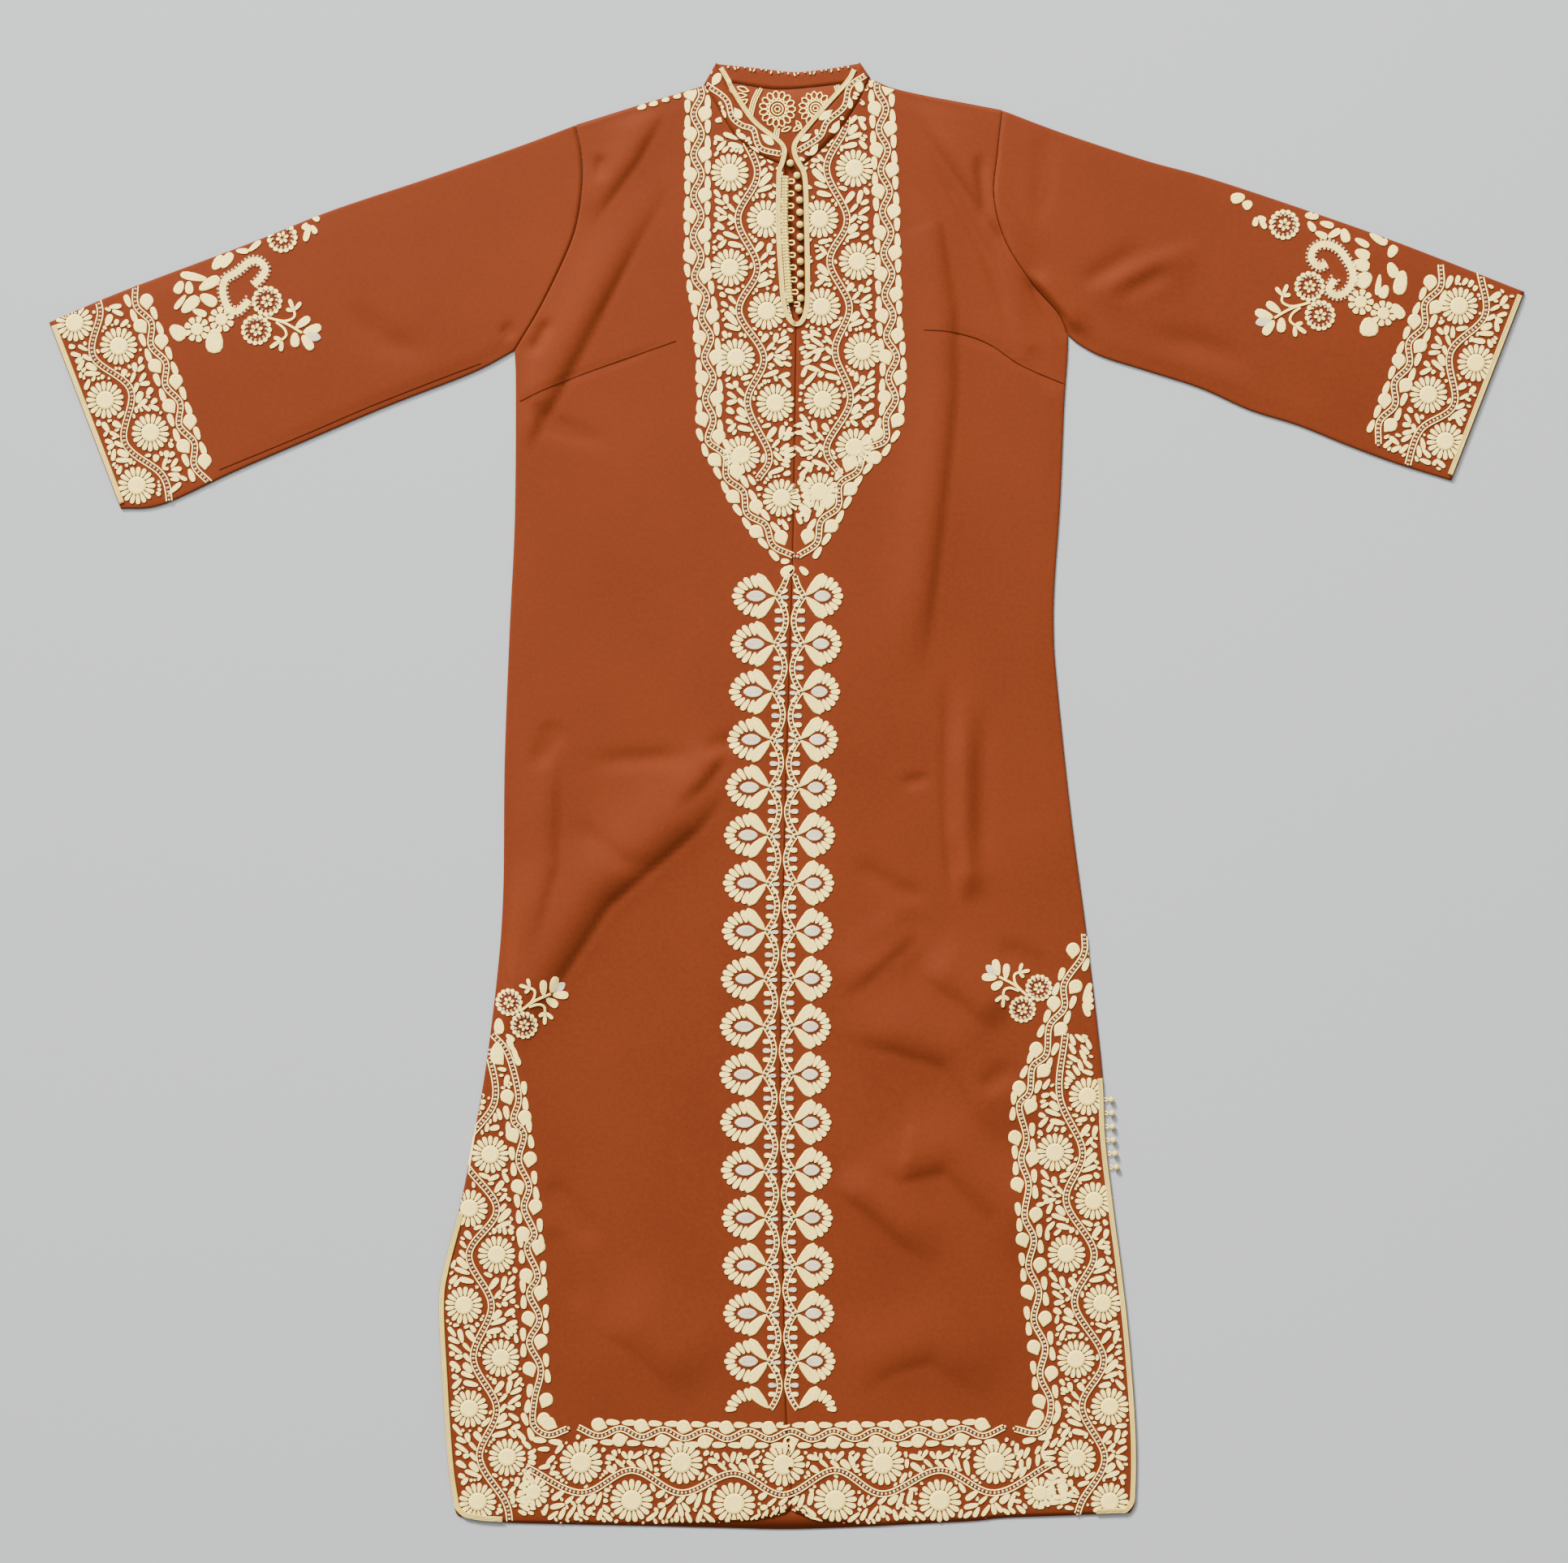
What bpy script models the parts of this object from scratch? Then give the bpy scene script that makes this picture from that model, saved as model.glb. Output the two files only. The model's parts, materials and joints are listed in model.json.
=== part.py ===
"""A long twill kaftan, laid flat on its back with the arms out.

Each cut piece is its own thin closed solid: two front halves, the back, two sleeves and a stand
collar. The braids, the gimps, the ball buttons and their loops are separate pieces on top of them.

The tables are in millimetres, seen from above: x to the viewer's right, y towards the neck, and
z up from the surface that the kaftan lies on. "Left" and "right" are the viewer's. The origin is
the middle of the garment's flat extent, on that surface.
"""

import math
from collections import namedtuple

import bmesh
import bpy
import numpy as np
from mathutils import Vector
from mathutils.bvhtree import BVHTree

MM = 0.001

# Driving sizes, mm
BACK_WALL = 1.2
FRONT_WALL = 1.4
SLEEVE_WALL = 1.2
COLLAR_WALL = 1.2
LAYER_GAP = 0.3
SEAM_GAP = 0.35
COLLAR_SEAM_GAP = 0.6
COLLAR_CROWN = 0.5
BRAID_WIDTH = 4.8
BRAID_THICK = 1.1
BRAID_EDGE = 0.4
GIMP_WIDTH = 6.4
GIMP_THICK = 1.7
BUTTON_RADIUS = 3.65
SLIT_BUTTON_RADIUS = 3.0
CORD_RADIUS = 0.7
LOOP_REACH = 4.9
LOOP_HALF_SPAN = 2.1
LOOP_GAP = 0.5
SLIT_CORD_RADIUS = 0.5
SLIT_LOOP_REACH = 2.8
SLIT_LOOP_HALF_SPAN = 1.6
# The top button has slipped aside, out from under the braid
TOP_BUTTON_SHIFT = 3.2

# Top of the front where it lies straight on the back, as at the side seams
LIFT = BACK_WALL + LAYER_GAP + FRONT_WALL
# The folds fade out within this distance of the garment's outline
EDGE_FADE = 18.0

# Mesh density
FRONT_COLUMNS = 12
CENTRE_COLUMN = 0.965
ARMHOLE_ROWS = 8
SIDE_ROWS = 38
NECK_ROWS = 6
SLEEVE_ROWS = 17
SLEEVE_EDGE_ROUND = 2.0
SHARP_ANGLE = 50
TRIM_GAP = 0.45
# A trim that overhangs an edge stays level instead of following what lies this far below it
OVERHANG_DROP = 1.0
NECK_STEP = 8.0
TRIM_STEP = 14.0
GIMP_STEP = 7.0
# At a hem corner the braid's turn lies a little in from the hem, and its points keep clear of it
CORNER_RISE = 1.5
CORNER_CLEAR = 4.0
HEM_CLEAR = 12.0
# Rows down the neck slit, closer where its foot curves in, as shares of its length
SLIT_SHARES = [0, 0.2, 0.42, 0.64, 0.82, 0.93, 1]

# Outline tables, columns x, y
SHOULDER = {
    "left": [(-200, 636), (-139, 655), (-77.4, 673.4)],
    "right": [(204, 650), (162, 658), (130, 664), (100, 671), (78.2, 679.5)],
}
ARMHOLE = {
    "left": [(-200, 636), (-194.5, 609), (-193.7, 582), (-198, 547), (-208, 516), (-233, 464), (-258, 422)],
    "right": [(204, 650), (199.5, 609), (196, 567), (206.7, 525), (231, 487), (257, 457), (266.8, 436)],
}
SIDE = {
    "left": [
        (-258, 422), (-257, 385), (-258, 262), (-263, 154), (-267.6, 31), (-269, -92), (-274.5, -169),
        (-286, -261), (-297, -323), (-309, -385), (-325, -446), (-330, -480), (-327.6, -539),
        (-321.5, -631), (-314.5, -677), (-311, -683),
    ],
    "right": [
        (266.8, 436), (266, 415), (263, 370), (259, 278), (253.7, 200), (253, 154), (256, 108), (269, -15),
        (285, -138), (299, -261), (302, -323), (309, -385), (317, -446), (324, -508), (330, -585),
        (331.5, -631), (330, -669), (325.3, -680),
    ],
}
FRONT_HEM = {
    "left": [(-311, -683), (-283, -688), (-205, -690), (-130, -691), (-84, -690), (-35, -687), (-16, -684),
             (-4, -680.5), (3.5, -677)],
    "right": [(325.3, -680), (254, -682.5), (204, -684), (176, -687), (115, -690), (81, -692), (57, -690),
              (32, -688), (14, -682), (4.6, -677)],
}
BACK_HEM = [
    (-311, -683), (-283, -688.5), (-205, -691), (-130, -692.5), (-53, -694.4), (1, -695.5), (70, -693.4),
    (115, -691), (176, -688), (204, -685), (254, -683), (325.3, -680),
]
SLEEVE_TOP = {
    "left": [(-200, 636), (-252, 616.4), (-340, 585.6), (-432, 554.8), (-509, 524), (-631, 478), (-699, 449)],
    "right": [(204, 650), (252, 631.8), (297, 616.4), (345, 601), (401, 585.6), (494, 554.8), (581, 524), (699, 478)],
}
SLEEVE_UNDER = {
    "left": [(-258, 422), (-298, 401), (-377, 370), (-450, 339), (-522, 308), (-592, 276), (-631, 272)],
    "right": [(266.8, 436), (279, 426.5), (301, 415.4), (347, 401), (393, 386), (439, 365.5), (485, 351),
              (532, 332), (578, 315), (629.5, 299)],
}
NECKLINE = {
    "left": [(-77.4, 673.4), (-65.8, 652.6), (-52, 629.5), (-36.6, 614), (-17.3, 602.5), (-2.5, 597)],
    "right": [(78.2, 679.5), (66.6, 655), (51.2, 631.8), (35.8, 614.8), (21.9, 602.5), (12.7, 594.8)],
}
SLIT_EDGE = {
    "left": [(-2.5, 597), (-2, 588), (-1.2, 578), (-1.2, 540), (-0.4, 501), (1.9, 468), (5.5, 453), (8.9, 444)],
    "right": [(12.7, 594.8), (15.5, 575), (16.4, 540), (16.8, 500), (17, 470), (15, 455), (12, 448), (8.9, 444)],
}
CENTRE_SEAM = [
    (8.9, 444), (7.3, 324), (5, 200), (-1.2, -15), (-5.8, -246), (-2.7, -477), (-0.4, -585), (4.4, -655),
    (4.1, -677),
]
BACK_NECK = [(-77.4, 673.4), (-54.3, 675.7), (-7.3, 669.5), (52.7, 674.9), (78.2, 679.5)]
COLLAR_TOP_BACK = [(-66, 694), (-22.7, 689.5), (8, 686.4), (38.9, 689.5), (68.1, 694.5)]
COLLAR_TOP_FRONT = {
    "left": [(-66, 694), (-59, 678), (-53.5, 668), (-33.5, 638.7), (-7.3, 618), (-0.5, 609.5)],
    "right": [(68.1, 694.5), (62, 681), (50.4, 668), (27.3, 642.6), (7.5, 618.7), (4.8, 609.5)],
}
NECK_BRAID_ROUTE = [
    (-62.5, 690), (-56, 679), (-50.5, 668), (-31.5, 640), (-7.5, 620.5), (-2.2, 611), (-4.2, 600), (-7, 592),
    (-7.6, 577), (-8, 557), (-8, 540), (-6.9, 516), (-5.6, 498), (-3.9, 475), (-1.5, 460), (3.4, 450),
    (8.9, 446.6), (14.4, 449.5), (18.3, 460), (19.7, 475), (19.7, 498), (19.2, 522), (18.7, 546),
    (18, 575), (16.2, 590), (10.4, 601), (7, 610.5), (9.6, 621), (28.5, 644.5), (49.5, 668), (59, 679),
    (64, 688.5),
]

# A fold is a roll of cloth beside its crease. The crease follows the path; the roll lies on the
# left or the right of it as one walks along. Rise and fall are the shares of the path over which it
# starts and ends. Lengths in mm.
Fold = namedtuple("Fold", "path side width height soft rise fall")
LEFT_OF_PATH = 1
RIGHT_OF_PATH = -1
FOLDS = {
    "chest_left": Fold([(-96, 601), (-137, 530), (-195, 417), (-254, 309)], RIGHT_OF_PATH, 22, 6.5, 2, 0.5, 0.1),
    "shoulder_left": Fold([(-110, 655), (-140, 600), (-190, 532)], RIGHT_OF_PATH, 15, 4.0, 8, 0.3, 0.4),
    "chest_right": Fold([(108, 662), (148, 603), (198, 530), (218, 433)], LEFT_OF_PATH, 15, 4.0, 4, 0.3, 0.3),
    "princess_right": Fold([(117, 598), (148, 544), (162, 458), (162, 377), (153, 287), (130, 97)],
                           RIGHT_OF_PATH, 20, 5.0, 9, 0.2, 0.2),
    "underarm_right": Fold([(225, 495), (262, 452), (266, 430)], LEFT_OF_PATH, 9, 4.0, 2, 0.3, 0.2),
    "skirt_left": Fold([(-40, 20), (-84, -34), (-168, -105), (-211, -172), (-252, -254)],
                       RIGHT_OF_PATH, 26, 9.0, 6, 0.25, 0.25),
    "hip_left": Fold([(-49, 48), (-76, 10), (-110, -20)], RIGHT_OF_PATH, 14, 3.5, 2, 0.3, 0.5),
    "side_left": Fold([(-214, 70), (-216, -66), (-245, -167)], RIGHT_OF_PATH, 18, 4.0, 9, 0.4, 0.3),
    "ridge_right": Fold([(150, 110), (151, -40), (161, -106)], LEFT_OF_PATH, 15, 7.0, 4, 0.4, 0.15),
    "sweep_right": Fold([(134, -126), (90, -165), (51, -200)], RIGHT_OF_PATH, 14, 4.5, 6, 0.25, 0.4),
    "thigh_right": Fold([(117, -167), (160, -195), (199, -229)], LEFT_OF_PATH, 20, 5.0, 8, 0.3, 0.3),
    "knee_right": Fold([(37, -229), (99, -243), (147, -258), (175, -305), (208, -348)],
                       LEFT_OF_PATH, 22, 6.0, 7, 0.25, 0.3),
    "calf_right": Fold([(65, -343), (108, -367), (147, -353), (194, -401), (213, -472)],
                       LEFT_OF_PATH, 20, 6.5, 5, 0.25, 0.3),
    "shin_right": Fold([(37, -367), (84, -405), (137, -453)], LEFT_OF_PATH, 18, 4.5, 7, 0.25, 0.4),
    "hem_right": Fold([(60, -577), (127, -525), (194, -582)], LEFT_OF_PATH, 22, 5.0, 6, 0.4, 0.3),
    "hem_left": Fold([(-192, -505), (-150, -525), (-92, -582)], LEFT_OF_PATH, 24, 5.5, 9, 0.4, 0.3),
    "sleeve_right": Fold([(275, 481), (340, 512), (400, 536)], RIGHT_OF_PATH, 16, 3.0, 8, 0.3, 0.4),
}

# Air between front and back: broad swells, sizes in mm
Swell = namedtuple("Swell", "x y reach_x reach_y height")
SWELLS = [
    Swell(5, 560, 150, 130, 2.6),
    Swell(0, 180, 210, 230, 2.4),
    Swell(0, -330, 230, 260, 2.6),
    Swell(-440, 440, 170, 90, 2.6),
    Swell(450, 460, 170, 90, 2.6),
]

# Buttons and loops, y of the first and the last, mm. One more button lies above the span, and the
# loops lie halfway between the buttons.
NECK_BUTTONS = 13
NECK_BUTTON_SPAN = (587.5, 459.5)
NECK_LOOPS = 11
GIMP_SPAN = (587.0, 467.0)
SLIT_BUTTONS = 6
SLIT_BUTTON_SPAN = (-288.0, -352.0)
SLIT_BRAID_START = {"left": -392.0, "right": -266.0}
SLIT_BRAID_ON_HEM = {"left": 42.0, "right": 32.0}


def linear(red, green, blue):
    """Turn an sRGB colour of 0 to 255 into linear light."""
    def channel(value):
        value /= 255
        return value / 12.92 if value <= 0.04045 else ((value + 0.055) / 1.055) ** 2.4
    return (channel(red), channel(green), channel(blue), 1.0)


def new_material(name, colour, roughness, metallic=0.0):
    """Make a plain Principled material."""
    material = bpy.data.materials.new(name)
    material.use_nodes = True
    shader = material.node_tree.nodes["Principled BSDF"]
    shader.inputs["Base Color"].default_value = colour
    shader.inputs["Roughness"].default_value = roughness
    shader.inputs["Metallic"].default_value = metallic
    return material


# Lines and patches

def smooth_line(points, fractions):
    """Read a Catmull-Rom curve through the points at fractions of its length."""
    knots = np.array(points, float)
    ends = [2 * knots[0] - knots[1], 2 * knots[-1] - knots[-2]]
    padded = np.vstack([ends[0], knots, ends[1]])
    share = np.linspace(0, 1, 12, endpoint=False)[:, None]
    pieces = []
    for start in range(len(knots) - 1):
        before, here, there, after = padded[start:start + 4]
        pieces.append(0.5 * (
            2 * here
            + (there - before) * share
            + (2 * before - 5 * here + 4 * there - after) * share ** 2
            + (3 * here - before - 3 * there + after) * share ** 3
        ))
    dense = np.vstack(pieces + [knots[-1:]])
    return along(dense, fractions)


def along(line, fractions):
    """Read a polyline at fractions of its length."""
    steps = np.hypot(*np.diff(line, axis=0).T)
    travelled = np.concatenate([[0], np.cumsum(steps)])
    wanted = np.asarray(fractions) * travelled[-1]
    return np.stack([np.interp(wanted, travelled, line[:, axis]) for axis in (0, 1)], axis=1)


def by_index(line, fractions):
    """Read a polyline at fractions of its count of points, so that its own points are kept."""
    places = np.arange(len(line))
    wanted = np.asarray(fractions) * (len(line) - 1)
    return np.stack([np.interp(wanted, places, line[:, axis]) for axis in (0, 1)], axis=1)


def length_of(line):
    """Length of a polyline."""
    return float(np.hypot(*np.diff(np.asarray(line, float), axis=0).T).sum())


def even(count):
    """Fractions of an even division."""
    return np.linspace(0, 1, count + 1)


def patch(first, last, start, end, across):
    """Fill four border lines with a grid: rows run from first to last, row 0 is start."""
    share = np.asarray(across)[None, :, None]
    down = even(len(first) - 1)[:, None, None]
    rows = (1 - share) * first[:, None] + share * last[:, None]
    columns = (1 - down) * start[None] + down * end[None]
    corners = (
        (1 - share) * (1 - down) * first[0] + share * (1 - down) * last[0]
        + (1 - share) * down * first[-1] + share * down * last[-1]
    )
    return rows + columns - corners


def armhole(side):
    """The armhole's points, shared by the front, the back and the sleeve."""
    return smooth_line(ARMHOLE[side], even(ARMHOLE_ROWS))


def slit_line(side):
    """The neck slit's edge, shared by the front half and the buttons."""
    return smooth_line(SLIT_EDGE[side], SLIT_SHARES)


def side_seam(side):
    """The side seam and the side slit's edge, from underarm to hem."""
    return smooth_line(SIDE[side], even(SIDE_ROWS))


def outline():
    """The whole garment's outline as one closed line."""
    left = [
        smooth_line(SLEEVE_TOP["left"], even(10)),
        smooth_line([SLEEVE_TOP["left"][-1], SLEEVE_UNDER["left"][-1]], even(1)),
        smooth_line(SLEEVE_UNDER["left"], even(10))[::-1],
        smooth_line(SIDE["left"], even(24)),
    ]
    right = [
        smooth_line(SIDE["right"], even(24))[::-1],
        smooth_line(SLEEVE_UNDER["right"], even(10)),
        smooth_line([SLEEVE_UNDER["right"][-1], SLEEVE_TOP["right"][-1]], even(1)),
        smooth_line(SLEEVE_TOP["right"], even(10))[::-1],
    ]
    neck = [
        np.array(SHOULDER["right"], float),
        np.array(COLLAR_TOP_BACK[::-1], float),
        np.array(SHOULDER["left"][::-1], float),
    ]
    return np.vstack(left + [np.array(BACK_HEM, float)] + right + neck)


def nearest(points, line):
    """Distance of each point to a polyline, its signed side, and how far along it is."""
    best = np.full(len(points), np.inf)
    side = np.zeros(len(points))
    place = np.zeros(len(points))
    total = length_of(line)
    done = 0.0
    for here, there in zip(line[:-1], line[1:]):
        step = there - here
        reach = max(float(np.hypot(*step)), 1e-9)
        share = np.clip((points - here) @ step / reach ** 2, 0, 1)
        offset = points - (here + share[:, None] * step)
        gap = np.hypot(*offset.T)
        closer = gap < best
        best[closer] = gap[closer]
        turn = step[0] * offset[:, 1] - step[1] * offset[:, 0]
        side[closer] = np.sign(turn[closer])
        place[closer] = (done + share[closer] * reach) / total
        done += reach
    return best, side, place


def ease(value):
    """Smooth step from 0 to 1."""
    value = np.clip(value, 0, 1)
    return value * value * (3 - 2 * value)


def roll_height(fold, points):
    """Height that one fold adds at each point."""
    gap, side, place = nearest(points, np.array(fold.path, float))
    signed = gap * side * fold.side
    reach = 0.5 * (signed + np.sqrt(signed ** 2 + fold.soft ** 2)) / fold.width
    shape = reach * np.exp(0.5 * (1 - reach ** 2))
    return fold.height * shape * ease(place / fold.rise) * ease((1 - place) / fold.fall)


def cloth_top(points):
    """Height of the upper cloth's top over each point, folds and swells included."""
    points = np.asarray(points, float).reshape(-1, 2)
    raised = np.zeros(len(points))
    for swell in SWELLS:
        spread = ((points[:, 0] - swell.x) / swell.reach_x) ** 2 + ((points[:, 1] - swell.y) / swell.reach_y) ** 2
        raised += swell.height * np.exp(-spread)
    for fold in FOLDS.values():
        raised += roll_height(fold, points)
    edge = nearest(points, outline())[0]
    return LIFT + raised * ease(edge / EDGE_FADE)


# Solids

def new_object(name, vertices, faces, material, smooth=True):
    """Make a mesh object from points in mm and faces that point outwards."""
    mesh = bpy.data.meshes.new(name)
    mesh.from_pydata([tuple(MM * value for value in point) for point in vertices], [], faces)
    mesh.materials.append(material)
    if smooth:
        mesh.shade_smooth()
        mesh.set_sharp_from_angle(angle=math.radians(SHARP_ANGLE))
    item = bpy.data.objects.new(name, mesh)
    bpy.context.scene.collection.objects.link(item)
    return item


def close_up(item):
    """Turn all faces of a closed mesh outwards and split them into triangles.

    The trims are seated on these triangles, so they are settled here and not by the reader.
    """
    work = bmesh.new()
    work.from_mesh(item.data)
    bmesh.ops.recalc_face_normals(work, faces=work.faces)
    bmesh.ops.triangulate(work, faces=work.faces)
    work.to_mesh(item.data)
    work.free()


def sheet_solid(name, grid, wall, material):
    """Make a panel: its top follows the cloth's height, its underside lies one wall below."""
    rows, columns = grid.shape[:2]
    flat = grid.reshape(-1, 2)
    top = cloth_top(flat)
    count = len(flat)
    vertices = [(x, y, z) for (x, y), z in zip(flat, top)]
    vertices += [(x, y, z - wall) for (x, y), z in zip(flat, top)]

    def index(row, column):
        return row * columns + column

    faces = []
    for row in range(rows - 1):
        for column in range(columns - 1):
            corners = (index(row, column), index(row + 1, column), index(row + 1, column + 1), index(row, column + 1))
            faces.append(corners)
            faces.append(tuple(count + corner for corner in reversed(corners)))
    rim = [index(row, 0) for row in range(rows)]
    rim += [index(rows - 1, column) for column in range(1, columns)]
    rim += [index(row, columns - 1) for row in range(rows - 2, -1, -1)]
    rim += [index(0, column) for column in range(columns - 2, 0, -1)]
    for here, there in zip(rim, rim[1:] + rim[:1]):
        faces.append((here, count + here, count + there, there))
    item = new_object(name, vertices, faces, material)
    close_up(item)
    return item


def lofted(name, rings, closed, material):
    """Join rings of equal length into a solid; a closed loft ends where it starts."""
    size = len(rings[0])
    vertices = [point for ring in rings for point in ring]
    faces = []
    spans = len(rings) if closed else len(rings) - 1
    for span in range(spans):
        here = span * size
        there = (span + 1) % len(rings) * size
        for corner in range(size):
            after = (corner + 1) % size
            faces.append((here + corner, here + after, there + after, there + corner))
    if not closed:
        faces.append(tuple(range(size)))
        faces.append(tuple(reversed(range(len(vertices) - size, len(vertices)))))
    item = new_object(name, vertices, faces, material)
    close_up(item)
    return item


def front(side, material):
    """One front half: shoulder, armhole, side, hem, centre seam, neck slit and neckline."""
    outer = np.vstack([armhole(side), side_seam(side)[1:]])
    slit_rows = len(SLIT_SHARES) - 1
    seam_rows = ARMHOLE_ROWS + SIDE_ROWS - NECK_ROWS - slit_rows
    inner = np.vstack([
        smooth_line(NECKLINE[side], even(NECK_ROWS)),
        slit_line(side)[1:],
        smooth_line(CENTRE_SEAM, even(seam_rows))[1:],
    ])
    away = -0.5 * SEAM_GAP if side == "left" else 0.5 * SEAM_GAP
    inner[NECK_ROWS + slit_rows:, 0] += away
    across = np.sort(np.append(even(FRONT_COLUMNS), CENTRE_COLUMN))
    shoulder = smooth_line(SHOULDER[side], across)
    hem = smooth_line(FRONT_HEM[side], across)
    hem[-1] = inner[-1]
    grid = patch(outer, inner, shoulder, hem, across)
    return sheet_solid(f"front_{side}", grid, FRONT_WALL, material)


def back(material):
    """The back panel, flat on the surface."""
    line = [
        armhole("left"),
        side_seam("left")[1:],
        smooth_line(BACK_HEM, even(24))[1:],
        side_seam("right")[::-1][1:],
        armhole("right")[::-1][1:],
        smooth_line(SHOULDER["right"], even(3))[1:],
        smooth_line(BACK_NECK[::-1], even(8))[1:],
        smooth_line(SHOULDER["left"][::-1], even(3))[1:-1],
    ]
    rim = np.vstack(line)
    vertices = [(x, y, z) for z in (BACK_WALL, 0) for x, y in rim]
    count = len(rim)
    faces = [tuple(range(count)), tuple(reversed(range(count, 2 * count)))]
    faces += [(here, count + here, count + (here + 1) % count, (here + 1) % count) for here in range(count)]
    item = new_object("back_panel", vertices, faces, material, smooth=False)
    close_up(item)
    return item


def sleeve(side, material):
    """A flattened tube, open at the armhole and the cuff."""
    outward = -SEAM_GAP if side == "left" else SEAM_GAP
    upper = smooth_line(SLEEVE_TOP[side], even(SLEEVE_ROWS))
    under = smooth_line(SLEEVE_UNDER[side], even(SLEEVE_ROWS))
    hole = armhole(side)
    cuff = np.array([upper[-1], under[-1]])
    width = length_of(hole)

    def layer(inset):
        """Grid of one wall of the tube, its edges drawn in by the inset."""
        edge = SLEEVE_EDGE_ROUND / width
        fractions = np.concatenate([[0, edge], even(ARMHOLE_ROWS)[1:-1], [1 - edge, 1]])
        drawn = inset / width + fractions * (1 - 2 * inset / width)
        grid = patch(upper, under, by_index(hole, drawn), by_index(cuff, drawn), drawn)
        grid[..., 0] += outward
        return grid

    def ring(row, lowest, drop):
        """One ring of the tube's wall: over the top and back along the underside."""
        height = cloth_top(row) - drop
        middle = 0.5 * LIFT
        over = [(x, y, z) for (x, y), z in zip(row[1:-1], height[1:-1])]
        below = [(x, y, lowest) for x, y in row[1:-1][::-1]]
        return [(*row[0], middle)] + over + [(*row[-1], middle)] + below

    outer = [ring(row, 0.0, 0.0) for row in layer(0.0)]
    inner = [ring(row, SLEEVE_WALL, SLEEVE_WALL) for row in layer(SLEEVE_WALL)]
    return lofted(f"sleeve_{side}", outer + inner[::-1], True, material)


def collar(material):
    """One strip: over the front on the left, round the back of the neck and over the right."""
    half = 0.5 * COLLAR_WALL
    front_level = LIFT - half
    gap = COLLAR_SEAM_GAP

    def front_part(side):
        """Stations of a front half, from its end at the slit to the neck's side."""
        seam = smooth_line(NECKLINE[side], even(NECK_ROWS))[::-1]
        top = smooth_line(COLLAR_TOP_FRONT[side], even(NECK_ROWS))[::-1]
        stations = []
        for low, high, share in zip(seam, top, even(NECK_ROWS)):
            towards = (high - low) / np.hypot(*(high - low))
            low = low + gap * towards
            middle = 0.5 * (low + high)
            levels = cloth_top([low, middle, high]) - half
            levels[1] += COLLAR_CROWN * math.sin(math.pi * share)
            stations.append([(*point, level) for point, level in zip((low, middle, high), levels)])
        return stations

    def turn(side):
        """The strip's fold at the side of the neck, from the front's level down to the back's."""
        sign = -1 if side == "left" else 1
        low = np.array(NECKLINE[side][0], float)
        high = np.array(COLLAR_TOP_FRONT[side][0], float)
        bend = 0.5 * (front_level - half)
        stations = []
        for angle in (45, 90, 135):
            out = sign * bend * math.sin(math.radians(angle))
            level = half + bend * (1 + math.cos(math.radians(angle)))
            row = [low + share * (high - low) for share in (0, 0.5, 1)]
            stations.append([(x + out, y + gap, level) for x, y in row])
        return stations

    def back_part():
        """Stations round the back of the neck, lying flat."""
        seam = smooth_line(BACK_NECK, even(8))
        top = smooth_line(COLLAR_TOP_BACK, even(8))
        stations = []
        for low, high in zip(seam, top):
            low = low + (0, gap)
            stations.append([(*point, half) for point in (low, 0.5 * (low + high), high)])
        return stations

    stations = front_part("left") + turn("left") + back_part() + turn("right")[::-1] + front_part("right")[::-1]
    rings = []
    for number, station in enumerate(stations):
        before = Vector(stations[max(number - 1, 0)][1])
        after = Vector(stations[min(number + 1, len(stations) - 1)][1])
        run = (after - before).normalized()
        rise = (Vector(station[2]) - Vector(station[0])).normalized()
        out = rise.cross(run).normalized() * half
        outer = [tuple(Vector(point) + out) for point in station]
        inner = [tuple(Vector(point) - out) for point in reversed(station)]
        rings.append(outer + inner)
    return lofted("collar", rings, False, material)


def height_finder(items):
    """Give a function that reads the top of the given solids at a point, in mm."""
    trees = []
    for item in items:
        work = bmesh.new()
        work.from_mesh(item.data)
        trees.append(BVHTree.FromBMesh(work))
        work.free()

    def find(x, y):
        above = Vector((x * MM, y * MM, 0.1))
        heights = []
        for tree in trees:
            hit = tree.ray_cast(above, Vector((0, 0, -1)))[0]
            if hit is not None:
                heights.append(hit.z / MM)
        return max(heights) if heights else None

    return find


def highest_near(find, seat, reach):
    """Highest cloth at a point and half a step either way, so that a trim clears the ridges between."""
    found = [find(*(seat + share * reach)) for share in (-1, -0.5, 0, 0.5, 1)]
    found = [value for value in found if value is not None]
    return max(found) if found else None


def strip(name, route, width, thick, step, find, material):
    """A flat trim that follows a route on the cloth, a small gap above it."""
    line = smooth_line(route, even(max(2, round(length_of(route) / step))))
    rings = []
    level = LIFT
    for number, point in enumerate(line):
        run = line[min(number + 1, len(line) - 1)] - line[max(number - 1, 0)]
        across = np.array([-run[1], run[0]]) / np.hypot(*run) * 0.5 * width
        seats = [point + across, point, point - across]
        known = [highest_near(find, seat, 0.5 * step * run / np.hypot(*run)) for seat in seats]
        found = [value for value in known if value is not None]
        level = max(found) if found else level
        seated = [level if value is None or value < level - OVERHANG_DROP else value for value in known]
        left, middle, right = [value + TRIM_GAP for value in seated]
        sag = max(0.0, middle - 0.5 * (left + right))
        low = [(*seats[0], left + sag), (*seats[2], right + sag)]
        high = [(x, y, z + thick) for x, y, z in reversed(low)]
        rings.append(low + high)
    return lofted(name, rings, False, material)


def edge_at(table, y):
    """x of an edge table at a height y; the table runs downwards."""
    rows = sorted((row[1], row[0]) for row in table)
    return float(np.interp(y, [row[0] for row in rows], [row[1] for row in rows]))


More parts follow.
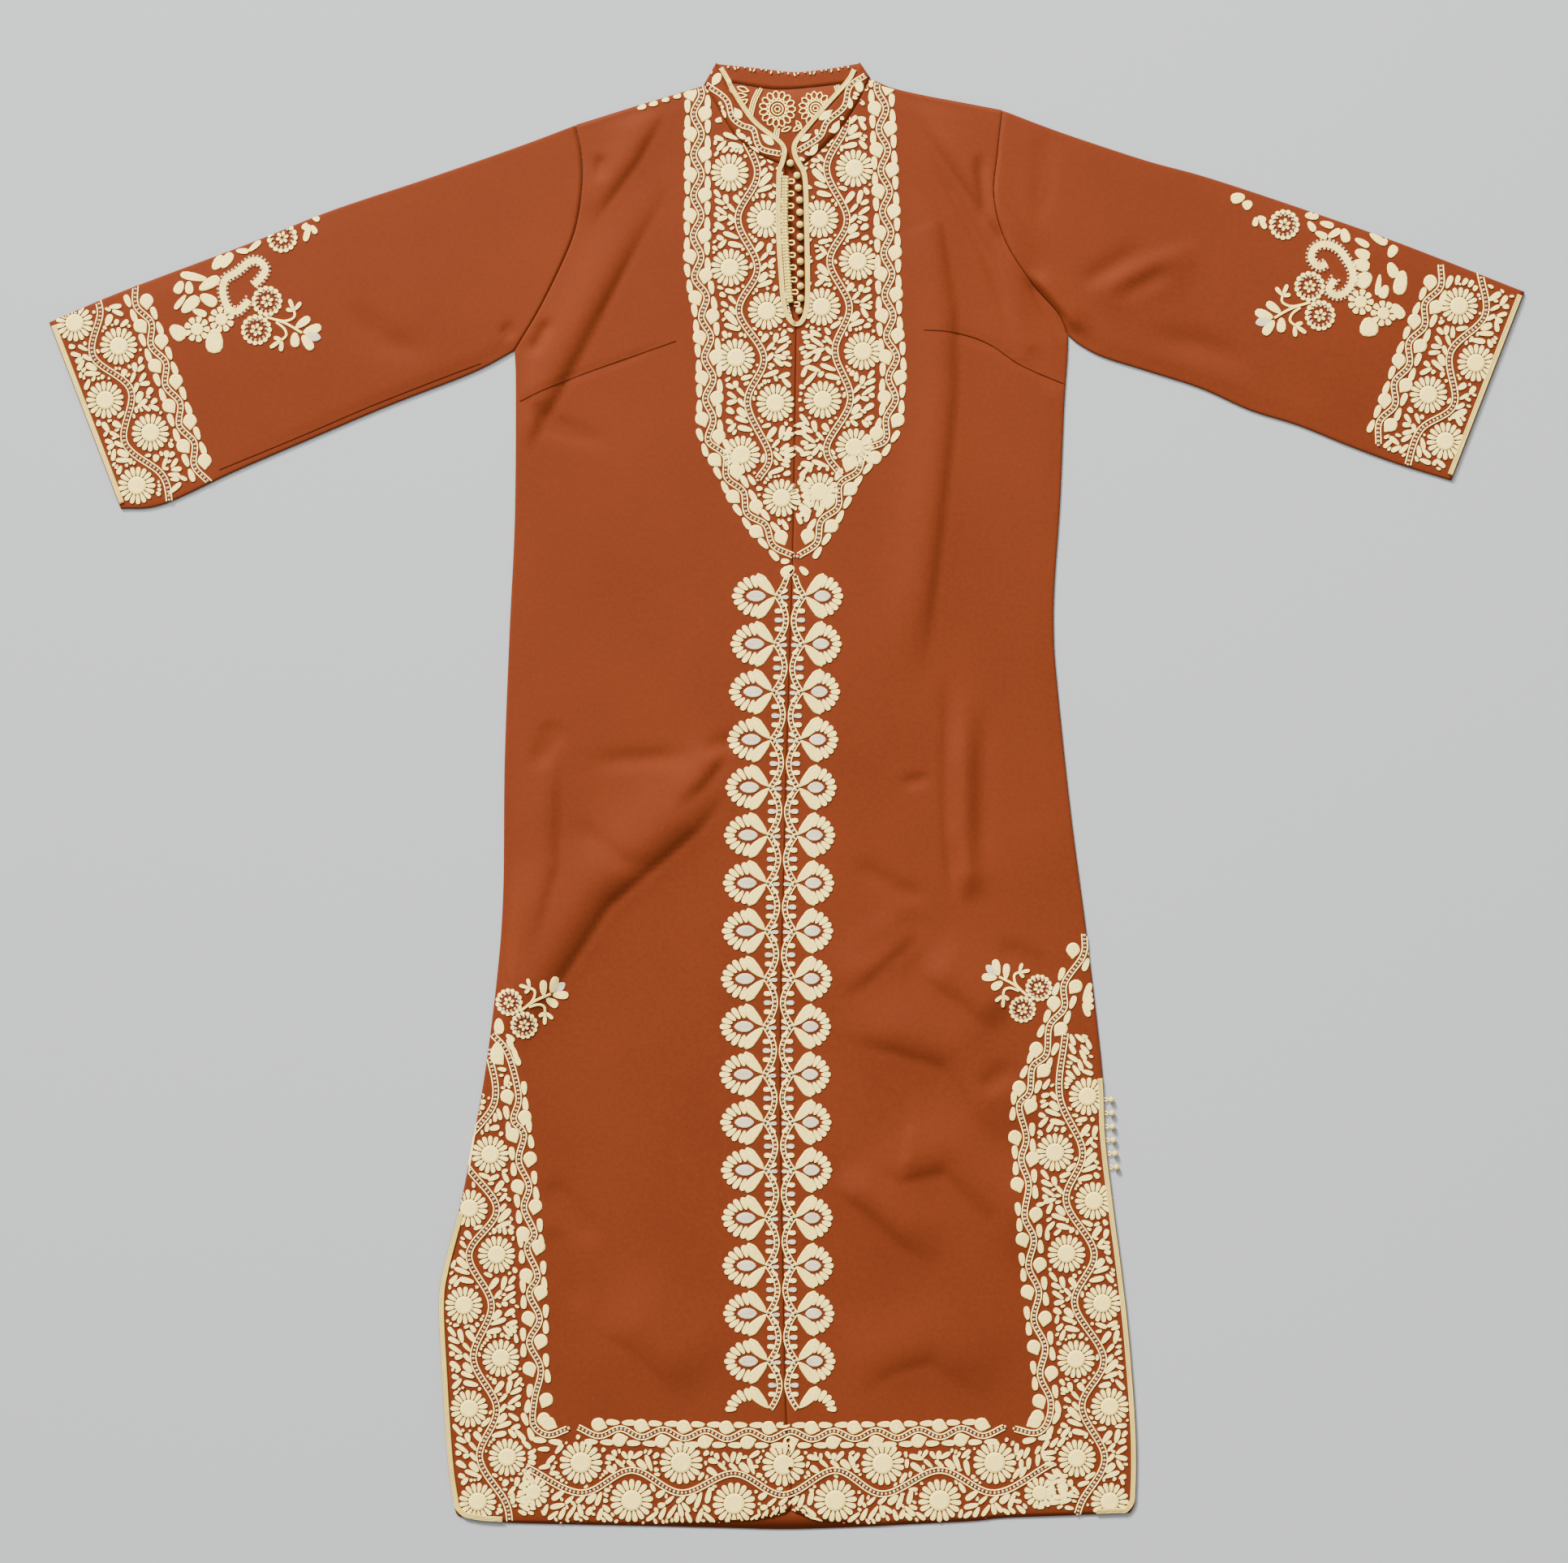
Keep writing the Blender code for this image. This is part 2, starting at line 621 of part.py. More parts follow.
def inward(line, distance):
    """Move a line that runs down the garment sideways, to its left for a positive distance."""
    line = np.asarray(line, float)
    run = np.gradient(line, axis=0)
    normal = np.stack([-run[:, 1], run[:, 0]], axis=1) / np.hypot(*run.T)[:, None]
    return line + distance * normal


def cuff_braid(side, find, material):
    """Flat braid along the cuff's edge."""
    ends = [np.array(SLEEVE_TOP[side][-1], float), np.array(SLEEVE_UNDER[side][-1], float)]
    run = (ends[1] - ends[0]) / length_of(ends)
    inset = 0.5 * BRAID_WIDTH + BRAID_EDGE
    normal = np.array([-run[1], run[0]]) * (1 if side == "left" else -1)
    route = [ends[0] + inset * (normal + run), ends[1] + inset * (normal - run)]
    return strip(f"cuff_braid_{side}", route, BRAID_WIDTH, BRAID_THICK, TRIM_STEP, find, material)


def slit_braid(side, find, material):
    """Flat braid down the side slit's edge and round the corner on to the hem."""
    sign = 1 if side == "left" else -1
    inset = 0.5 * BRAID_WIDTH + BRAID_EDGE
    edge = inward(smooth_line(SIDE[side], even(60)), sign * inset)
    start = SLIT_BRAID_START[side]
    corner_y = FRONT_HEM[side][0][1] + inset + CORNER_RISE
    route = [point for point in edge[::3] if corner_y + CORNER_CLEAR < point[1] < start]
    corner = np.array([edge_at([tuple(point) for point in edge], corner_y), corner_y])
    hem = smooth_line(FRONT_HEM[side], even(40)) + (0, inset)
    along_hem = [point for point in hem if HEM_CLEAR < abs(point[0] - corner[0]) < SLIT_BRAID_ON_HEM[side]]
    route = route + [corner + (sign * CORNER_RISE, 0)] + along_hem
    return strip(f"slit_braid_{side}", route, BRAID_WIDTH, BRAID_THICK, TRIM_STEP, find, material)


def ball(name, centre, radius, material):
    """A thread-covered ball button."""
    mesh = bpy.data.meshes.new(name)
    work = bmesh.new()
    bmesh.ops.create_uvsphere(work, u_segments=8, v_segments=5, radius=radius * MM)
    work.to_mesh(mesh)
    work.free()
    mesh.materials.append(material)
    mesh.shade_smooth()
    item = bpy.data.objects.new(name, mesh)
    item.location = [MM * value for value in centre]
    bpy.context.scene.collection.objects.link(item)
    return item


def cord_loop(name, root, reach, half_span, radius, material):
    """A button loop: a cord that leaves its root to the right, rounds a bend and returns."""
    x, y, z = root
    path = [(0, -0.75 * half_span), (0.4 * reach, -half_span)]
    bend = reach - half_span
    for angle in (-60, 0, 60):
        path.append((bend + half_span * math.cos(math.radians(angle)), half_span * math.sin(math.radians(angle))))
    path += [(0.4 * reach, half_span), (0, 0.75 * half_span)]
    centres = [Vector((x + out, y + up, z)) for out, up in path]
    rings = []
    for number, centre in enumerate(centres):
        run = centres[min(number + 1, len(centres) - 1)] - centres[max(number - 1, 0)]
        aside = Vector((-run.y, run.x, 0)).normalized()
        ring = []
        for corner in range(5):
            angle = math.tau * corner / 5
            ring.append(tuple(centre + radius * (math.cos(angle) * aside + Vector((0, 0, math.sin(angle))))))
        rings.append(ring)
    return lofted(name, rings, False, material)


def neck_fastening(find, thread):
    """The gimp on the left edge, the loops that leave it and the buttons on the right edge."""
    braid_edge = NECK_BRAID_ROUTE[6:15]
    beside = 0.5 * BRAID_WIDTH + LAYER_GAP + 0.5 * GIMP_WIDTH
    rows = np.linspace(GIMP_SPAN[0], GIMP_SPAN[1], 12)
    route = [(edge_at(braid_edge, y) + beside, y) for y in rows]
    strip("neck_gimp", route, GIMP_WIDTH, GIMP_THICK, GIMP_STEP, find, thread)

    pitch = (NECK_BUTTON_SPAN[1] - NECK_BUTTON_SPAN[0]) / (NECK_BUTTONS - 2)
    for number in range(NECK_LOOPS):
        y = NECK_BUTTON_SPAN[0] + (number + 0.5) * pitch
        x = edge_at(braid_edge, y) + beside + 0.5 * GIMP_WIDTH + LOOP_GAP
        z = float(cloth_top([(x - GIMP_WIDTH, y)])[0]) + TRIM_GAP + 0.5 * GIMP_THICK
        cord_loop(f"neck_loop_{number + 1:02d}", (x, y, z), LOOP_REACH, LOOP_HALF_SPAN, CORD_RADIUS, thread)

    edge = np.vstack([[COLLAR_TOP_FRONT["right"][-1]], slit_line("right")])
    for number in range(NECK_BUTTONS):
        y = NECK_BUTTON_SPAN[0] + (number - 1) * pitch
        x = edge_at(edge, y) - BUTTON_RADIUS - LAYER_GAP
        if number == 0:
            x -= TOP_BUTTON_SHIFT
        z = BACK_WALL + LAYER_GAP + BUTTON_RADIUS
        ball(f"neck_button_{number + 1:02d}", (x, y, z), BUTTON_RADIUS, thread)


def slit_fastening(thread):
    """Loops on the right side slit's edge, each with a ball button drawn up to it."""
    pitch = (SLIT_BUTTON_SPAN[1] - SLIT_BUTTON_SPAN[0]) / (SLIT_BUTTONS - 1)
    for number in range(SLIT_BUTTONS):
        y = SLIT_BUTTON_SPAN[0] + number * pitch
        x = edge_at(SIDE["right"], y) + LAYER_GAP + SLIT_CORD_RADIUS
        root = (x, y, BACK_WALL + LAYER_GAP + SLIT_CORD_RADIUS)
        name = f"slit_loop_{number + 1:02d}"
        cord_loop(name, root, SLIT_LOOP_REACH, SLIT_LOOP_HALF_SPAN, SLIT_CORD_RADIUS, thread)
        out = SLIT_LOOP_REACH + SLIT_CORD_RADIUS + SLIT_BUTTON_RADIUS
        centre = (x + out, y, SLIT_BUTTON_RADIUS + LAYER_GAP)
        ball(f"slit_button_{number + 1:02d}", centre, SLIT_BUTTON_RADIUS, thread)


def main():
    """Build the kaftan."""
    for item in list(bpy.data.objects):
        bpy.data.objects.remove(item, do_unlink=True)

    twill = new_material("rust_twill", linear(158, 73, 37), 0.75)
    braid = new_material("gold_braid", linear(209, 189, 145), 0.55)
    thread = new_material("cream_thread", linear(214, 194, 150), 0.6)

    panels = [front("left", twill), front("right", twill)]
    back(twill)
    sleeves = [sleeve("left", twill), sleeve("right", twill)]
    neck = collar(twill)

    find_front = height_finder(panels + [neck])
    find_sleeve = height_finder(sleeves)
    strip("neck_braid", NECK_BRAID_ROUTE, BRAID_WIDTH, BRAID_THICK, NECK_STEP, find_front, braid)
    for side in ("left", "right"):
        cuff_braid(side, find_sleeve, braid)
        slit_braid(side, find_front, braid)
    neck_fastening(find_front, thread)
    slit_fastening(thread)


main()
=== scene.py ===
"""The looks of a long twill kaftan, laid flat on its back with the arms out.

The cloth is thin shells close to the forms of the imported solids: some folds are a little lower and
softer, and the finer creases are added. Chain stitched flowers and vines, silver loops, gold braid,
wound ball buttons and cord loops lie on them.

Lengths in the tables are millimetres, seen from above: x to the viewer's right, y towards the neck
and z up from the surface that the kaftan lies on. "Left" and "right" are the viewer's.
"""

import json
import logging
import math
from dataclasses import dataclass, field
from enum import Enum
from typing import NamedTuple, Protocol, Sequence

import bmesh
import bpy
import numpy as np
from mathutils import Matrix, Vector
from mathutils.bvhtree import BVHTree

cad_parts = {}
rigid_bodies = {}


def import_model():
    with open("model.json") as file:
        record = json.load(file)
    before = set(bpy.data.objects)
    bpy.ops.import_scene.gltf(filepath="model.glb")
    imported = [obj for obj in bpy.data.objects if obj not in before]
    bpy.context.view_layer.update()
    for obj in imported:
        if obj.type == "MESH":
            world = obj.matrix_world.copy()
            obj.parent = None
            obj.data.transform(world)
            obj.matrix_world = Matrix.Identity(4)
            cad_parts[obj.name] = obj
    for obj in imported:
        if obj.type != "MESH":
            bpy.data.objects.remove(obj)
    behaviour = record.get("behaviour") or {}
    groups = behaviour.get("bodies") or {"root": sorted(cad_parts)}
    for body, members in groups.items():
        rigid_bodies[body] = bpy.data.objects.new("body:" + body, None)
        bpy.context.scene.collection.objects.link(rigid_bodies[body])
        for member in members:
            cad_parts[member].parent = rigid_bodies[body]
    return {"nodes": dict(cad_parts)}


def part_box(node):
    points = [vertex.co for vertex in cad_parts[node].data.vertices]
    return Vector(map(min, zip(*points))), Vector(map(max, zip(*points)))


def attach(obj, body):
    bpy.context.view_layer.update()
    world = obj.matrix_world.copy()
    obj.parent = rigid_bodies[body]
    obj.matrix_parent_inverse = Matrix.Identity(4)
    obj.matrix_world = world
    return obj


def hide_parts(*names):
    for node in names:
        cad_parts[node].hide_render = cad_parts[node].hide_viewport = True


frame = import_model()

log = logging.getLogger("kaftan")

MM = 0.001
Place = tuple[float, float]


class Side(Enum):
    """The viewer's sides."""

    LEFT = "left"
    RIGHT = "right"

    @property
    def sign(self) -> int:
        """-1 on the left and 1 on the right."""
        return -1 if self is Side.LEFT else 1


class Roll(Enum):
    """The side of a crease on which its roll of cloth lies, as one walks along the path."""

    LEFT = 1
    RIGHT = -1


# Lines


def smooth_line(points: Sequence[Place], fractions: Sequence[float]) -> np.ndarray:
    """Read a Catmull-Rom curve through points.

    Args:
        points: the points that the curve passes, in mm.
        fractions: shares of the curve's length at which it is read.

    Returns:
        One row of x and y for each fraction.
    """
    knots = np.array(points, float)
    padded = np.vstack([2 * knots[0] - knots[1], knots, 2 * knots[-1] - knots[-2]])
    share = np.linspace(0, 1, 12, endpoint=False)[:, None]
    pieces = []
    for start in range(len(knots) - 1):
        before, here, there, after = padded[start:start + 4]
        pieces.append(0.5 * (
            2 * here
            + (there - before) * share
            + (2 * before - 5 * here + 4 * there - after) * share ** 2
            + (3 * here - before - 3 * there + after) * share ** 3
        ))
    return along(np.vstack(pieces + [knots[-1:]]), fractions)


def along(line: np.ndarray, fractions: Sequence[float]) -> np.ndarray:
    """Read a polyline at fractions of its length."""
    steps = np.hypot(*np.diff(line, axis=0).T)
    travelled = np.concatenate([[0], np.cumsum(steps)])
    wanted = np.asarray(fractions) * travelled[-1]
    return np.stack([np.interp(wanted, travelled, line[:, axis]) for axis in (0, 1)], axis=1)


def by_index(line: np.ndarray, fractions: Sequence[float]) -> np.ndarray:
    """Read a polyline at fractions of its count of points, so that its own points are kept."""
    places = np.arange(len(line))
    wanted = np.asarray(fractions) * (len(line) - 1)
    return np.stack([np.interp(wanted, places, line[:, axis]) for axis in (0, 1)], axis=1)


def length_of(line: Sequence[Place]) -> float:
    """Length of a polyline, in mm."""
    return float(np.hypot(*np.diff(np.asarray(line, float), axis=0).T).sum())


def even(count: int) -> np.ndarray:
    """Fractions of an even division."""
    return np.linspace(0, 1, count + 1)


def ease(value: np.ndarray) -> np.ndarray:
    """Smooth step from 0 to 1."""
    value = np.clip(value, 0, 1)
    return value * value * (3 - 2 * value)


def patch(first: np.ndarray, last: np.ndarray, start: np.ndarray, end: np.ndarray,
          across: np.ndarray) -> np.ndarray:
    """Fill four border lines with a grid.

    Args:
        first: the line down the grid at share 0.
        last: the line down the grid at share 1.
        start: the line across the grid's first row.
        end: the line across the grid's last row.
        across: shares of the width at which the columns stand.

    Returns:
        A grid of rows, columns and x, y.
    """
    share = np.asarray(across)[None, :, None]
    down = even(len(first) - 1)[:, None, None]
    rows = (1 - share) * first[:, None] + share * last[:, None]
    columns = (1 - down) * start[None] + down * end[None]
    corners = (
        (1 - share) * (1 - down) * first[0] + share * (1 - down) * last[0]
        + (1 - share) * down * first[-1] + share * down * last[-1]
    )
    return rows + columns - corners


def nearest(points: np.ndarray, line: np.ndarray) -> tuple[np.ndarray, np.ndarray, np.ndarray]:
    """Measure points against a polyline.

    Returns:
        The distance of each point, the side on which it lies (1 left, -1 right), and the share of
        the line's length at which the line is nearest.
    """
    best = np.full(len(points), np.inf)
    side = np.zeros(len(points))
    place = np.zeros(len(points))
    total = length_of(line)
    done = 0.0
    for here, there in zip(line[:-1], line[1:]):
        step = there - here
        reach = max(float(np.hypot(*step)), 1e-9)
        share = np.clip((points - here) @ step / reach ** 2, 0, 1)
        offset = points - (here + share[:, None] * step)
        gap = np.hypot(*offset.T)
        closer = gap < best
        best[closer] = gap[closer]
        side[closer] = np.sign(step[0] * offset[:, 1] - step[1] * offset[:, 0])[closer]
        place[closer] = (done + share[closer] * reach) / total
        done += reach
    return best, side, place


def beside(line: np.ndarray, distance: float) -> np.ndarray:
    """Move a line sideways, to its left for a positive distance."""
    run = np.gradient(line, axis=0)
    normal = np.stack([-run[:, 1], run[:, 0]], axis=1) / np.hypot(*run.T)[:, None]
    return line + distance * normal


class Cut:
    """The outlines of the cut pieces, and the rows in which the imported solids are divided."""

    armhole_rows = 8
    side_rows = 38
    neck_rows = 6
    slit_shares = [0, 0.2, 0.42, 0.64, 0.82, 0.93, 1]
    shoulder = {
        Side.LEFT: [(-200, 636), (-139, 655), (-77.4, 673.4)],
        Side.RIGHT: [(204, 650), (162, 658), (130, 664), (100, 671), (78.2, 679.5)],
    }
    armhole = {
        Side.LEFT: [
            (-200, 636), (-194.5, 609), (-193.7, 582), (-198, 547), (-208, 516), (-233, 464), (-258, 422),
        ],
        Side.RIGHT: [
            (204, 650), (199.5, 609), (196, 567), (206.7, 525), (231, 487), (257, 457), (266.8, 436),
        ],
    }
    side = {
        Side.LEFT: [
            (-258, 422), (-257, 385), (-258, 262), (-263, 154), (-267.6, 31), (-269, -92), (-274.5, -169),
            (-286, -261), (-297, -323), (-309, -385), (-325, -446), (-330, -480), (-327.6, -539),
            (-321.5, -631), (-314.5, -677), (-311, -683),
        ],
        Side.RIGHT: [
            (266.8, 436), (266, 415), (263, 370), (259, 278), (253.7, 200), (253, 154), (256, 108),
            (269, -15), (285, -138), (299, -261), (302, -323), (309, -385), (317, -446), (324, -508),
            (330, -585), (331.5, -631), (330, -669), (325.3, -680),
        ],
    }
    front_hem = {
        Side.LEFT: [
            (-311, -683), (-283, -688), (-205, -690), (-130, -691), (-84, -690), (-35, -687), (-16, -684),
            (-4, -680.5), (3.5, -677),
        ],
        Side.RIGHT: [
            (325.3, -680), (254, -682.5), (204, -684), (176, -687), (115, -690), (81, -692), (57, -690),
            (32, -688), (14, -682), (4.6, -677),
        ],
    }
    back_hem = [
        (-311, -683), (-283, -688.5), (-205, -691), (-130, -692.5), (-53, -694.4), (1, -695.5),
        (70, -693.4), (115, -691), (176, -688), (204, -685), (254, -683), (325.3, -680),
    ]
    sleeve_top = {
        Side.LEFT: [
            (-200, 636), (-252, 616.4), (-340, 585.6), (-432, 554.8), (-509, 524), (-631, 478),
            (-699, 449),
        ],
        Side.RIGHT: [
            (204, 650), (252, 631.8), (297, 616.4), (345, 601), (401, 585.6), (494, 554.8),
            (581, 524), (699, 478),
        ],
    }
    sleeve_under = {
        Side.LEFT: [
            (-258, 422), (-298, 401), (-377, 370), (-450, 339), (-522, 308), (-592, 276),
            (-631, 272),
        ],
        Side.RIGHT: [
            (266.8, 436), (279, 426.5), (301, 415.4), (347, 401), (393, 386), (439, 365.5), (485, 351),
            (532, 332), (578, 315), (629.5, 299),
        ],
    }
    neckline = {
        Side.LEFT: [
            (-77.4, 673.4), (-65.8, 652.6), (-52, 629.5), (-36.6, 614), (-17.3, 602.5), (-2.5, 597),
        ],
        Side.RIGHT: [
            (78.2, 679.5), (66.6, 655), (51.2, 631.8), (35.8, 614.8), (21.9, 602.5), (12.7, 594.8),
        ],
    }
    slit_edge = {
        Side.LEFT: [
            (-2.5, 597), (-2, 588), (-1.2, 578), (-1.2, 540), (-0.4, 501), (1.9, 468), (5.5, 453),
            (8.9, 444),
        ],
        Side.RIGHT: [
            (12.7, 594.8), (15.5, 575), (16.4, 540), (16.8, 500), (17, 470), (15, 455), (12, 448),
            (8.9, 444),
        ],
    }
    centre_seam = [
        (8.9, 444), (7.3, 324), (5, 200), (-1.2, -15), (-5.8, -246), (-2.7, -477), (-0.4, -585),
        (4.4, -655), (4.1, -677),
    ]
    back_neck = [(-77.4, 673.4), (-54.3, 675.7), (-7.3, 669.5), (52.7, 674.9), (78.2, 679.5)]
    collar_top_back = [(-66, 694), (-22.7, 689.5), (8, 686.4), (38.9, 689.5), (68.1, 694.5)]
    collar_top_front = {
        Side.LEFT: [(-66, 694), (-59, 678), (-53.5, 668), (-33.5, 638.7), (-7.3, 618), (-0.5, 609.5)],
        Side.RIGHT: [(68.1, 694.5), (62, 681), (50.4, 668), (27.3, 642.6), (7.5, 618.7), (4.8, 609.5)],
    }
    sleeve_seam = [(-538, 309), (-475, 335), (-442, 349), (-398, 368), (-340, 391), (-290, 410)]
    neck_braid = [
        (-62.5, 690), (-56, 679), (-50.5, 668), (-31.5, 640), (-7.5, 620.5), (-2.2, 611), (-4.2, 600),
        (-7, 592), (-7.6, 577), (-8, 557), (-8, 540), (-6.9, 516), (-5.6, 498), (-3.9, 475), (-1.5, 460),
        (3.4, 450), (8.9, 446.6), (14.4, 449.5), (18.3, 460), (19.7, 475), (19.7, 498), (19.2, 522),
        (18.7, 546), (18, 575), (16.2, 590), (10.4, 601), (7, 610.5), (9.6, 621), (28.5, 644.5),
        (49.5, 668), (59, 679), (64, 688.5),
    ]

    @classmethod
    def outline(cls) -> np.ndarray:
        """The whole garment's outline as one closed line."""
        left, right = Side.LEFT, Side.RIGHT
        parts = [
            smooth_line(cls.sleeve_top[left], even(10)),
            smooth_line([cls.sleeve_top[left][-1], cls.sleeve_under[left][-1]], even(1)),
            smooth_line(cls.sleeve_under[left], even(10))[::-1],
            smooth_line(cls.side[left], even(24)),
            np.array(cls.back_hem, float),
            smooth_line(cls.side[right], even(24))[::-1],
            smooth_line(cls.sleeve_under[right], even(10)),
            smooth_line([cls.sleeve_under[right][-1], cls.sleeve_top[right][-1]], even(1)),
            smooth_line(cls.sleeve_top[right], even(10))[::-1],
            np.array(cls.shoulder[right], float),
            np.array(cls.collar_top_back[::-1], float),
            np.array(cls.shoulder[left][::-1], float),
        ]
        return np.vstack(parts)

    @staticmethod
    def edge_at(table: Sequence[Place], y: float) -> float:
        """x of an edge table at a height y."""
        rows = sorted((row[1], row[0]) for row in table)
        return float(np.interp(y, [row[0] for row in rows], [row[1] for row in rows]))


class Fold(NamedTuple):
    """A roll of cloth beside its crease, in mm; rise and fall are shares of the path."""

    path: list[Place]
    side: Roll
    width: float
    height: float
    soft: float
    rise: float
    fall: float


class Swell(NamedTuple):
    """A broad low swell of air under the cloth, in mm."""

    x: float
    y: float
    reach_x: float
    reach_y: float
    height: float


class Trough(NamedTuple):
    """A soft narrow trough or, with a negative depth, a ridge, in mm."""

    path: list[Place]
    width: float
    depth: float
    rise: float
    fall: float


@dataclass
class LaidCloth:
    """The form of the cloth as it lies: its height over each point."""

    back_wall: float = 1.2
    layer_gap: float = 0.3
    front_wall: float = 1.4
    edge_fade: float = 18.0
    crease_depth: float = 1.9
    fold_line: float = 0.16
    fold_line_width: float = 3.5
    roll_more: float = 0.2
    roll_share: float = 0.5

    swells = [
        Swell(5, 560, 150, 130, 2.6),
        Swell(0, 180, 210, 230, 2.4),
        Swell(0, -330, 230, 260, 2.6),
        Swell(-440, 440, 170, 90, 2.6),
        Swell(450, 460, 170, 90, 2.6),
    ]
    folds = [
        Fold([(-96, 601), (-137, 530), (-195, 417), (-254, 309)], Roll.RIGHT, 20, 4.8, 3, 0.5, 0.2),
        Fold([(-110, 655), (-140, 600), (-190, 532)], Roll.RIGHT, 15, 4.0, 8, 0.3, 0.4),
        Fold([(108, 662), (148, 603), (198, 530), (218, 433)], Roll.LEFT, 15, 4.0, 4, 0.3, 0.3),
        Fold(
            [(117, 598), (148, 544), (162, 458), (162, 377), (153, 287), (130, 97)],
            Roll.RIGHT, 20, 5.0, 9, 0.2, 0.2,
        ),
        Fold([(225, 495), (262, 452), (266, 430)], Roll.LEFT, 9, 4.0, 2, 0.3, 0.2),
        Fold(
            [(-40, 20), (-84, -34), (-168, -105), (-211, -172), (-252, -254)],
            Roll.RIGHT, 30, 7.8, 12, 0.25, 0.25,
        ),
        Fold([(-49, 48), (-76, 10), (-110, -20)], Roll.RIGHT, 14, 3.5, 2, 0.3, 0.5),
        Fold([(-214, 70), (-216, -66), (-245, -167)], Roll.RIGHT, 18, 4.0, 9, 0.4, 0.3),
        Fold([(150, 110), (151, -40), (161, -106)], Roll.LEFT, 15, 5.6, 5, 0.4, 0.15),
        Fold([(134, -126), (90, -165), (51, -200)], Roll.RIGHT, 18, 4.2, 11, 0.25, 0.4),
        Fold([(117, -167), (160, -195), (199, -229)], Roll.LEFT, 24, 4.6, 14, 0.3, 0.3),
        Fold(
            [(37, -229), (99, -243), (147, -258), (175, -305), (208, -348)],
            Roll.LEFT, 26, 5.0, 12, 0.3, 0.3,
        ),
        Fold(
            [(65, -343), (108, -367), (147, -358), (190, -401), (213, -472)],
            Roll.LEFT, 27, 4.8, 13, 0.3, 0.35,
        ),
        Fold([(37, -367), (84, -405), (137, -453)], Roll.LEFT, 18, 4.5, 7, 0.25, 0.4),
        Fold([(60, -577), (100, -548), (135, -538), (194, -582)], Roll.LEFT, 28, 3.6, 15, 0.4, 0.4),
        Fold([(-192, -505), (-150, -525), (-92, -582)], Roll.LEFT, 30, 3.8, 18, 0.4, 0.4),
        Fold([(275, 481), (340, 512), (400, 536)], Roll.RIGHT, 16, 3.0, 8, 0.3, 0.4),
    ]
    troughs = [
        Trough([(-177, 609), (-176, 579)], 6, 1.5, 0.3, 0.5),
        Trough([(-223, 454), (-243, 415)], 6, 1.6, 0.3, 0.3),
        Trough([(185, 612), (183, 597), (189, 540)], 6, 1.6, 0.3, 0.3),
        Trough([(134, 612), (189, 512), (216, 432)], 5, 1.3, 0.3, 0.3),
        Trough([(248, 635), (238, 536)], 7, 1.6, 0.3, 0.4),
        Trough([(225, 495), (265, 431)], 5, 1.6, 0.3, 0.3),
        Trough([(229, 427), (257, 382)], 6, 1.5, 0.3, 0.4),
        Trough([(275, 481), (347, 526)], 8, 1.4, 0.3, 0.5),
        Trough([(304, 467), (373, 504)], 8, 1.6, 0.4, 0.4),
        Trough([(-272, 436), (-256, 444)], 6, 1.5, 0.3, 0.4),
        Trough([(148, 120), (157, 62), (158, -35), (161, -105)], 8, 2.0, 0.3, 0.2),
        Trough([(187, 100), (184, -10), (182, -104)], 10, 1.1, 0.3, 0.3),
        Trough([(137, -112), (52, -168)], 13, 1.1, 0.3, 0.4),
        Trough([(181, -281), (218, -253)], 10, 1.2, 0.3, 0.4),
        Trough([(107, 11), (138, 17)], 5, 1.2, 0.3, 0.4),
        Trough([(-197, 31), (-78, 39)], 9, 1.2, 0.4, 0.4),
        Trough([(-216, 72), (-240, 20)], 9, 1.4, 0.3, 0.4),
        Trough([(-228, -362), (-178, -429)], 10, 1.6, 0.3, 0.4),
        Trough([(-226, -405), (-192, -491)], 10, 1.5, 0.3, 0.4),
        Trough([(-90, 39), (-31, 58)], 8, 1.2, 0.4, 0.4),
        Trough([(-252, 380), (-226, 352), (-160, 330)], 8, 1.3, 0.2, 0.5),
        Trough([(60, -60), (105, -90), (140, -98)], 9, 1.0, 0.3, 0.3),
        Trough([(-205, -20), (-160, -60), (-120, -72)], 10, 1.2, 0.3, 0.4),
        Trough([(196, -140), (236, -160), (252, -190)], 9, 1.2, 0.3, 0.4),
        Trough([(-420, 470), (-380, 430), (-330, 415)], 12, 1.2, 0.4, 0.4),
        Trough([(330, 440), (400, 425), (450, 400)], 12, 1.2, 0.4, 0.4),
    ]
    darts = [
        Trough([(-253, 374), (-198, 398), (-105, 431)], 2.6, 0.9, 0.05, 0.3),
        Trough([(264, 390), (222, 408), (192, 428), (163, 438), (130, 441)], 2.6, 0.9, 0.05, 0.3),
    ]

    @property
    def lift(self) -> float:
        """Top of the front where it lies straight on the back."""
        return self.back_wall + self.layer_gap + self.front_wall

    def top(self, points: np.ndarray) -> np.ndarray:
        """Height of the upper cloth's top over each point, with its swells and its folds."""
        points = np.asarray(points, float).reshape(-1, 2)
        raised = np.zeros(len(points))
        for swell in self.swells:
            spread = ((points[:, 0] - swell.x) / swell.reach_x) ** 2
            spread = spread + ((points[:, 1] - swell.y) / swell.reach_y) ** 2
            raised += swell.height * np.exp(-spread)
        for fold in self.folds:
            gap, side, place = nearest(points, np.array(fold.path, float))
            signed = gap * side * fold.side.value
            reach = 0.5 * (signed + np.sqrt(signed ** 2 + fold.soft ** 2)) / fold.width
            shape = reach * np.exp(0.5 * (1 - reach ** 2))
            raised += fold.height * shape * ease(place / fold.rise) * ease((1 - place) / fold.fall)
        edge = nearest(points, Cut.outline())[0]
        return self.lift + raised * ease(edge / self.edge_fade)

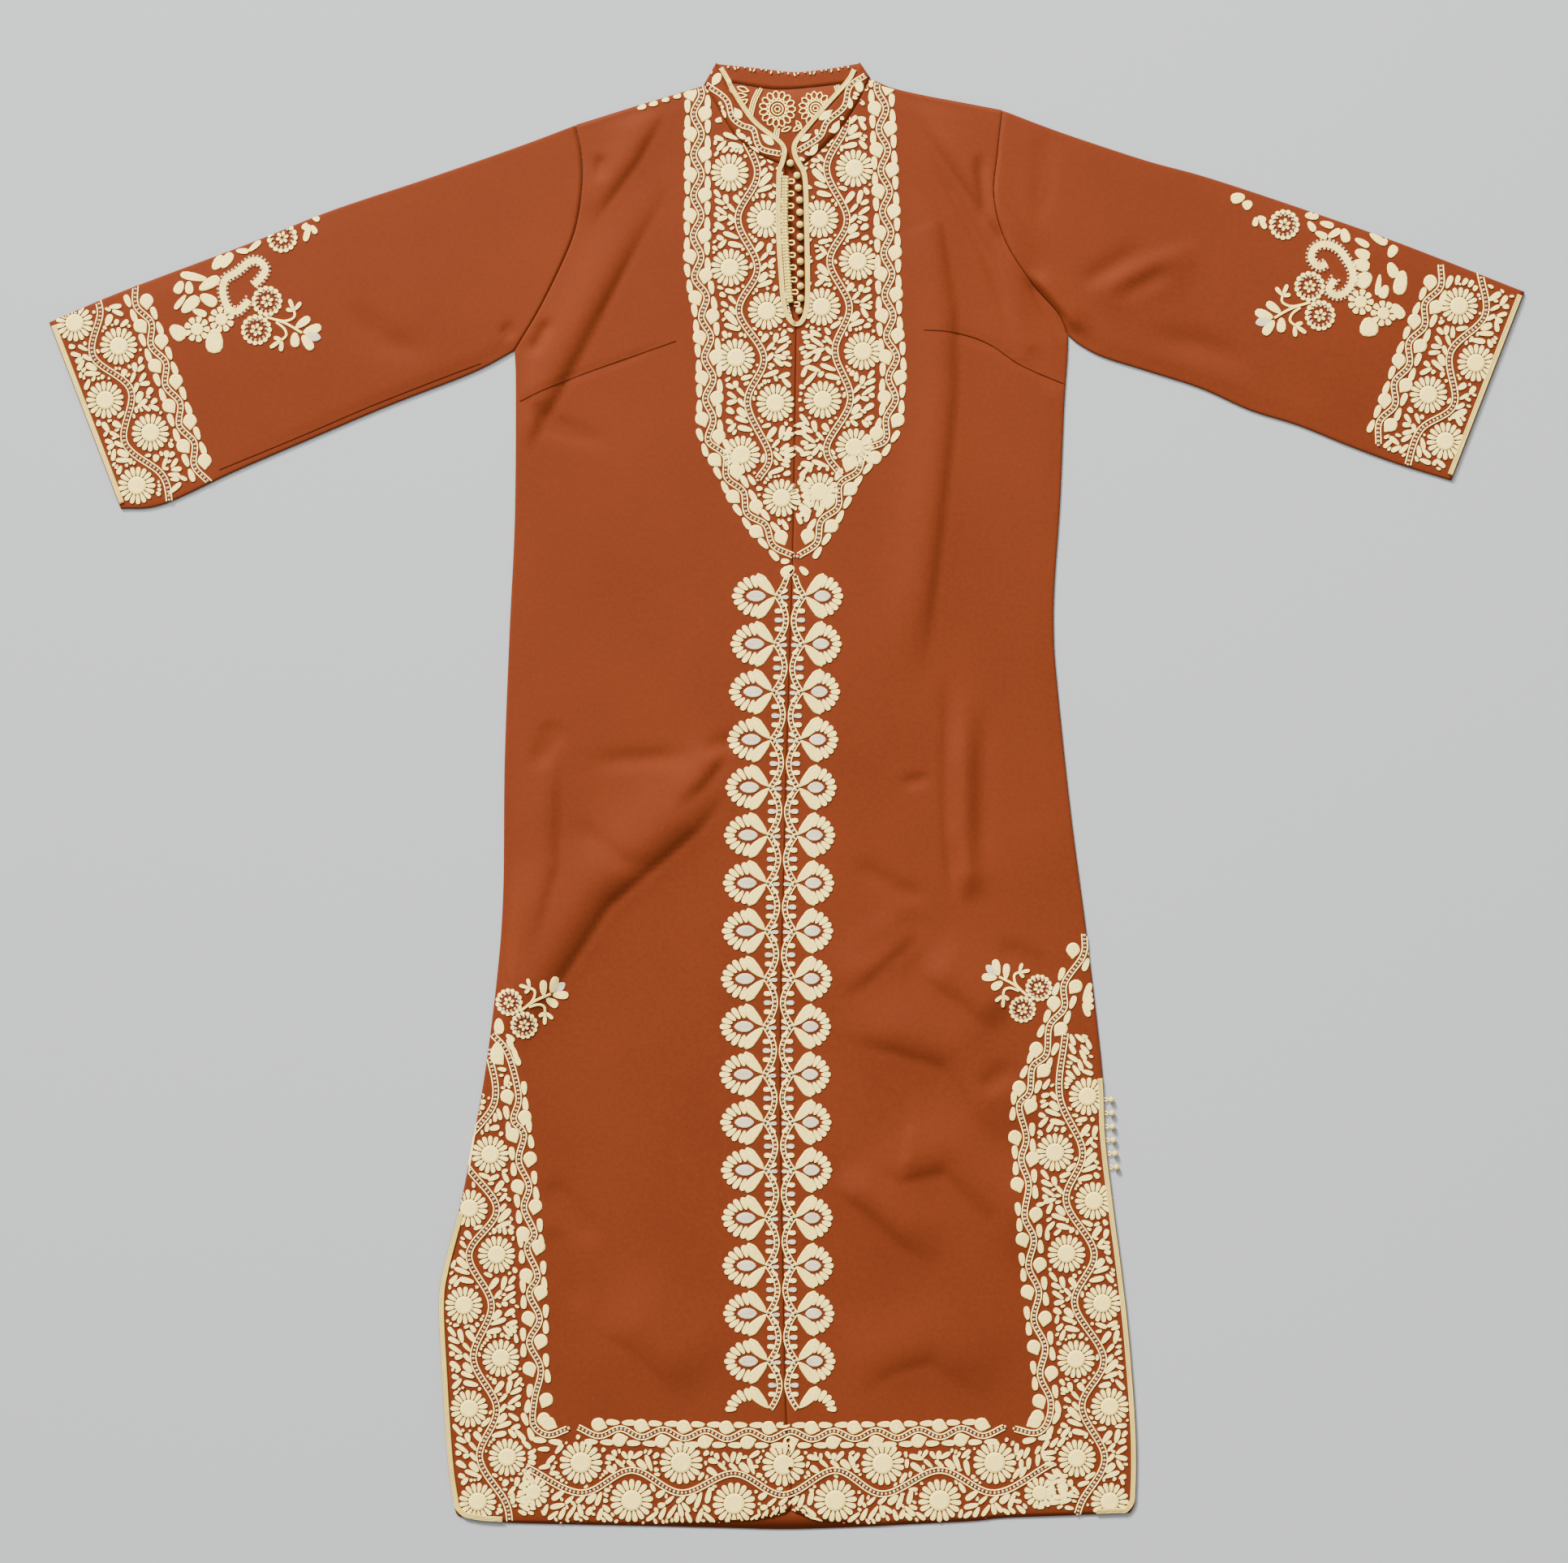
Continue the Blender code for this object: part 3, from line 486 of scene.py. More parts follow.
    def surface(self, points: np.ndarray) -> np.ndarray:
        """Height of the cloth's top with the finer creases and the darts as well."""
        points = np.asarray(points, float).reshape(-1, 2)
        height = self.top(points)
        near_edge = ease(nearest(points, Cut.outline())[0] / self.edge_fade)
        for fold in self.folds:
            gap, side, place = nearest(points, np.array(fold.path, float))
            fade = ease(place / fold.rise) * ease((1 - place) / fold.fall) * near_edge
            height -= self.fold_line * fold.height * np.exp(-(gap / self.fold_line_width) ** 2) * fade
            reach = np.maximum(gap * side * fold.side.value, 0) / (self.roll_share * fold.width)
            height += self.roll_more * fold.height * reach * np.exp(0.5 * (1 - reach ** 2)) * fade
        for trough in self.troughs + self.darts:
            gap, _, place = nearest(points, np.array(trough.path, float))
            fade = ease(place / trough.rise) * ease((1 - place) / trough.fall)
            depth = trough.depth if trough in self.darts else trough.depth * self.crease_depth
            height -= depth * np.exp(-(gap / trough.width) ** 2) * fade
        return np.maximum(height, self.lift - 0.6)


# Shader groups and finishes


def rgb(red: int, green: int, blue: int) -> tuple[float, float, float, float]:
    """Turn an sRGB colour of 0 to 255 into linear light."""
    def channel(value: float) -> float:
        value /= 255
        return value / 12.92 if value <= 0.04045 else ((value + 0.055) / 1.055) ** 2.4

    return channel(red), channel(green), channel(blue), 1.0


class Graph:
    """A short way to build a node tree: a node, and the links and values of its inputs."""

    def __init__(self, tree: bpy.types.NodeTree) -> None:
        """Work on a node tree."""
        self.tree = tree

    def node(self, kind: str, inputs: dict | None = None, **settings: object) -> bpy.types.Node:
        """Add a node.

        Args:
            kind: Blender's name of the node's type.
            inputs: value or output socket for each input, by its name or number.
            settings: properties of the node itself.

        Returns:
            The new node.
        """
        made = self.tree.nodes.new(kind)
        for name, value in settings.items():
            setattr(made, name, value)
        for name, value in (inputs or {}).items():
            if isinstance(value, bpy.types.NodeSocket):
                self.tree.links.new(value, made.inputs[name])
            else:
                made.inputs[name].default_value = value
        return made

    def math(self, operation: str, *values: object) -> bpy.types.NodeSocket:
        """Add a Math node and return its output."""
        return self.node("ShaderNodeMath", dict(enumerate(values)), operation=operation).outputs[0]

    def add(self, first: object, second: object) -> bpy.types.NodeSocket:
        """Add two values."""
        return self.math("ADD", first, second)

    def times(self, first: object, second: object) -> bpy.types.NodeSocket:
        """Multiply two values."""
        return self.math("MULTIPLY", first, second)

    def noise(self, place: bpy.types.NodeSocket, scale: float, detail: float) -> bpy.types.NodeSocket:
        """Noise from 0 to 1 at a place."""
        inputs = {"Vector": place, "Scale": scale, "Detail": detail}
        return self.node("ShaderNodeTexNoise", inputs).outputs["Fac"]

    def bump(self, height: bpy.types.NodeSocket, distance: float, strength: float) -> bpy.types.NodeSocket:
        """Turn a height into a normal."""
        inputs = {"Height": height, "Distance": distance, "Strength": strength}
        return self.node("ShaderNodeBump", inputs).outputs["Normal"]

    def link(self, start: bpy.types.NodeSocket, end: bpy.types.NodeSocket) -> None:
        """Link an output to an input."""
        self.tree.links.new(start, end)

    def mix(self, share: object, first: object, second: object) -> bpy.types.NodeSocket:
        """Mix two colours by a share and return the colour."""
        inputs = {0: share, 6: first, 7: second}
        return self.node("ShaderNodeMix", inputs, data_type="RGBA").outputs[2]


def shader_group(name: str, inputs: dict[str, object],
                 outputs: dict[str, str]) -> tuple[Graph, bpy.types.Node, bpy.types.Node]:
    """Start a shader node group.

    Args:
        name: the group's name.
        inputs: default value of each input socket, by name.
        outputs: socket type of each output, by name.

    Returns:
        A graph of the group, its input node and its output node.
    """
    tree = bpy.data.node_groups.new(name, "ShaderNodeTree")
    for title, value in inputs.items():
        kind = "NodeSocketColor" if isinstance(value, tuple) else "NodeSocketFloat"
        tree.interface.new_socket(title, in_out="INPUT", socket_type=kind).default_value = value
    for title, kind in outputs.items():
        tree.interface.new_socket(title, in_out="OUTPUT", socket_type=kind)
    return Graph(tree), tree.nodes.new("NodeGroupInput"), tree.nodes.new("NodeGroupOutput")


def twill_weave_group() -> bpy.types.NodeTree:
    """Diagonal ribs of a fine twill, with slubs and slow changes of shade."""
    graph, given, result = shader_group(
        "TwillWeave",
        {"Rib": 0.9, "Light": (0.5, 0.5, 0.5, 1.0), "Dark": (0.2, 0.2, 0.2, 1.0)},
        {"Colour": "NodeSocketColor", "Height": "NodeSocketFloat", "Roughness": "NodeSocketFloat"},
    )
    place = graph.node("ShaderNodeTexCoord").outputs["Object"]
    parts = graph.node("ShaderNodeSeparateXYZ", {0: place})
    rib = graph.times(given.outputs["Rib"], MM)
    diagonal = graph.add(graph.times(parts.outputs[0], 0.89), graph.times(parts.outputs[1], 0.45))
    turns = graph.times(graph.math("DIVIDE", diagonal, rib), math.tau)
    wobble = graph.noise(place, 900.0, 2.0)
    ribs = graph.math("SINE", graph.add(turns, graph.times(wobble, 3.0)))
    weft = graph.math("SINE", graph.times(graph.math("DIVIDE", parts.outputs[1], rib), 2.2 * math.tau))
    height = graph.add(graph.times(ribs, 0.5), graph.times(weft, 0.2))
    slub = graph.noise(place, 260.0, 4.0)
    cloudy = graph.noise(place, 7.0, 3.0)
    # The ribs' height darkens the grooves between them a little: painted shade. The slubs and the cloudy
    # noise are the cloth's own tone.
    share = graph.add(graph.times(height, 0.16), graph.times(slub, 0.5))
    share = graph.add(share, graph.times(cloudy, 0.5))
    colour = graph.mix(share, given.outputs["Dark"], given.outputs["Light"])
    graph.link(colour, result.inputs["Colour"])
    graph.link(height, result.inputs["Height"])
    rough = graph.add(graph.times(slub, 0.2), 0.62)
    graph.link(rough, result.inputs["Roughness"])
    return graph.tree


def stitch_rows_group() -> bpy.types.NodeTree:
    """Rows of chain stitch that follow a motif's edge, read from its UV map in metres.

    The map's u runs along the row and v inwards from the edge.
    """
    graph, given, result = shader_group(
        "StitchRows",
        {
            "Row": 1.4, "Stitch": 2.3, "Edge": 0.25, "Hole": 100.0,
            # Outline is a painted shade colour: a thin dark shadow line along each motif's edge, and the
            # shade inside a bead loop
            "Light": (0.9, 0.8, 0.6, 1.0), "Dark": (0.5, 0.4, 0.2, 1.0), "Outline": (0.1, 0.05, 0.02, 1.0),
        },
        {"Colour": "NodeSocketColor", "Height": "NodeSocketFloat"},
    )
    chart = graph.node("ShaderNodeUVMap", uv_map="UVMap").outputs["UV"]
    place = graph.node("ShaderNodeTexCoord").outputs["Object"]
    parts = graph.node("ShaderNodeSeparateXYZ", {0: chart})
    row = graph.times(given.outputs["Row"], MM)
    stitch = graph.times(given.outputs["Stitch"], MM)
    across = graph.math("FRACT", graph.math("DIVIDE", parts.outputs[1], row))
    off_middle = graph.math("ABSOLUTE", graph.math("SUBTRACT", across, 0.5))
    body = graph.math("SUBTRACT", 1.0, graph.math("POWER", graph.times(off_middle, 2.0), 3.0))
    phase = graph.add(graph.math("DIVIDE", parts.outputs[0], stitch), graph.times(off_middle, 1.1))
    link = graph.math("ABSOLUTE", graph.math("SINE", graph.times(phase, math.pi)))
    height = graph.times(body, graph.add(graph.times(link, 0.45), 0.55))
    fibre = graph.noise(place, 1500.0, 3.0)
    patchy = graph.noise(place, 60.0, 2.0)
    # The rows' height sets much of the colour, darker in the grooves between rows and between links:
    # painted shade over the bump. The fibre and patchy noise are the thread's own tone.
    share = graph.add(graph.times(height, 0.62), graph.times(fibre, 0.35))
    share = graph.add(share, graph.times(graph.math("SUBTRACT", patchy, 0.5), 0.4))
    thread = graph.mix(share, given.outputs["Dark"], given.outputs["Light"])
    # Painted shade: the Outline colour lies on the rim, up to the edge width in, as a shadow line round the
    # motif, and past the hole mark, as the shade inside a bead loop
    edge = graph.times(given.outputs["Edge"], MM)
    hole = graph.times(given.outputs["Hole"], MM)
    past_shade_edge = graph.math("GREATER_THAN", parts.outputs[1], edge)
    inside = graph.times(past_shade_edge, graph.math("LESS_THAN", parts.outputs[1], hole))
    graph.link(graph.mix(inside, given.outputs["Outline"], thread), result.inputs["Colour"])
    graph.link(height, result.inputs["Height"])
    return graph.tree


class Groups:
    """The shared shader groups, each built once."""

    twill = twill_weave_group()
    stitches = stitch_rows_group()


@dataclass(frozen=True)
class Twill:
    """Rust cotton twill with a fine diagonal rib and a soft sheen."""

    name: str = "rust_twill"
    light: tuple = rgb(103, 44, 19)
    dark: tuple = rgb(77, 30, 11)
    rib_mm: float = 1.0
    bump_mm: float = 0.12

    def material(self) -> bpy.types.Material:
        """Build the material."""
        material, graph, shader = start_material(self.name)
        weave = graph.node("ShaderNodeGroup", node_tree=Groups.twill)
        weave.inputs["Rib"].default_value = self.rib_mm
        weave.inputs["Light"].default_value = self.light
        weave.inputs["Dark"].default_value = self.dark
        normal = graph.bump(weave.outputs["Height"], self.bump_mm * MM, 0.6)
        graph.link(weave.outputs["Colour"], shader.inputs["Base Color"])
        graph.link(weave.outputs["Roughness"], shader.inputs["Roughness"])
        graph.link(normal, shader.inputs["Normal"])
        shader.inputs["Sheen Weight"].default_value = 0.03
        shader.inputs["Sheen Roughness"].default_value = 0.5
        shader.inputs["Sheen Tint"].default_value = rgb(226, 116, 48)
        shader.inputs["Specular IOR Level"].default_value = 0.06
        return material


@dataclass(frozen=True)
class ChainStitch:
    """Rows of chain stitch in a matt or a bright thread, with a thin line of painted shade along their
    edge.
    """

    name: str = "cream_thread"
    light: tuple = rgb(255, 236, 130)
    dark: tuple = rgb(250, 204, 94)
    # outline is a painted shade colour: the dark shadow line along each motif's edge, and the shade inside
    # a bead loop's hole
    outline: tuple = rgb(92, 42, 18)
    row_mm: float = 1.4
    stitch_mm: float = 2.3
    edge_mm: float = 0.45
    hole_mm: float = 100.0
    roughness: float = 0.6
    metallic: float = 0.0
    bump_mm: float = 0.5

    def material(self) -> bpy.types.Material:
        """Build the material."""
        material, graph, shader = start_material(self.name)
        rows = graph.node("ShaderNodeGroup", node_tree=Groups.stitches)
        values = {"Row": self.row_mm, "Stitch": self.stitch_mm, "Edge": self.edge_mm, "Hole": self.hole_mm}
        values.update({"Light": self.light, "Dark": self.dark, "Outline": self.outline})
        for socket, value in values.items():
            rows.inputs[socket].default_value = value
        normal = graph.bump(rows.outputs["Height"], self.bump_mm * MM, 0.7)
        graph.link(rows.outputs["Colour"], shader.inputs["Base Color"])
        graph.link(normal, shader.inputs["Normal"])
        shader.inputs["Roughness"].default_value = self.roughness
        shader.inputs["Metallic"].default_value = self.metallic
        shader.inputs["Sheen Weight"].default_value = 0.15
        return material


def start_material(name: str) -> tuple[bpy.types.Material, Graph, bpy.types.Node]:
    """Make a material.

    Returns:
        The material, a graph of its nodes and its Principled shader.
    """
    material = bpy.data.materials.new(name)
    material.use_nodes = True
    return material, Graph(material.node_tree), material.node_tree.nodes["Principled BSDF"]


class Finishes:
    """The kaftan's materials, each built once."""

    twill = Twill().material()
    cream = ChainStitch().material()
    silver = ChainStitch(
        name="silver_thread", light=rgb(250, 232, 188), dark=rgb(112, 92, 62), outline=rgb(70, 46, 34),
        row_mm=0.9, stitch_mm=1.5, roughness=0.38,
    ).material()
    cord = ChainStitch(name="cream_cord", row_mm=3.0, stitch_mm=1.9, edge_mm=0.0, bump_mm=0.25).material()
    # Past 1 mm in, each bead loop takes its outline colour: painted shade in the loop's hole.
    beads = ChainStitch(
        name="silver_beads", light=rgb(255, 240, 194), dark=rgb(166, 140, 96), outline=rgb(60, 38, 28),
        row_mm=3.0, stitch_mm=1.6, edge_mm=-1.0, hole_mm=1.0, roughness=0.35, bump_mm=0.2,
    ).material()
    # Painted shade: a dark twill for the thin cords along the seams, which stand for the shade in their
    # grooves.
    seam = Twill(name="rust_seam", light=rgb(74, 26, 7), dark=rgb(54, 17, 3)).material()
    wound = ChainStitch(
        name="wound_thread", light=rgb(244, 214, 104), dark=rgb(162, 122, 44),
        row_mm=1.3, stitch_mm=1.5, edge_mm=-1.0, bump_mm=0.3,
    ).material()
    braid = ChainStitch(
        name="gold_braid", light=rgb(244, 214, 96), dark=rgb(128, 96, 34), outline=rgb(104, 76, 32),
        row_mm=1.5, stitch_mm=2.4, edge_mm=0.0, roughness=0.5, bump_mm=0.6,
    ).material()


# Meshes


def in_scene(name: str, data: bpy.types.ID) -> bpy.types.Object:
    """Make an object of a mesh, a light or a camera and link it to the scene."""
    item = bpy.data.objects.new(name, data)
    bpy.context.scene.collection.objects.link(item)
    return item


def new_piece(name: str, vertices: np.ndarray, faces: Sequence,
              material: bpy.types.Material) -> bpy.types.Object:
    """Make a smooth mesh object from points in mm.

    Args:
        name: the piece's name.
        vertices: points in mm.
        faces: corner numbers of each face.
        material: its material.

    Returns:
        The new object, linked to the scene.
    """
    mesh = bpy.data.meshes.new(name)
    mesh.from_pydata((np.asarray(vertices) * MM).tolist(), [], [tuple(face) for face in faces])
    mesh.materials.append(material)
    mesh.shade_smooth()
    return in_scene(name, mesh)


def ring_faces(count: int, size: int, closed: bool = False) -> list[list[int]]:
    """Number the corners of the faces that skin rings of points.

    Args:
        count: how many rings there are.
        size: how many points a ring has.
        closed: whether the last ring meets the first; if not, both ends get a cap.

    Returns:
        The corner numbers of each face.
    """
    number = np.arange(count * size).reshape(count, size)
    here, there = (number, np.roll(number, -1, axis=0)) if closed else (number[:-1], number[1:])
    corners = [here, np.roll(here, -1, axis=1), np.roll(there, -1, axis=1), there]
    faces = np.stack([corner.ravel() for corner in corners], axis=1).tolist()
    return faces if closed else faces + [number[0].tolist(), number[-1][::-1].tolist()]


def face_outwards(item: bpy.types.Object) -> None:
    """Turn the faces of a closed mesh outwards."""
    work = bmesh.new()
    work.from_mesh(item.data)
    bmesh.ops.recalc_face_normals(work, faces=work.faces)
    work.to_mesh(item.data)
    work.free()


def dress(piece: bpy.types.Object, slot: str, *nodes: str) -> bpy.types.Object:
    """Let a piece ride on the garment and hide the solids that it stands for."""
    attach(piece, "root")
    if nodes:
        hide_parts(*nodes)
    piece.data.calc_loop_triangles()
    log.info("%s: %d triangles", piece.name, len(piece.data.loop_triangles))
    return piece


def shell(name: str, grid: np.ndarray, top: np.ndarray, under: np.ndarray,
          material: bpy.types.Material) -> bpy.types.Object:
    """Close a grid of points into a thin shell.

    Args:
        name: the piece's name.
        grid: rows, columns and x, y in mm.
        top: height of the top at each point.
        under: height of the underside at each point.
        material: its material.

    Returns:
        The shell.
    """
    rows, columns = grid.shape[:2]
    flat = grid.reshape(-1, 2)
    count = len(flat)
    vertices = np.vstack([np.column_stack([flat, top.ravel()]), np.column_stack([flat, under.ravel()])])
    number = np.arange(count).reshape(rows, columns)
    corners = [number[:-1, :-1], number[1:, :-1], number[1:, 1:], number[:-1, 1:]]
    upper = np.stack([corner.ravel() for corner in corners], axis=1)
    rim = np.concatenate([number[:, 0], number[-1, 1:], number[::-1, -1][1:], number[0, ::-1][1:-1]])
    after = np.roll(rim, -1)
    edges = np.stack([rim, rim + count, after + count, after], axis=1)
    faces = np.vstack([upper, upper[:, ::-1] + count, edges])
    item = new_piece(name, vertices, faces.tolist(), material)
    face_outwards(item)
    return item


@dataclass
class FrontHalf:
    """One half of the front, with its dart, creases and the trough of the centre seam."""

    side: Side
    cloth: LaidCloth
    wall: float = 1.0
    fineness: int = 7
    edge_round: float = 3.0
    edge_drop: float = 0.9
    seam_width: float = 2.4
    seam_depth: float = 0.6
    seam_gap: float = 0.3
    rest_gap: float = 0.2
    least_wall: float = 0.3

    def columns(self) -> np.ndarray:
        """Shares across the panel, closer at its edges."""
        inner = np.linspace(0.018, 0.985, 62)
        return np.concatenate([[0, 0.003, 0.0085], inner, [0.9935, 1]])

    def grid(self) -> np.ndarray:
        """Points of the panel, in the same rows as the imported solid."""
        fine = self.fineness
        outer = np.vstack([
            smooth_line(Cut.armhole[self.side], even(Cut.armhole_rows * fine)),
            smooth_line(Cut.side[self.side], even(Cut.side_rows * fine))[1:],
        ])
        slit_rows = len(Cut.slit_shares) - 1
        shares = np.interp(even(slit_rows * fine), even(slit_rows), Cut.slit_shares)
        seam_rows = Cut.armhole_rows + Cut.side_rows - Cut.neck_rows - slit_rows
        inner = np.vstack([
            smooth_line(Cut.neckline[self.side], even(Cut.neck_rows * fine)),
            smooth_line(Cut.slit_edge[self.side], shares)[1:],
            smooth_line(Cut.centre_seam, even(seam_rows * fine))[1:],
        ])
        first_seam_row = (Cut.neck_rows + slit_rows) * fine
        inner[first_seam_row:, 0] += 0.5 * self.seam_gap * self.side.sign
        shoulder = smooth_line(Cut.shoulder[self.side], self.columns())
        hem = smooth_line(Cut.front_hem[self.side], self.columns())
        hem[-1] = inner[-1]
        return patch(outer, inner, shoulder, hem, self.columns())

    def build(self) -> bpy.types.Object:
        """Build the shell."""
        grid = self.grid()
        flat = grid.reshape(-1, 2)
        top = self.cloth.surface(flat).reshape(grid.shape[:2])
        across = np.hypot(*(grid - grid[:, :1]).transpose(2, 0, 1))
        inward = np.hypot(*(grid - grid[:, -1:]).transpose(2, 0, 1))
        rise = np.hypot(*(grid - grid[-1:]).transpose(2, 0, 1))
        for distance in (across, rise):
            near = np.clip(1 - distance / self.edge_round, 0, 1)
            top = top - self.edge_drop * (1 - np.sqrt(1 - near ** 2))
        below_slit = np.arange(len(grid)) >= (Cut.neck_rows + len(Cut.slit_shares) - 1) * self.fineness
        top = top - self.seam_depth * np.exp(-(inward / self.seam_width) ** 2) * below_slit[:, None]
        under = np.maximum(top - self.wall, self.cloth.back_wall + self.rest_gap)
        top = np.maximum(top, under + self.least_wall)
        name = f"front_{self.side.value}"
        return dress(shell(f"{name}_cloth", grid, top, under, Finishes.twill), "rust_twill", name)


@dataclass
class BackPanel:
    """The back, flat on the surface."""

    cloth: LaidCloth
    fineness: int = 2
    columns: int = 40

    def build(self) -> bpy.types.Object:
        """Build the shell."""
        fine = self.fineness
        lines = {}
        for side in Side:
            lines[side] = np.vstack([
                smooth_line(Cut.armhole[side], even(Cut.armhole_rows * fine)),
                smooth_line(Cut.side[side], even(Cut.side_rows * fine))[1:],
            ])
        across = even(self.columns)
        top_edge = Cut.shoulder[Side.LEFT] + Cut.back_neck[1:-1] + Cut.shoulder[Side.RIGHT][::-1]
        shoulders = smooth_line(top_edge, across)
        hem = smooth_line(Cut.back_hem, across)
        grid = patch(lines[Side.LEFT], lines[Side.RIGHT], shoulders, hem, across)
        level = np.full(grid.shape[:2], self.cloth.back_wall)
        item = shell("back_cloth", grid, level, np.zeros_like(level), Finishes.twill)
        return dress(item, "rust_twill", "back_panel")


@dataclass
class Sleeve:
    """A flattened sleeve tube, open at the armhole and the cuff."""

    side: Side
    cloth: LaidCloth
    wall: float = 1.0
    rows: int = 110
    columns: int = 44
    under_columns: int = 10
    gap: float = 0.35
    cap_drop: float = 0.5
    cap_width: float = 3.0
    # Places of the closest columns in from the edge, in mm, and how far each has come down
    edge_places = (0, 0.35, 1.0, 2.2)
    edge_falls = (1.0, 0.52, 0.18, 0.03)

    def layer(self, shares: np.ndarray, inset: float) -> np.ndarray:
        """Grid of one wall of the tube, its edges drawn in by the inset."""
        upper = smooth_line(Cut.sleeve_top[self.side], even(self.rows))
        under = smooth_line(Cut.sleeve_under[self.side], even(self.rows))
        hole = smooth_line(Cut.armhole[self.side], even(Cut.armhole_rows * 5))
        cuff = np.array([upper[-1], under[-1]])
        width = length_of(hole)
        drawn = inset / width + shares * (1 - 2 * inset / width)
        grid = patch(upper, under, by_index(hole, drawn), by_index(cuff, drawn), drawn)
        grid[..., 0] += self.gap * self.side.sign
        return grid

    def rings(self, inset: float) -> np.ndarray:
        """Rings of one wall: over the top and back along the underside."""
        width = length_of(smooth_line(Cut.armhole[self.side], even(20)))
        edge = np.array(self.edge_places) / width
        shares = np.concatenate([edge, np.linspace(0.022, 0.978, self.columns), 1 - edge[::-1]])
        grid = self.layer(shares, inset)
        height = self.cloth.surface(grid.reshape(-1, 2)).reshape(grid.shape[:2])
        fall = np.zeros(len(shares))
        fall[:len(edge)] = self.edge_falls
        fall[-len(edge):] = self.edge_falls[::-1]
        middle = 0.5 * self.cloth.lift
        top = height - (height - middle) * fall[None, :] - inset
        from_cap = np.hypot(*(grid - grid[:1]).transpose(2, 0, 1))
        top = top - self.cap_drop * np.exp(-(from_cap / self.cap_width) ** 2)
        below = self.layer(np.linspace(0.012, 0.988, self.under_columns)[::-1], inset)
        level = np.full(below.shape[:2], inset)
        over = np.concatenate([grid, top[..., None]], axis=2)
        back = np.concatenate([below, level[..., None]], axis=2)
        return np.concatenate([over, back], axis=1)

    def build(self) -> bpy.types.Object:
        """Build the tube."""
        rings = np.concatenate([self.rings(0.0), self.rings(self.wall)[::-1]])
        faces = ring_faces(*rings.shape[:2], closed=True)
        name = f"sleeve_{self.side.value}"
        item = new_piece(f"{name}_cloth", rings.reshape(-1, 3), faces, Finishes.twill)
        face_outwards(item)
        return dress(item, "rust_twill", name)


@dataclass
class Collar:
    """The stand collar: one strip over the front on the left, round the back and over the right."""

    cloth: LaidCloth
    wall: float = 1.0
    solid_wall: float = 1.2
    seam_gap: float = 0.6
    crown: float = 0.5
    fineness: int = 5

    def front_stations(self, side: Side) -> list:
        """Rows across a front half of the strip, from its end at the slit to the neck's side."""
        count = Cut.neck_rows * self.fineness
        seam = smooth_line(Cut.neckline[side], even(count))[::-1]
        top = smooth_line(Cut.collar_top_front[side], even(count))[::-1]
        stations = []
        for low, high, share in zip(seam, top, even(count)):
            towards = (high - low) / np.hypot(*(high - low))
            low = low + self.seam_gap * towards
            row = [low + part * (high - low) for part in even(4)]
            levels = self.cloth.top(np.array(row)) - 0.5 * self.solid_wall
            levels += self.crown * math.sin(math.pi * share) * np.sin(np.pi * even(4))
            stations.append([(*point, level) for point, level in zip(row, levels)])
        return stations

    def turn_stations(self, side: Side) -> list:
        """The strip's fold at the side of the neck, from the front's level down to the back's."""
        low = np.array(Cut.neckline[side][0], float)
        high = np.array(Cut.collar_top_front[side][0], float)
        half = 0.5 * self.solid_wall
        bend = 0.5 * (self.cloth.lift - 2 * half)
        stations = []
        for angle in np.radians(np.arange(20, 180, 20)):
            out = side.sign * bend * math.sin(angle)
            level = half + bend * (1 + math.cos(angle))
            row = [low + share * (high - low) for share in even(4)]
            stations.append([(x + out, y + self.seam_gap, level) for x, y in row])
        return stations

    def back_stations(self) -> list:
        """Rows round the back of the neck, lying flat."""
        count = 8 * self.fineness
        seam = smooth_line(Cut.back_neck, even(count)) + (0, self.seam_gap)
        top = smooth_line(Cut.collar_top_back, even(count))
        half = 0.5 * self.solid_wall
        return [
            [(*(low + part * (high - low)), half) for part in even(4)]
            for low, high in zip(seam, top)
        ]

    def build(self) -> bpy.types.Object:
        """Build the strip."""
        stations = np.array(
            self.front_stations(Side.LEFT) + self.turn_stations(Side.LEFT) + self.back_stations()
            + self.turn_stations(Side.RIGHT)[::-1] + self.front_stations(Side.RIGHT)[::-1]
        )
        run = np.gradient(stations, axis=0)
        rise = np.gradient(stations, axis=1)
        out = np.cross(rise, run)
        out /= np.linalg.norm(out, axis=2, keepdims=True)
        outer = stations + 0.5 * self.wall * out
        inner = stations - 0.5 * self.wall * out
        rings = np.concatenate([outer, inner[:, ::-1]], axis=1)
        faces = ring_faces(*rings.shape[:2])
        item = new_piece("collar_cloth", rings.reshape(-1, 3), faces, Finishes.twill)
        face_outwards(item)
        return dress(item, "rust_twill", "collar")


# Embroidery


class Motif(Enum):
    """The shapes that the embroidery is made of; the value is the shape's place in the motif shelf."""

    PETAL = 0
    LEAF = 1
    DROP = 2
    DISC = 3
    SEED = 4
    HORN_LEFT = 5
    HORN_RIGHT = 6
    BEAD = 7


class Thread(Enum):
    """The embroidery's threads."""

    CREAM = "cream_thread"
    SILVER = "silver_thread"


class Stitch(NamedTuple):
    """One motif sewn on the cloth: the place of its root in mm, its direction and its size."""

    motif: Motif
    x: float
    y: float
    turn: float
    length: float
    width: float
    height: float = 1.0


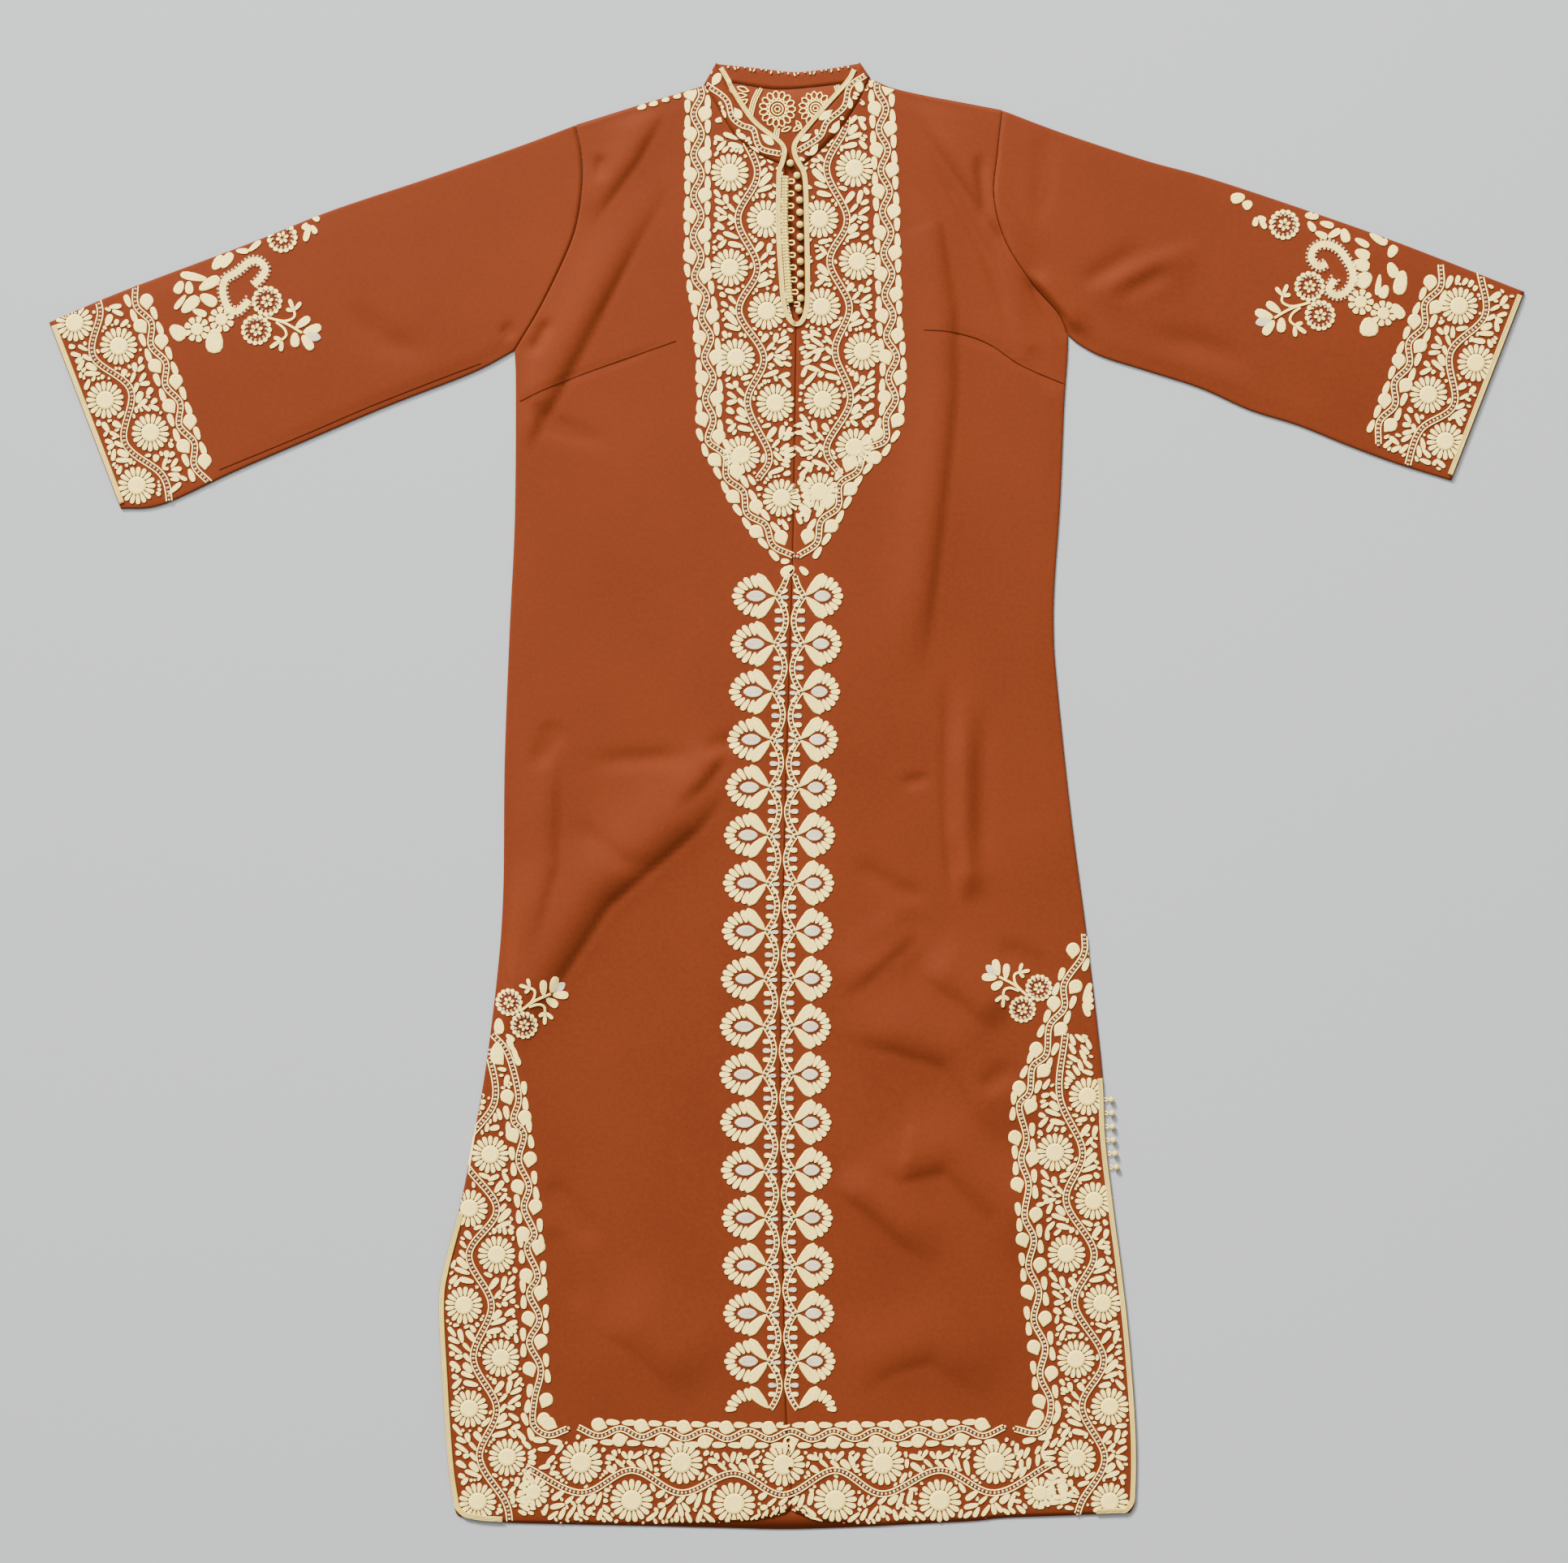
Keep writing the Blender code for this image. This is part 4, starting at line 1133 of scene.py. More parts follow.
@dataclass
class MotifShelf:
    """Unit shapes for the motifs: 1 long along x from the root, 1 wide, domed in rows."""

    rings: tuple = ((0.0, -0.25), (0.1, 0.7), (0.3, 1.0), (0.5, 0.74), (0.75, 0.92))
    crown: float = 0.86
    horn_spine = [(0.0, 0.0), (0.18, 0.25), (0.38, 0.52), (0.53, 0.78), (0.64, 1.03)]
    horn_half = ((0.0, 0.01), (0.22, 0.14), (0.5, 0.215), (0.78, 0.215), (0.93, 0.14), (1.0, 0.03))

    def profile(self, motif: Motif, share: np.ndarray) -> np.ndarray:
        """Half width of a motif at shares of its length."""
        round_off = np.sqrt(np.clip(1 - (2 * share - 1) ** 2, 0, 1))
        blunt = np.clip(1 - np.abs(2 * share - 1) ** 3.4, 0, 1) ** 0.44
        if motif is Motif.PETAL:
            return 0.5 * blunt * (0.62 + 0.38 * ease(share / 0.8))
        if motif is Motif.LEAF:
            return 0.5 * blunt * (0.66 + 0.34 * ease(share / 0.6))
        if motif is Motif.DROP:
            return 0.5 * round_off * (0.35 + 0.65 * ease(share / 0.5))
        if motif is Motif.SEED:
            return 0.5 * round_off ** 1.35
        return 0.5 * round_off

    def outline(self, motif: Motif) -> tuple[np.ndarray, np.ndarray]:
        """A motif's outline and, for each of its points, the point of the spine that it closes on."""
        count = {Motif.DISC: 24, Motif.DROP: 16, Motif.SEED: 14, Motif.BEAD: 6}.get(motif, 12)
        angle = np.arange(count) * math.tau / count
        share = 0.5 - 0.5 * np.cos(angle)
        half = self.profile(motif, share) * np.sign(np.sin(angle) + 1e-12)
        edge = np.stack([share, -half], axis=1)
        hold = {Motif.DISC: 0.5, Motif.BEAD: 0.5, Motif.DROP: 0.42, Motif.SEED: 0.35}.get(motif, 0.24)
        spine = np.stack([np.clip(share, hold, 1 - hold), np.zeros(count)], axis=1)
        return edge, spine

    def horn(self, mirrored: bool) -> tuple[np.ndarray, np.ndarray]:
        """Outline and spine of a palmette's curved leaf, from its stem."""
        count = 10
        share = np.concatenate([even(count - 1), even(count - 1)[::-1][1:-1]])
        side = np.concatenate([np.ones(count), -np.ones(count - 2)])
        line = smooth_line(self.horn_spine, even(40))
        run = beside(line, 1.0) - line
        places = np.arange(41) / 40
        centre = np.stack([np.interp(share, places, line[:, axis]) for axis in (0, 1)], axis=1)
        aside = np.stack([np.interp(share, places, run[:, axis]) for axis in (0, 1)], axis=1)
        half = np.interp(share, *zip(*self.horn_half))
        edge = centre + (side * half)[:, None] * aside
        inner = np.clip(share, 0.2, 0.84)
        spine = np.stack([np.interp(inner, places, line[:, axis]) for axis in (0, 1)], axis=1)
        if mirrored:
            edge, spine = edge * (1, -1), spine * (1, -1)
        return edge, spine

    def mesh(self, motif: Motif) -> bpy.types.Mesh:
        """Build one unit motif with its UV map: share of the edge's length, and share of the way in."""
        if motif in (Motif.HORN_LEFT, Motif.HORN_RIGHT):
            edge, spine = self.horn(motif is Motif.HORN_RIGHT)
        else:
            edge, spine = self.outline(motif)
        rings = self.rings
        crown = self.crown
        if motif is Motif.BEAD:
            rings = ((0.0, 0.0), (0.38, 1.0), (0.72, 0.35))
            crown = 0.0
        count = len(edge)
        vertices = [
            (*(point + share * (core - point)), height)
            for share, height in rings
            for point, core in zip(edge, spine)
        ]
        middle = len(vertices)
        vertices.append((*spine.mean(axis=0), crown))
        if motif in (Motif.HORN_LEFT, Motif.HORN_RIGHT):
            vertices[middle] = (*spine[5], crown)
        shares = [share for share, _ in rings for _ in range(count)] + [1.0]
        faces = []
        corners = []
        for level in range(len(rings)):
            for corner in range(count):
                after = (corner + 1) % count
                here = level * count
                face = [here + corner, here + after]
                turns = [corner / count, (corner + 1) / count]
                if level + 1 < len(rings):
                    face += [here + count + after, here + count + corner]
                    turns += [turns[1], turns[0]]
                else:
                    face.append(middle)
                    turns.append(turns[0])
                faces.append(face)
                corners += [(turn, shares[vertex]) for turn, vertex in zip(turns, face)]
        mesh = bpy.data.meshes.new(f"motif_{motif.name.lower()}")
        mesh.from_pydata(vertices, [], faces)
        chart = mesh.uv_layers.new(name="UVMap")
        chart.data.foreach_set("uv", np.array(corners, np.float32).ravel())
        mesh.shade_smooth()
        mesh.update()
        if mesh.polygons[0].normal.z < 0:
            mesh.flip_normals()
        return mesh

    def build(self) -> bpy.types.Collection:
        """Put the unit motifs in a collection, in the order of their numbers."""
        shelf = bpy.data.collections.new("motif_shelf")
        for motif in Motif:
            name = f"{motif.value}_{motif.name.lower()}"
            shelf.objects.link(bpy.data.objects.new(name, self.mesh(motif)))
        return shelf


def geometry_group(name: str, inputs: dict[str, str]) -> tuple[Graph, bpy.types.Node, bpy.types.Node]:
    """Start a geometry node group that takes and gives a geometry.

    Args:
        name: the group's name.
        inputs: socket type of each further input, by name.

    Returns:
        A graph of the group, its input node and its output node.
    """
    tree = bpy.data.node_groups.new(name, "GeometryNodeTree")
    tree.interface.new_socket("Geometry", in_out="INPUT", socket_type="NodeSocketGeometry")
    for title, kind in inputs.items():
        tree.interface.new_socket(title, in_out="INPUT", socket_type=kind)
    tree.interface.new_socket("Geometry", in_out="OUTPUT", socket_type="NodeSocketGeometry")
    return Graph(tree), tree.nodes.new("NodeGroupInput"), tree.nodes.new("NodeGroupOutput")


def named(graph: Graph, name: str, kind: str) -> bpy.types.NodeSocket:
    """Read a named attribute in a geometry node group."""
    node = graph.node("GeometryNodeInputNamedAttribute", {"Name": name}, data_type=kind)
    return next(socket for socket in node.outputs if socket.enabled and socket.name == "Attribute")


def store(graph: Graph, geometry: bpy.types.NodeSocket, name: str, value: bpy.types.NodeSocket,
          kind: str, domain: str = "POINT") -> bpy.types.NodeSocket:
    """Keep a value on a geometry as a named attribute and return the geometry."""
    inputs = {"Geometry": geometry, "Name": name, "Value": value}
    return graph.node("GeometryNodeStoreNamedAttribute", inputs, data_type=kind, domain=domain).outputs[0]


def geometry_of(graph: Graph, item: bpy.types.NodeSocket) -> bpy.types.NodeSocket:
    """The geometry of an object that a group is given."""
    info = graph.node("GeometryNodeObjectInfo", {"Object": item}, transform_space="ORIGINAL")
    return info.outputs["Geometry"]


def stepped_lines(graph: Graph, given: bpy.types.Node) -> bpy.types.NodeSocket:
    """The lines of the given mesh as curves with a point at each step."""
    line = graph.node("GeometryNodeMeshToCurve", {"Mesh": given.outputs["Geometry"]})
    inputs = {"Curve": line.outputs[0], "Length": given.outputs["Step"]}
    return graph.node("GeometryNodeResampleCurve", inputs, mode="LENGTH").outputs[0]


def give_thread(graph: Graph, geometry: bpy.types.NodeSocket, given: bpy.types.Node,
                result: bpy.types.Node) -> bpy.types.NodeTree:
    """End a group with its geometry in the given thread, and return the group."""
    inputs = {"Geometry": geometry, "Material": given.outputs["Thread"]}
    graph.link(graph.node("GeometryNodeSetMaterial", inputs).outputs[0], result.inputs[0])
    return graph.tree


def drape(graph: Graph, geometry: bpy.types.NodeSocket,
          cloth: bpy.types.NodeSocket) -> bpy.types.NodeSocket:
    """Let each point down on the cloth, its own height above it kept, and drop what misses it."""
    place = graph.node("GeometryNodeInputPosition").outputs[0]
    parts = graph.node("ShaderNodeSeparateXYZ", {0: place})
    above = graph.node("ShaderNodeCombineXYZ", {0: parts.outputs[0], 1: parts.outputs[1], 2: 0.2})
    ray = graph.node("GeometryNodeRaycast", {
        "Target Geometry": geometry_of(graph, cloth), "Source Position": above.outputs[0],
        "Ray Direction": (0.0, 0.0, -1.0), "Ray Length": 1.0,
    })
    level = graph.node("ShaderNodeSeparateXYZ", {0: ray.outputs["Hit Position"]}).outputs[2]
    seat = graph.node("ShaderNodeCombineXYZ", {
        0: parts.outputs[0], 1: parts.outputs[1], 2: graph.add(level, parts.outputs[2]),
    })
    hit = store(graph, geometry, "on_cloth", ray.outputs["Is Hit"], "BOOLEAN")
    moved = graph.node("GeometryNodeSetPosition", {"Geometry": hit, "Position": seat.outputs[0]})
    on_cloth = named(graph, "on_cloth", "BOOLEAN")
    missed = graph.node("FunctionNodeBooleanMath", {0: on_cloth}, operation="NOT")
    inputs = {"Geometry": moved.outputs[0], "Selection": missed.outputs[0]}
    return graph.node("GeometryNodeDeleteGeometry", inputs).outputs[0]


def sewn_motifs_group() -> bpy.types.NodeTree:
    """Put a motif on each point by its kind, turn and size, and let them down on the cloth."""
    graph, given, result = geometry_group("SewnMotifs", {
        "Motifs": "NodeSocketCollection", "Cloth": "NodeSocketObject", "Thread": "NodeSocketMaterial",
    })
    shelf = graph.node("GeometryNodeCollectionInfo", {
        "Collection": given.outputs["Motifs"], "Separate Children": True, "Reset Children": True,
    })
    turn = graph.node("ShaderNodeCombineXYZ", {2: named(graph, "turn", "FLOAT")})
    placed = graph.node("GeometryNodeInstanceOnPoints", {
        "Points": given.outputs["Geometry"], "Instance": shelf.outputs[0], "Pick Instance": True,
        "Instance Index": named(graph, "kind", "INT"), "Rotation": turn.outputs[0],
        "Scale": named(graph, "size", "FLOAT_VECTOR"),
    })
    real = graph.node("GeometryNodeRealizeInstances", {"Geometry": placed.outputs[0]})
    size = graph.node("ShaderNodeSeparateXYZ", {0: named(graph, "size", "FLOAT_VECTOR")})
    chart = graph.node("ShaderNodeSeparateXYZ", {0: named(graph, "UVMap", "FLOAT_VECTOR")})
    run = graph.times(chart.outputs[0], graph.times(size.outputs[0], 2.2))
    inward = graph.times(chart.outputs[1], graph.times(size.outputs[1], 0.5))
    scaled = graph.node("ShaderNodeCombineXYZ", {0: run, 1: inward})
    charted = store(graph, real.outputs[0], "UVMap", scaled.outputs[0], "FLOAT2", "CORNER")
    seated = drape(graph, charted, given.outputs["Cloth"])
    again = graph.node("GeometryNodeRealizeInstances", {"Geometry": seated})
    return give_thread(graph, again.outputs[0], given, result)


def couched_cord_group() -> bpy.types.NodeTree:
    """Lay a cord on the cloth along each line of the given mesh."""
    graph, given, result = geometry_group("CouchedCord", {
        "Step": "NodeSocketFloat", "Radius": "NodeSocketFloat", "Cloth": "NodeSocketObject",
        "Thread": "NodeSocketMaterial",
    })
    seated = drape(graph, stepped_lines(graph, given), given.outputs["Cloth"])
    upright = graph.node("GeometryNodeSetCurveNormal", {"Curve": seated}, mode="Z_UP")
    travelled = graph.node("GeometryNodeSplineParameter").outputs["Length"]
    marked = store(graph, upright.outputs[0], "travelled", travelled, "FLOAT")
    inputs = {"Resolution": 5, "Radius": given.outputs["Radius"]}
    circle = graph.node("GeometryNodeCurvePrimitiveCircle", inputs, mode="RADIUS")
    inputs = {"Curve": marked, "Profile Curve": circle.outputs[0], "Fill Caps": True}
    tube = graph.node("GeometryNodeCurveToMesh", inputs)
    middle = graph.add(graph.times(given.outputs["Radius"], 0.9), 0.0003)
    chart = graph.node("ShaderNodeCombineXYZ", {0: named(graph, "travelled", "FLOAT"), 1: middle})
    charted = store(graph, tube.outputs[0], "UVMap", chart.outputs[0], "FLOAT2", "CORNER")
    real = graph.node("GeometryNodeRealizeInstances", {"Geometry": charted})
    smooth = graph.node("GeometryNodeSetShadeSmooth", {"Geometry": real.outputs[0]})
    return give_thread(graph, smooth.outputs[0], given, result)


def bead_row_group() -> bpy.types.NodeTree:
    """Set a looped bead at each step along the lines of the given mesh."""
    graph, given, result = geometry_group("BeadRow", {
        "Step": "NodeSocketFloat", "Size": "NodeSocketVector", "Bead": "NodeSocketObject",
        "Cloth": "NodeSocketObject", "Thread": "NodeSocketMaterial",
    })
    tangent = graph.node("GeometryNodeInputTangent").outputs[0]
    aligned = graph.node("FunctionNodeAlignRotationToVector", {"Vector": tangent}, axis="X")
    chance = graph.node("FunctionNodeRandomValue", {2: 0.86, 3: 1.14, "Seed": 7}, data_type="FLOAT")
    inputs = {0: given.outputs["Size"], 3: chance.outputs[1]}
    scale = graph.node("ShaderNodeVectorMath", inputs, operation="SCALE")
    placed = graph.node("GeometryNodeInstanceOnPoints", {
        "Points": stepped_lines(graph, given), "Instance": geometry_of(graph, given.outputs["Bead"]),
        "Rotation": aligned.outputs[0], "Scale": scale.outputs[0],
    })
    real = graph.node("GeometryNodeRealizeInstances", {"Geometry": placed.outputs[0]})
    chart = graph.node("ShaderNodeSeparateXYZ", {0: named(graph, "UVMap", "FLOAT_VECTOR")})
    width = graph.node("ShaderNodeSeparateXYZ", {0: given.outputs["Size"]}).outputs[1]
    scaled = graph.node("ShaderNodeCombineXYZ", {
        0: graph.times(chart.outputs[0], 0.008),
        1: graph.times(chart.outputs[1], graph.times(width, 0.5)),
    })
    charted = store(graph, real.outputs[0], "UVMap", scaled.outputs[0], "FLOAT2", "CORNER")
    seated = drape(graph, charted, given.outputs["Cloth"])
    again = graph.node("GeometryNodeRealizeInstances", {"Geometry": seated})
    return give_thread(graph, again.outputs[0], given, result)


def grow(name: str, source: bpy.types.Mesh, tree: bpy.types.NodeTree,
         values: dict[str, object]) -> bpy.types.Object:
    """Run a geometry node group on a mesh and keep its result as a plain mesh.

    Args:
        name: the name of the new object.
        source: the mesh that the group starts from.
        tree: the geometry node group.
        values: the group's inputs, by socket name.

    Returns:
        The new object, linked to the scene.
    """
    worker = in_scene(f"{name}_worker", source)
    modifier = worker.modifiers.new("grow", "NODES")
    modifier.node_group = tree
    for socket in tree.interface.items_tree:
        if socket.in_out == "INPUT" and socket.name in values:
            modifier[socket.identifier] = values[socket.name]
    evaluated = bpy.context.evaluated_depsgraph_get()
    mesh = bpy.data.meshes.new_from_object(
        worker.evaluated_get(evaluated), preserve_all_data_layers=True, depsgraph=evaluated,
    )
    mesh.name = name
    bpy.data.objects.remove(worker)
    return in_scene(name, mesh)


def joined(name: str, items: Sequence[bpy.types.Object]) -> bpy.types.Object:
    """Join objects into the first one and name it."""
    first = items[0]
    chosen = {"active_object": first, "object": first, "selected_editable_objects": list(items)}
    with bpy.context.temp_override(**chosen):
        bpy.ops.object.join()
    first.name = name
    return first


def turned(offset: Place, angle: float) -> np.ndarray:
    """Turn an offset by an angle."""
    x, y = offset
    cosine, sine = math.cos(angle), math.sin(angle)
    return np.array([x * cosine - y * sine, x * sine + y * cosine])


class Room:
    """A map of the bare ground that is left round each place, in mm."""

    step = 0.8
    reach = 720.0
    margin = 8.0

    def __init__(self) -> None:
        """Start with all the ground bare."""
        side = round(2 * self.reach / self.step)
        self.free = np.full((side, side), self.margin)

    def take(self, place: Sequence[float], radius: float) -> None:
        """Take up a round place."""
        half = radius + self.margin
        first = [max(0, int((value - half + self.reach) / self.step)) for value in place]
        last = [int((value + half + self.reach) / self.step) + 1 for value in place]
        window = self.free[first[0]:last[0], first[1]:last[1]]
        x, y = (
            (np.arange(size) + begin + 0.5) * self.step - self.reach - value
            for size, begin, value in zip(window.shape, first, place)
        )
        np.minimum(window, np.hypot(x[:, None], y[None]) - radius, out=window)

    def left(self, places: np.ndarray) -> np.ndarray:
        """Bare ground round each place."""
        spots = np.clip((places + self.reach) / self.step, 0, len(self.free) - 1).astype(int)
        return self.free[spots[:, 0], spots[:, 1]]


class SewingPlan:
    """Collects the motifs and the lines of one stretch of embroidery before they are sewn."""

    # Where a leaf is tested, and the bare ground that it needs there, as shares of its width
    leaf_tests = (0.45, 0.72, 1.0)
    ground_by_walls = 0.4
    ground_by_leaves = 0.43
    # The lengths that a leaf is tried at, and the round places that it takes up
    leaf_cuts = (1.0, 0.84, 0.68, 0.52)
    leaf_places = ((0.3, 0.3), (0.55, 0.42), (0.82, 0.42))
    least_ground = 0.2
    # A rosette's parts as shares of its radius; its petals leave from under the disc's edge
    disc_share = 0.5
    disc_height = 1.15
    petal_root = 0.9
    petal_row = 0.8
    petal_fill = 0.97
    # A ring flower's parts as shares of its radius
    lobe_root = 0.64
    lobe_size = (0.37, 0.4)
    ring_share = 0.63
    star_turn = 0.3
    star_root = 0.05
    star_size = (0.4, 0.26)
    vine_clearance = 0.6

    def __init__(self, name: str) -> None:
        """Start an empty plan."""
        self.name = name
        self.stitches: dict[Thread, list[Stitch]] = {thread: [] for thread in Thread}
        self.cords: list[np.ndarray] = []
        self.beads: list[np.ndarray] = []
        self.walls = Room()
        self.grown = Room()

    def block(self, line: np.ndarray, clearance: float) -> None:
        """Keep loose leaves off a line."""
        for place in along(np.asarray(line, float), even(max(2, round(length_of(line) / 2)))):
            self.walls.take(place, clearance)

    def is_clear(self, root: np.ndarray, tip: np.ndarray, width: float) -> bool:
        """Whether a leaf lies clear of the flowers, the vines, the edges and the other leaves."""
        samples = root + np.array(self.leaf_tests)[:, None] * (tip - root)
        if self.walls.left(samples).min() < self.ground_by_walls * width:
            return False
        return self.grown.left(samples).min() > self.ground_by_leaves * width

    def is_open(self, start: np.ndarray, end: np.ndarray) -> bool:
        """Whether no flower, vine or edge lies between two places."""
        samples = start + np.linspace(0.1, 1, 9)[:, None] * (end - start)
        return self.walls.left(samples).min() > self.least_ground

    def put(self, motif: Motif, root: Sequence[float], turn: float, length: float, width: float,
            thread: Thread = Thread.CREAM, height: float = 1.0) -> None:
        """Put a motif with its root at a place."""
        x, y = float(root[0]), float(root[1])
        self.stitches[thread].append(Stitch(motif, x, y, turn, length, width, height))

    def between(self, motif: Motif, root: Sequence[float], tip: Sequence[float], width: float,
                thread: Thread = Thread.CREAM) -> None:
        """Put a motif that reaches from its root to its tip."""
        run = np.asarray(tip, float) - np.asarray(root, float)
        self.put(motif, root, math.atan2(run[1], run[0]), float(np.hypot(*run)), width, thread)

    def leaf(self, root: np.ndarray, tip: np.ndarray, width: float) -> None:
        """Put a leaf, shortened or left out where it would lie on something else."""
        for share in self.leaf_cuts:
            end = root + share * (tip - root)
            if self.is_clear(root, end, width):
                self.between(Motif.LEAF, root, end, width)
                for part, half in self.leaf_places:
                    self.grown.take(root + part * (end - root), half * width)
                return

    def rosette(self, place: Place, radius: float, petals: int = 17, start: float = 0.0) -> None:
        """A round flower: a disc in rings, and a row of oblong petals."""
        disc = self.disc_share * radius
        corner = np.array(place) - (disc, 0)
        self.put(Motif.DISC, corner, 0.0, 2 * disc, 2 * disc, height=self.disc_height)
        width = math.tau * self.petal_row * radius / petals * self.petal_fill
        for number in range(petals):
            angle = start + math.tau * number / petals
            root = np.array(place) + turned((self.petal_root * disc, 0), angle)
            self.put(Motif.PETAL, root, angle, radius - self.petal_root * disc, width)
        self.walls.take(place, radius)

    def ring_flower(self, place: Place, radius: float, lobes: int = 15, petals: int = 6) -> None:
        """A flower of small lobes round a ring of silver loops, with a star inside."""
        centre = np.array(place, float)
        parts = (
            (lobes, 0.0, self.lobe_root, self.lobe_size),
            (petals, self.star_turn, self.star_root, self.star_size),
        )
        for count, first, root_share, (length, width) in parts:
            for number in range(count):
                angle = first + math.tau * number / count
                root = centre + turned((root_share * radius, 0), angle)
                self.put(Motif.DROP, root, angle, length * radius, width * radius)
        ring = math.tau * even(28)
        circle = centre + self.ring_share * radius * np.stack([np.cos(ring), np.sin(ring)], axis=1)
        self.beads.append(circle)

    def vine(self, line: np.ndarray, width: float) -> None:
        """A vine: two cords with a row of silver loops between them."""
        self.beads.append(line)
        self.cords.append(beside(line, 0.5 * width))
        self.cords.append(beside(line, -0.5 * width))
        self.block(line, 0.5 * width + self.vine_clearance)


class Band(Protocol):
    """A stretch of embroidery that is drawn in two goes."""

    def lay_out(self, plan: SewingPlan) -> None:
        """Add the vines and the flowers."""

    def fill(self, plan: SewingPlan) -> None:
        """Add the leaves that fill the ground between them."""


class Leaf(NamedTuple):
    """A leaf from its root to its tip and its width, in mm, in its spray's own directions."""

    root_x: float
    root_y: float
    tip_x: float
    tip_y: float
    width: float

    @property
    def root(self) -> Place:
        """Where it leaves its stem."""
        return self.root_x, self.root_y

    @property
    def tip(self) -> Place:
        """Its far end."""
        return self.tip_x, self.tip_y


@dataclass
class FlowerBand:
    """A band with a winding vine, rosettes in its bends and sprays of leaves outside them.

    The flowers lie in turn left and right of the vine, as one walks along the run.
    """

    flowers: list[Place]
    radius: float
    run: Place
    first_side: int
    start: list[Place] = field(default_factory=list)
    end: list[Place] = field(default_factory=list)
    lone: list[Place] = field(default_factory=list)
    gap: float = 8.0
    vine_width: float = 5.2
    spray_scale: float = 1.04
    leaf_wider: float = 1.12
    leaf_longer: float = 1.1
    filler_reach: float = 31.0
    filler_step: float = 2.2
    filler_start: float = 4.4
    filler_lean: float = 0.6
    lean_swing: float = 0.5
    lean_change: Place = (0.37, 0.21)
    sight_start: float = 4.0
    round_spots: int = 40
    round_gap: float = 1.4
    fillers = [(12.5, 5.4), (9.5, 4.8), (6.6, 4.0), (5.0, 3.4)]

    spray = [
        Leaf(-2.2, -14.0, 5.5, -24.3, 6.0),
        Leaf(2.2, -5.9, 8.8, -13.3, 4.2),
        Leaf(9.6, -13.3, 12.5, -25.8, 5.4),
        Leaf(15.5, -19.2, 23.6, -29.5, 4.6),
        Leaf(11.8, -13.3, 22.1, -18.4, 5.0),
        Leaf(2.2, 3.7, 8.1, -3.7, 4.6),
        Leaf(9.6, -3.7, 21.4, -11.8, 4.6),
        Leaf(16.2, -3.7, 26.5, -4.4, 5.0),
        Leaf(8.8, -2.2, 19.9, 0.7, 5.0),
        Leaf(0.7, 13.3, 11.8, 1.5, 6.6),
        Leaf(11.8, 9.6, 24.7, 1.5, 5.8),
        Leaf(-1.5, 17.7, 12.5, 12.5, 5.0),
        Leaf(12.5, 18.4, 25.0, 14.0, 5.0),
        Leaf(-5.2, 25.0, 8.1, 22.1, 5.6),
        Leaf(10.3, 18.4, 18.4, 27.3, 5.0),
        Leaf(16.2, 18.4, 27.3, 30.2, 5.0),
    ]

    @property
    def forward(self) -> np.ndarray:
        """The walking direction."""
        return np.array(self.run) / np.hypot(*self.run)

    @property
    def bends(self) -> list[tuple[np.ndarray, np.ndarray]]:
        """Places of the vine's bends and the ways out of them."""
        to_left = np.array([-self.forward[1], self.forward[0]])
        found = []
        for number, flower in enumerate(self.flowers):
            out = -self.first_side * (-1) ** number * to_left
            found.append((np.array(flower) + out * (self.radius + self.gap), out))
        return found

    @property
    def line(self) -> np.ndarray:
        """The vine's middle."""
        places = self.start + [tuple(place) for place, _ in self.bends] + self.end
        return smooth_line(places, even(max(8, round(length_of(places) / 3))))

    def lay_out(self, plan: SewingPlan) -> None:
        """Add the vine and the rosettes."""
        plan.vine(self.line, self.vine_width)
        for number, flower in enumerate(self.flowers + self.lone):
            plan.rosette(flower, self.radius, start=0.09 * number)

    def fill(self, plan: SewingPlan) -> None:
        """Add the sprays of leaves."""
        for place, out in self.bends:
            for leaf in self.spray:
                root = place + self.spray_scale * (leaf.root_x * out + leaf.root_y * self.forward)
                tip = place + self.spray_scale * (leaf.tip_x * out + leaf.tip_y * self.forward)
                plan.leaf(root, root + self.leaf_longer * (tip - root), leaf.width * self.leaf_wider)
        for length, width in self.fillers:
            self.fill_beside_vine(plan, length, width)
            self.fill_round_flowers(plan, length, width)

    def fill_beside_vine(self, plan: SewingPlan, length: float, width: float) -> None:
        """Set leaves of one size wherever the vine still has bare ground in sight."""
        line = along(self.line, even(round(length_of(self.line) / self.filler_step)))
        normals = beside(line, 1.0) - line
        for number, (place, normal) in enumerate(zip(line, normals)):
            for side in (1, -1):
                start = place + self.sight_start * side * normal
                for distance in np.arange(self.filler_start, self.filler_reach, self.filler_step):
                    root = place + side * distance * normal
                    phase = self.lean_change[0] * distance + self.lean_change[1] * number
                    lean = -side * (self.filler_lean + self.lean_swing * math.sin(phase))
                    tip = root + length * turned(tuple(side * normal), lean)
                    if plan.is_clear(root, tip, width) and plan.is_open(start, root):
                        plan.leaf(root, tip, width)

    def fill_round_flowers(self, plan: SewingPlan, length: float, width: float) -> None:
        """Set leaves of one size round the rosettes where there is still room."""
        for flower in self.flowers + self.lone:
            for angle in math.tau * even(self.round_spots)[:-1]:
                root = np.array(flower) + turned((self.radius + self.round_gap, 0), angle)
                lean = self.lean_swing * math.sin(3 * angle)
                tip = root + length * turned((1, 0), angle + lean)
                if plan.walls.left(root[None])[0] > plan.least_ground:
                    plan.leaf(root, tip, width)


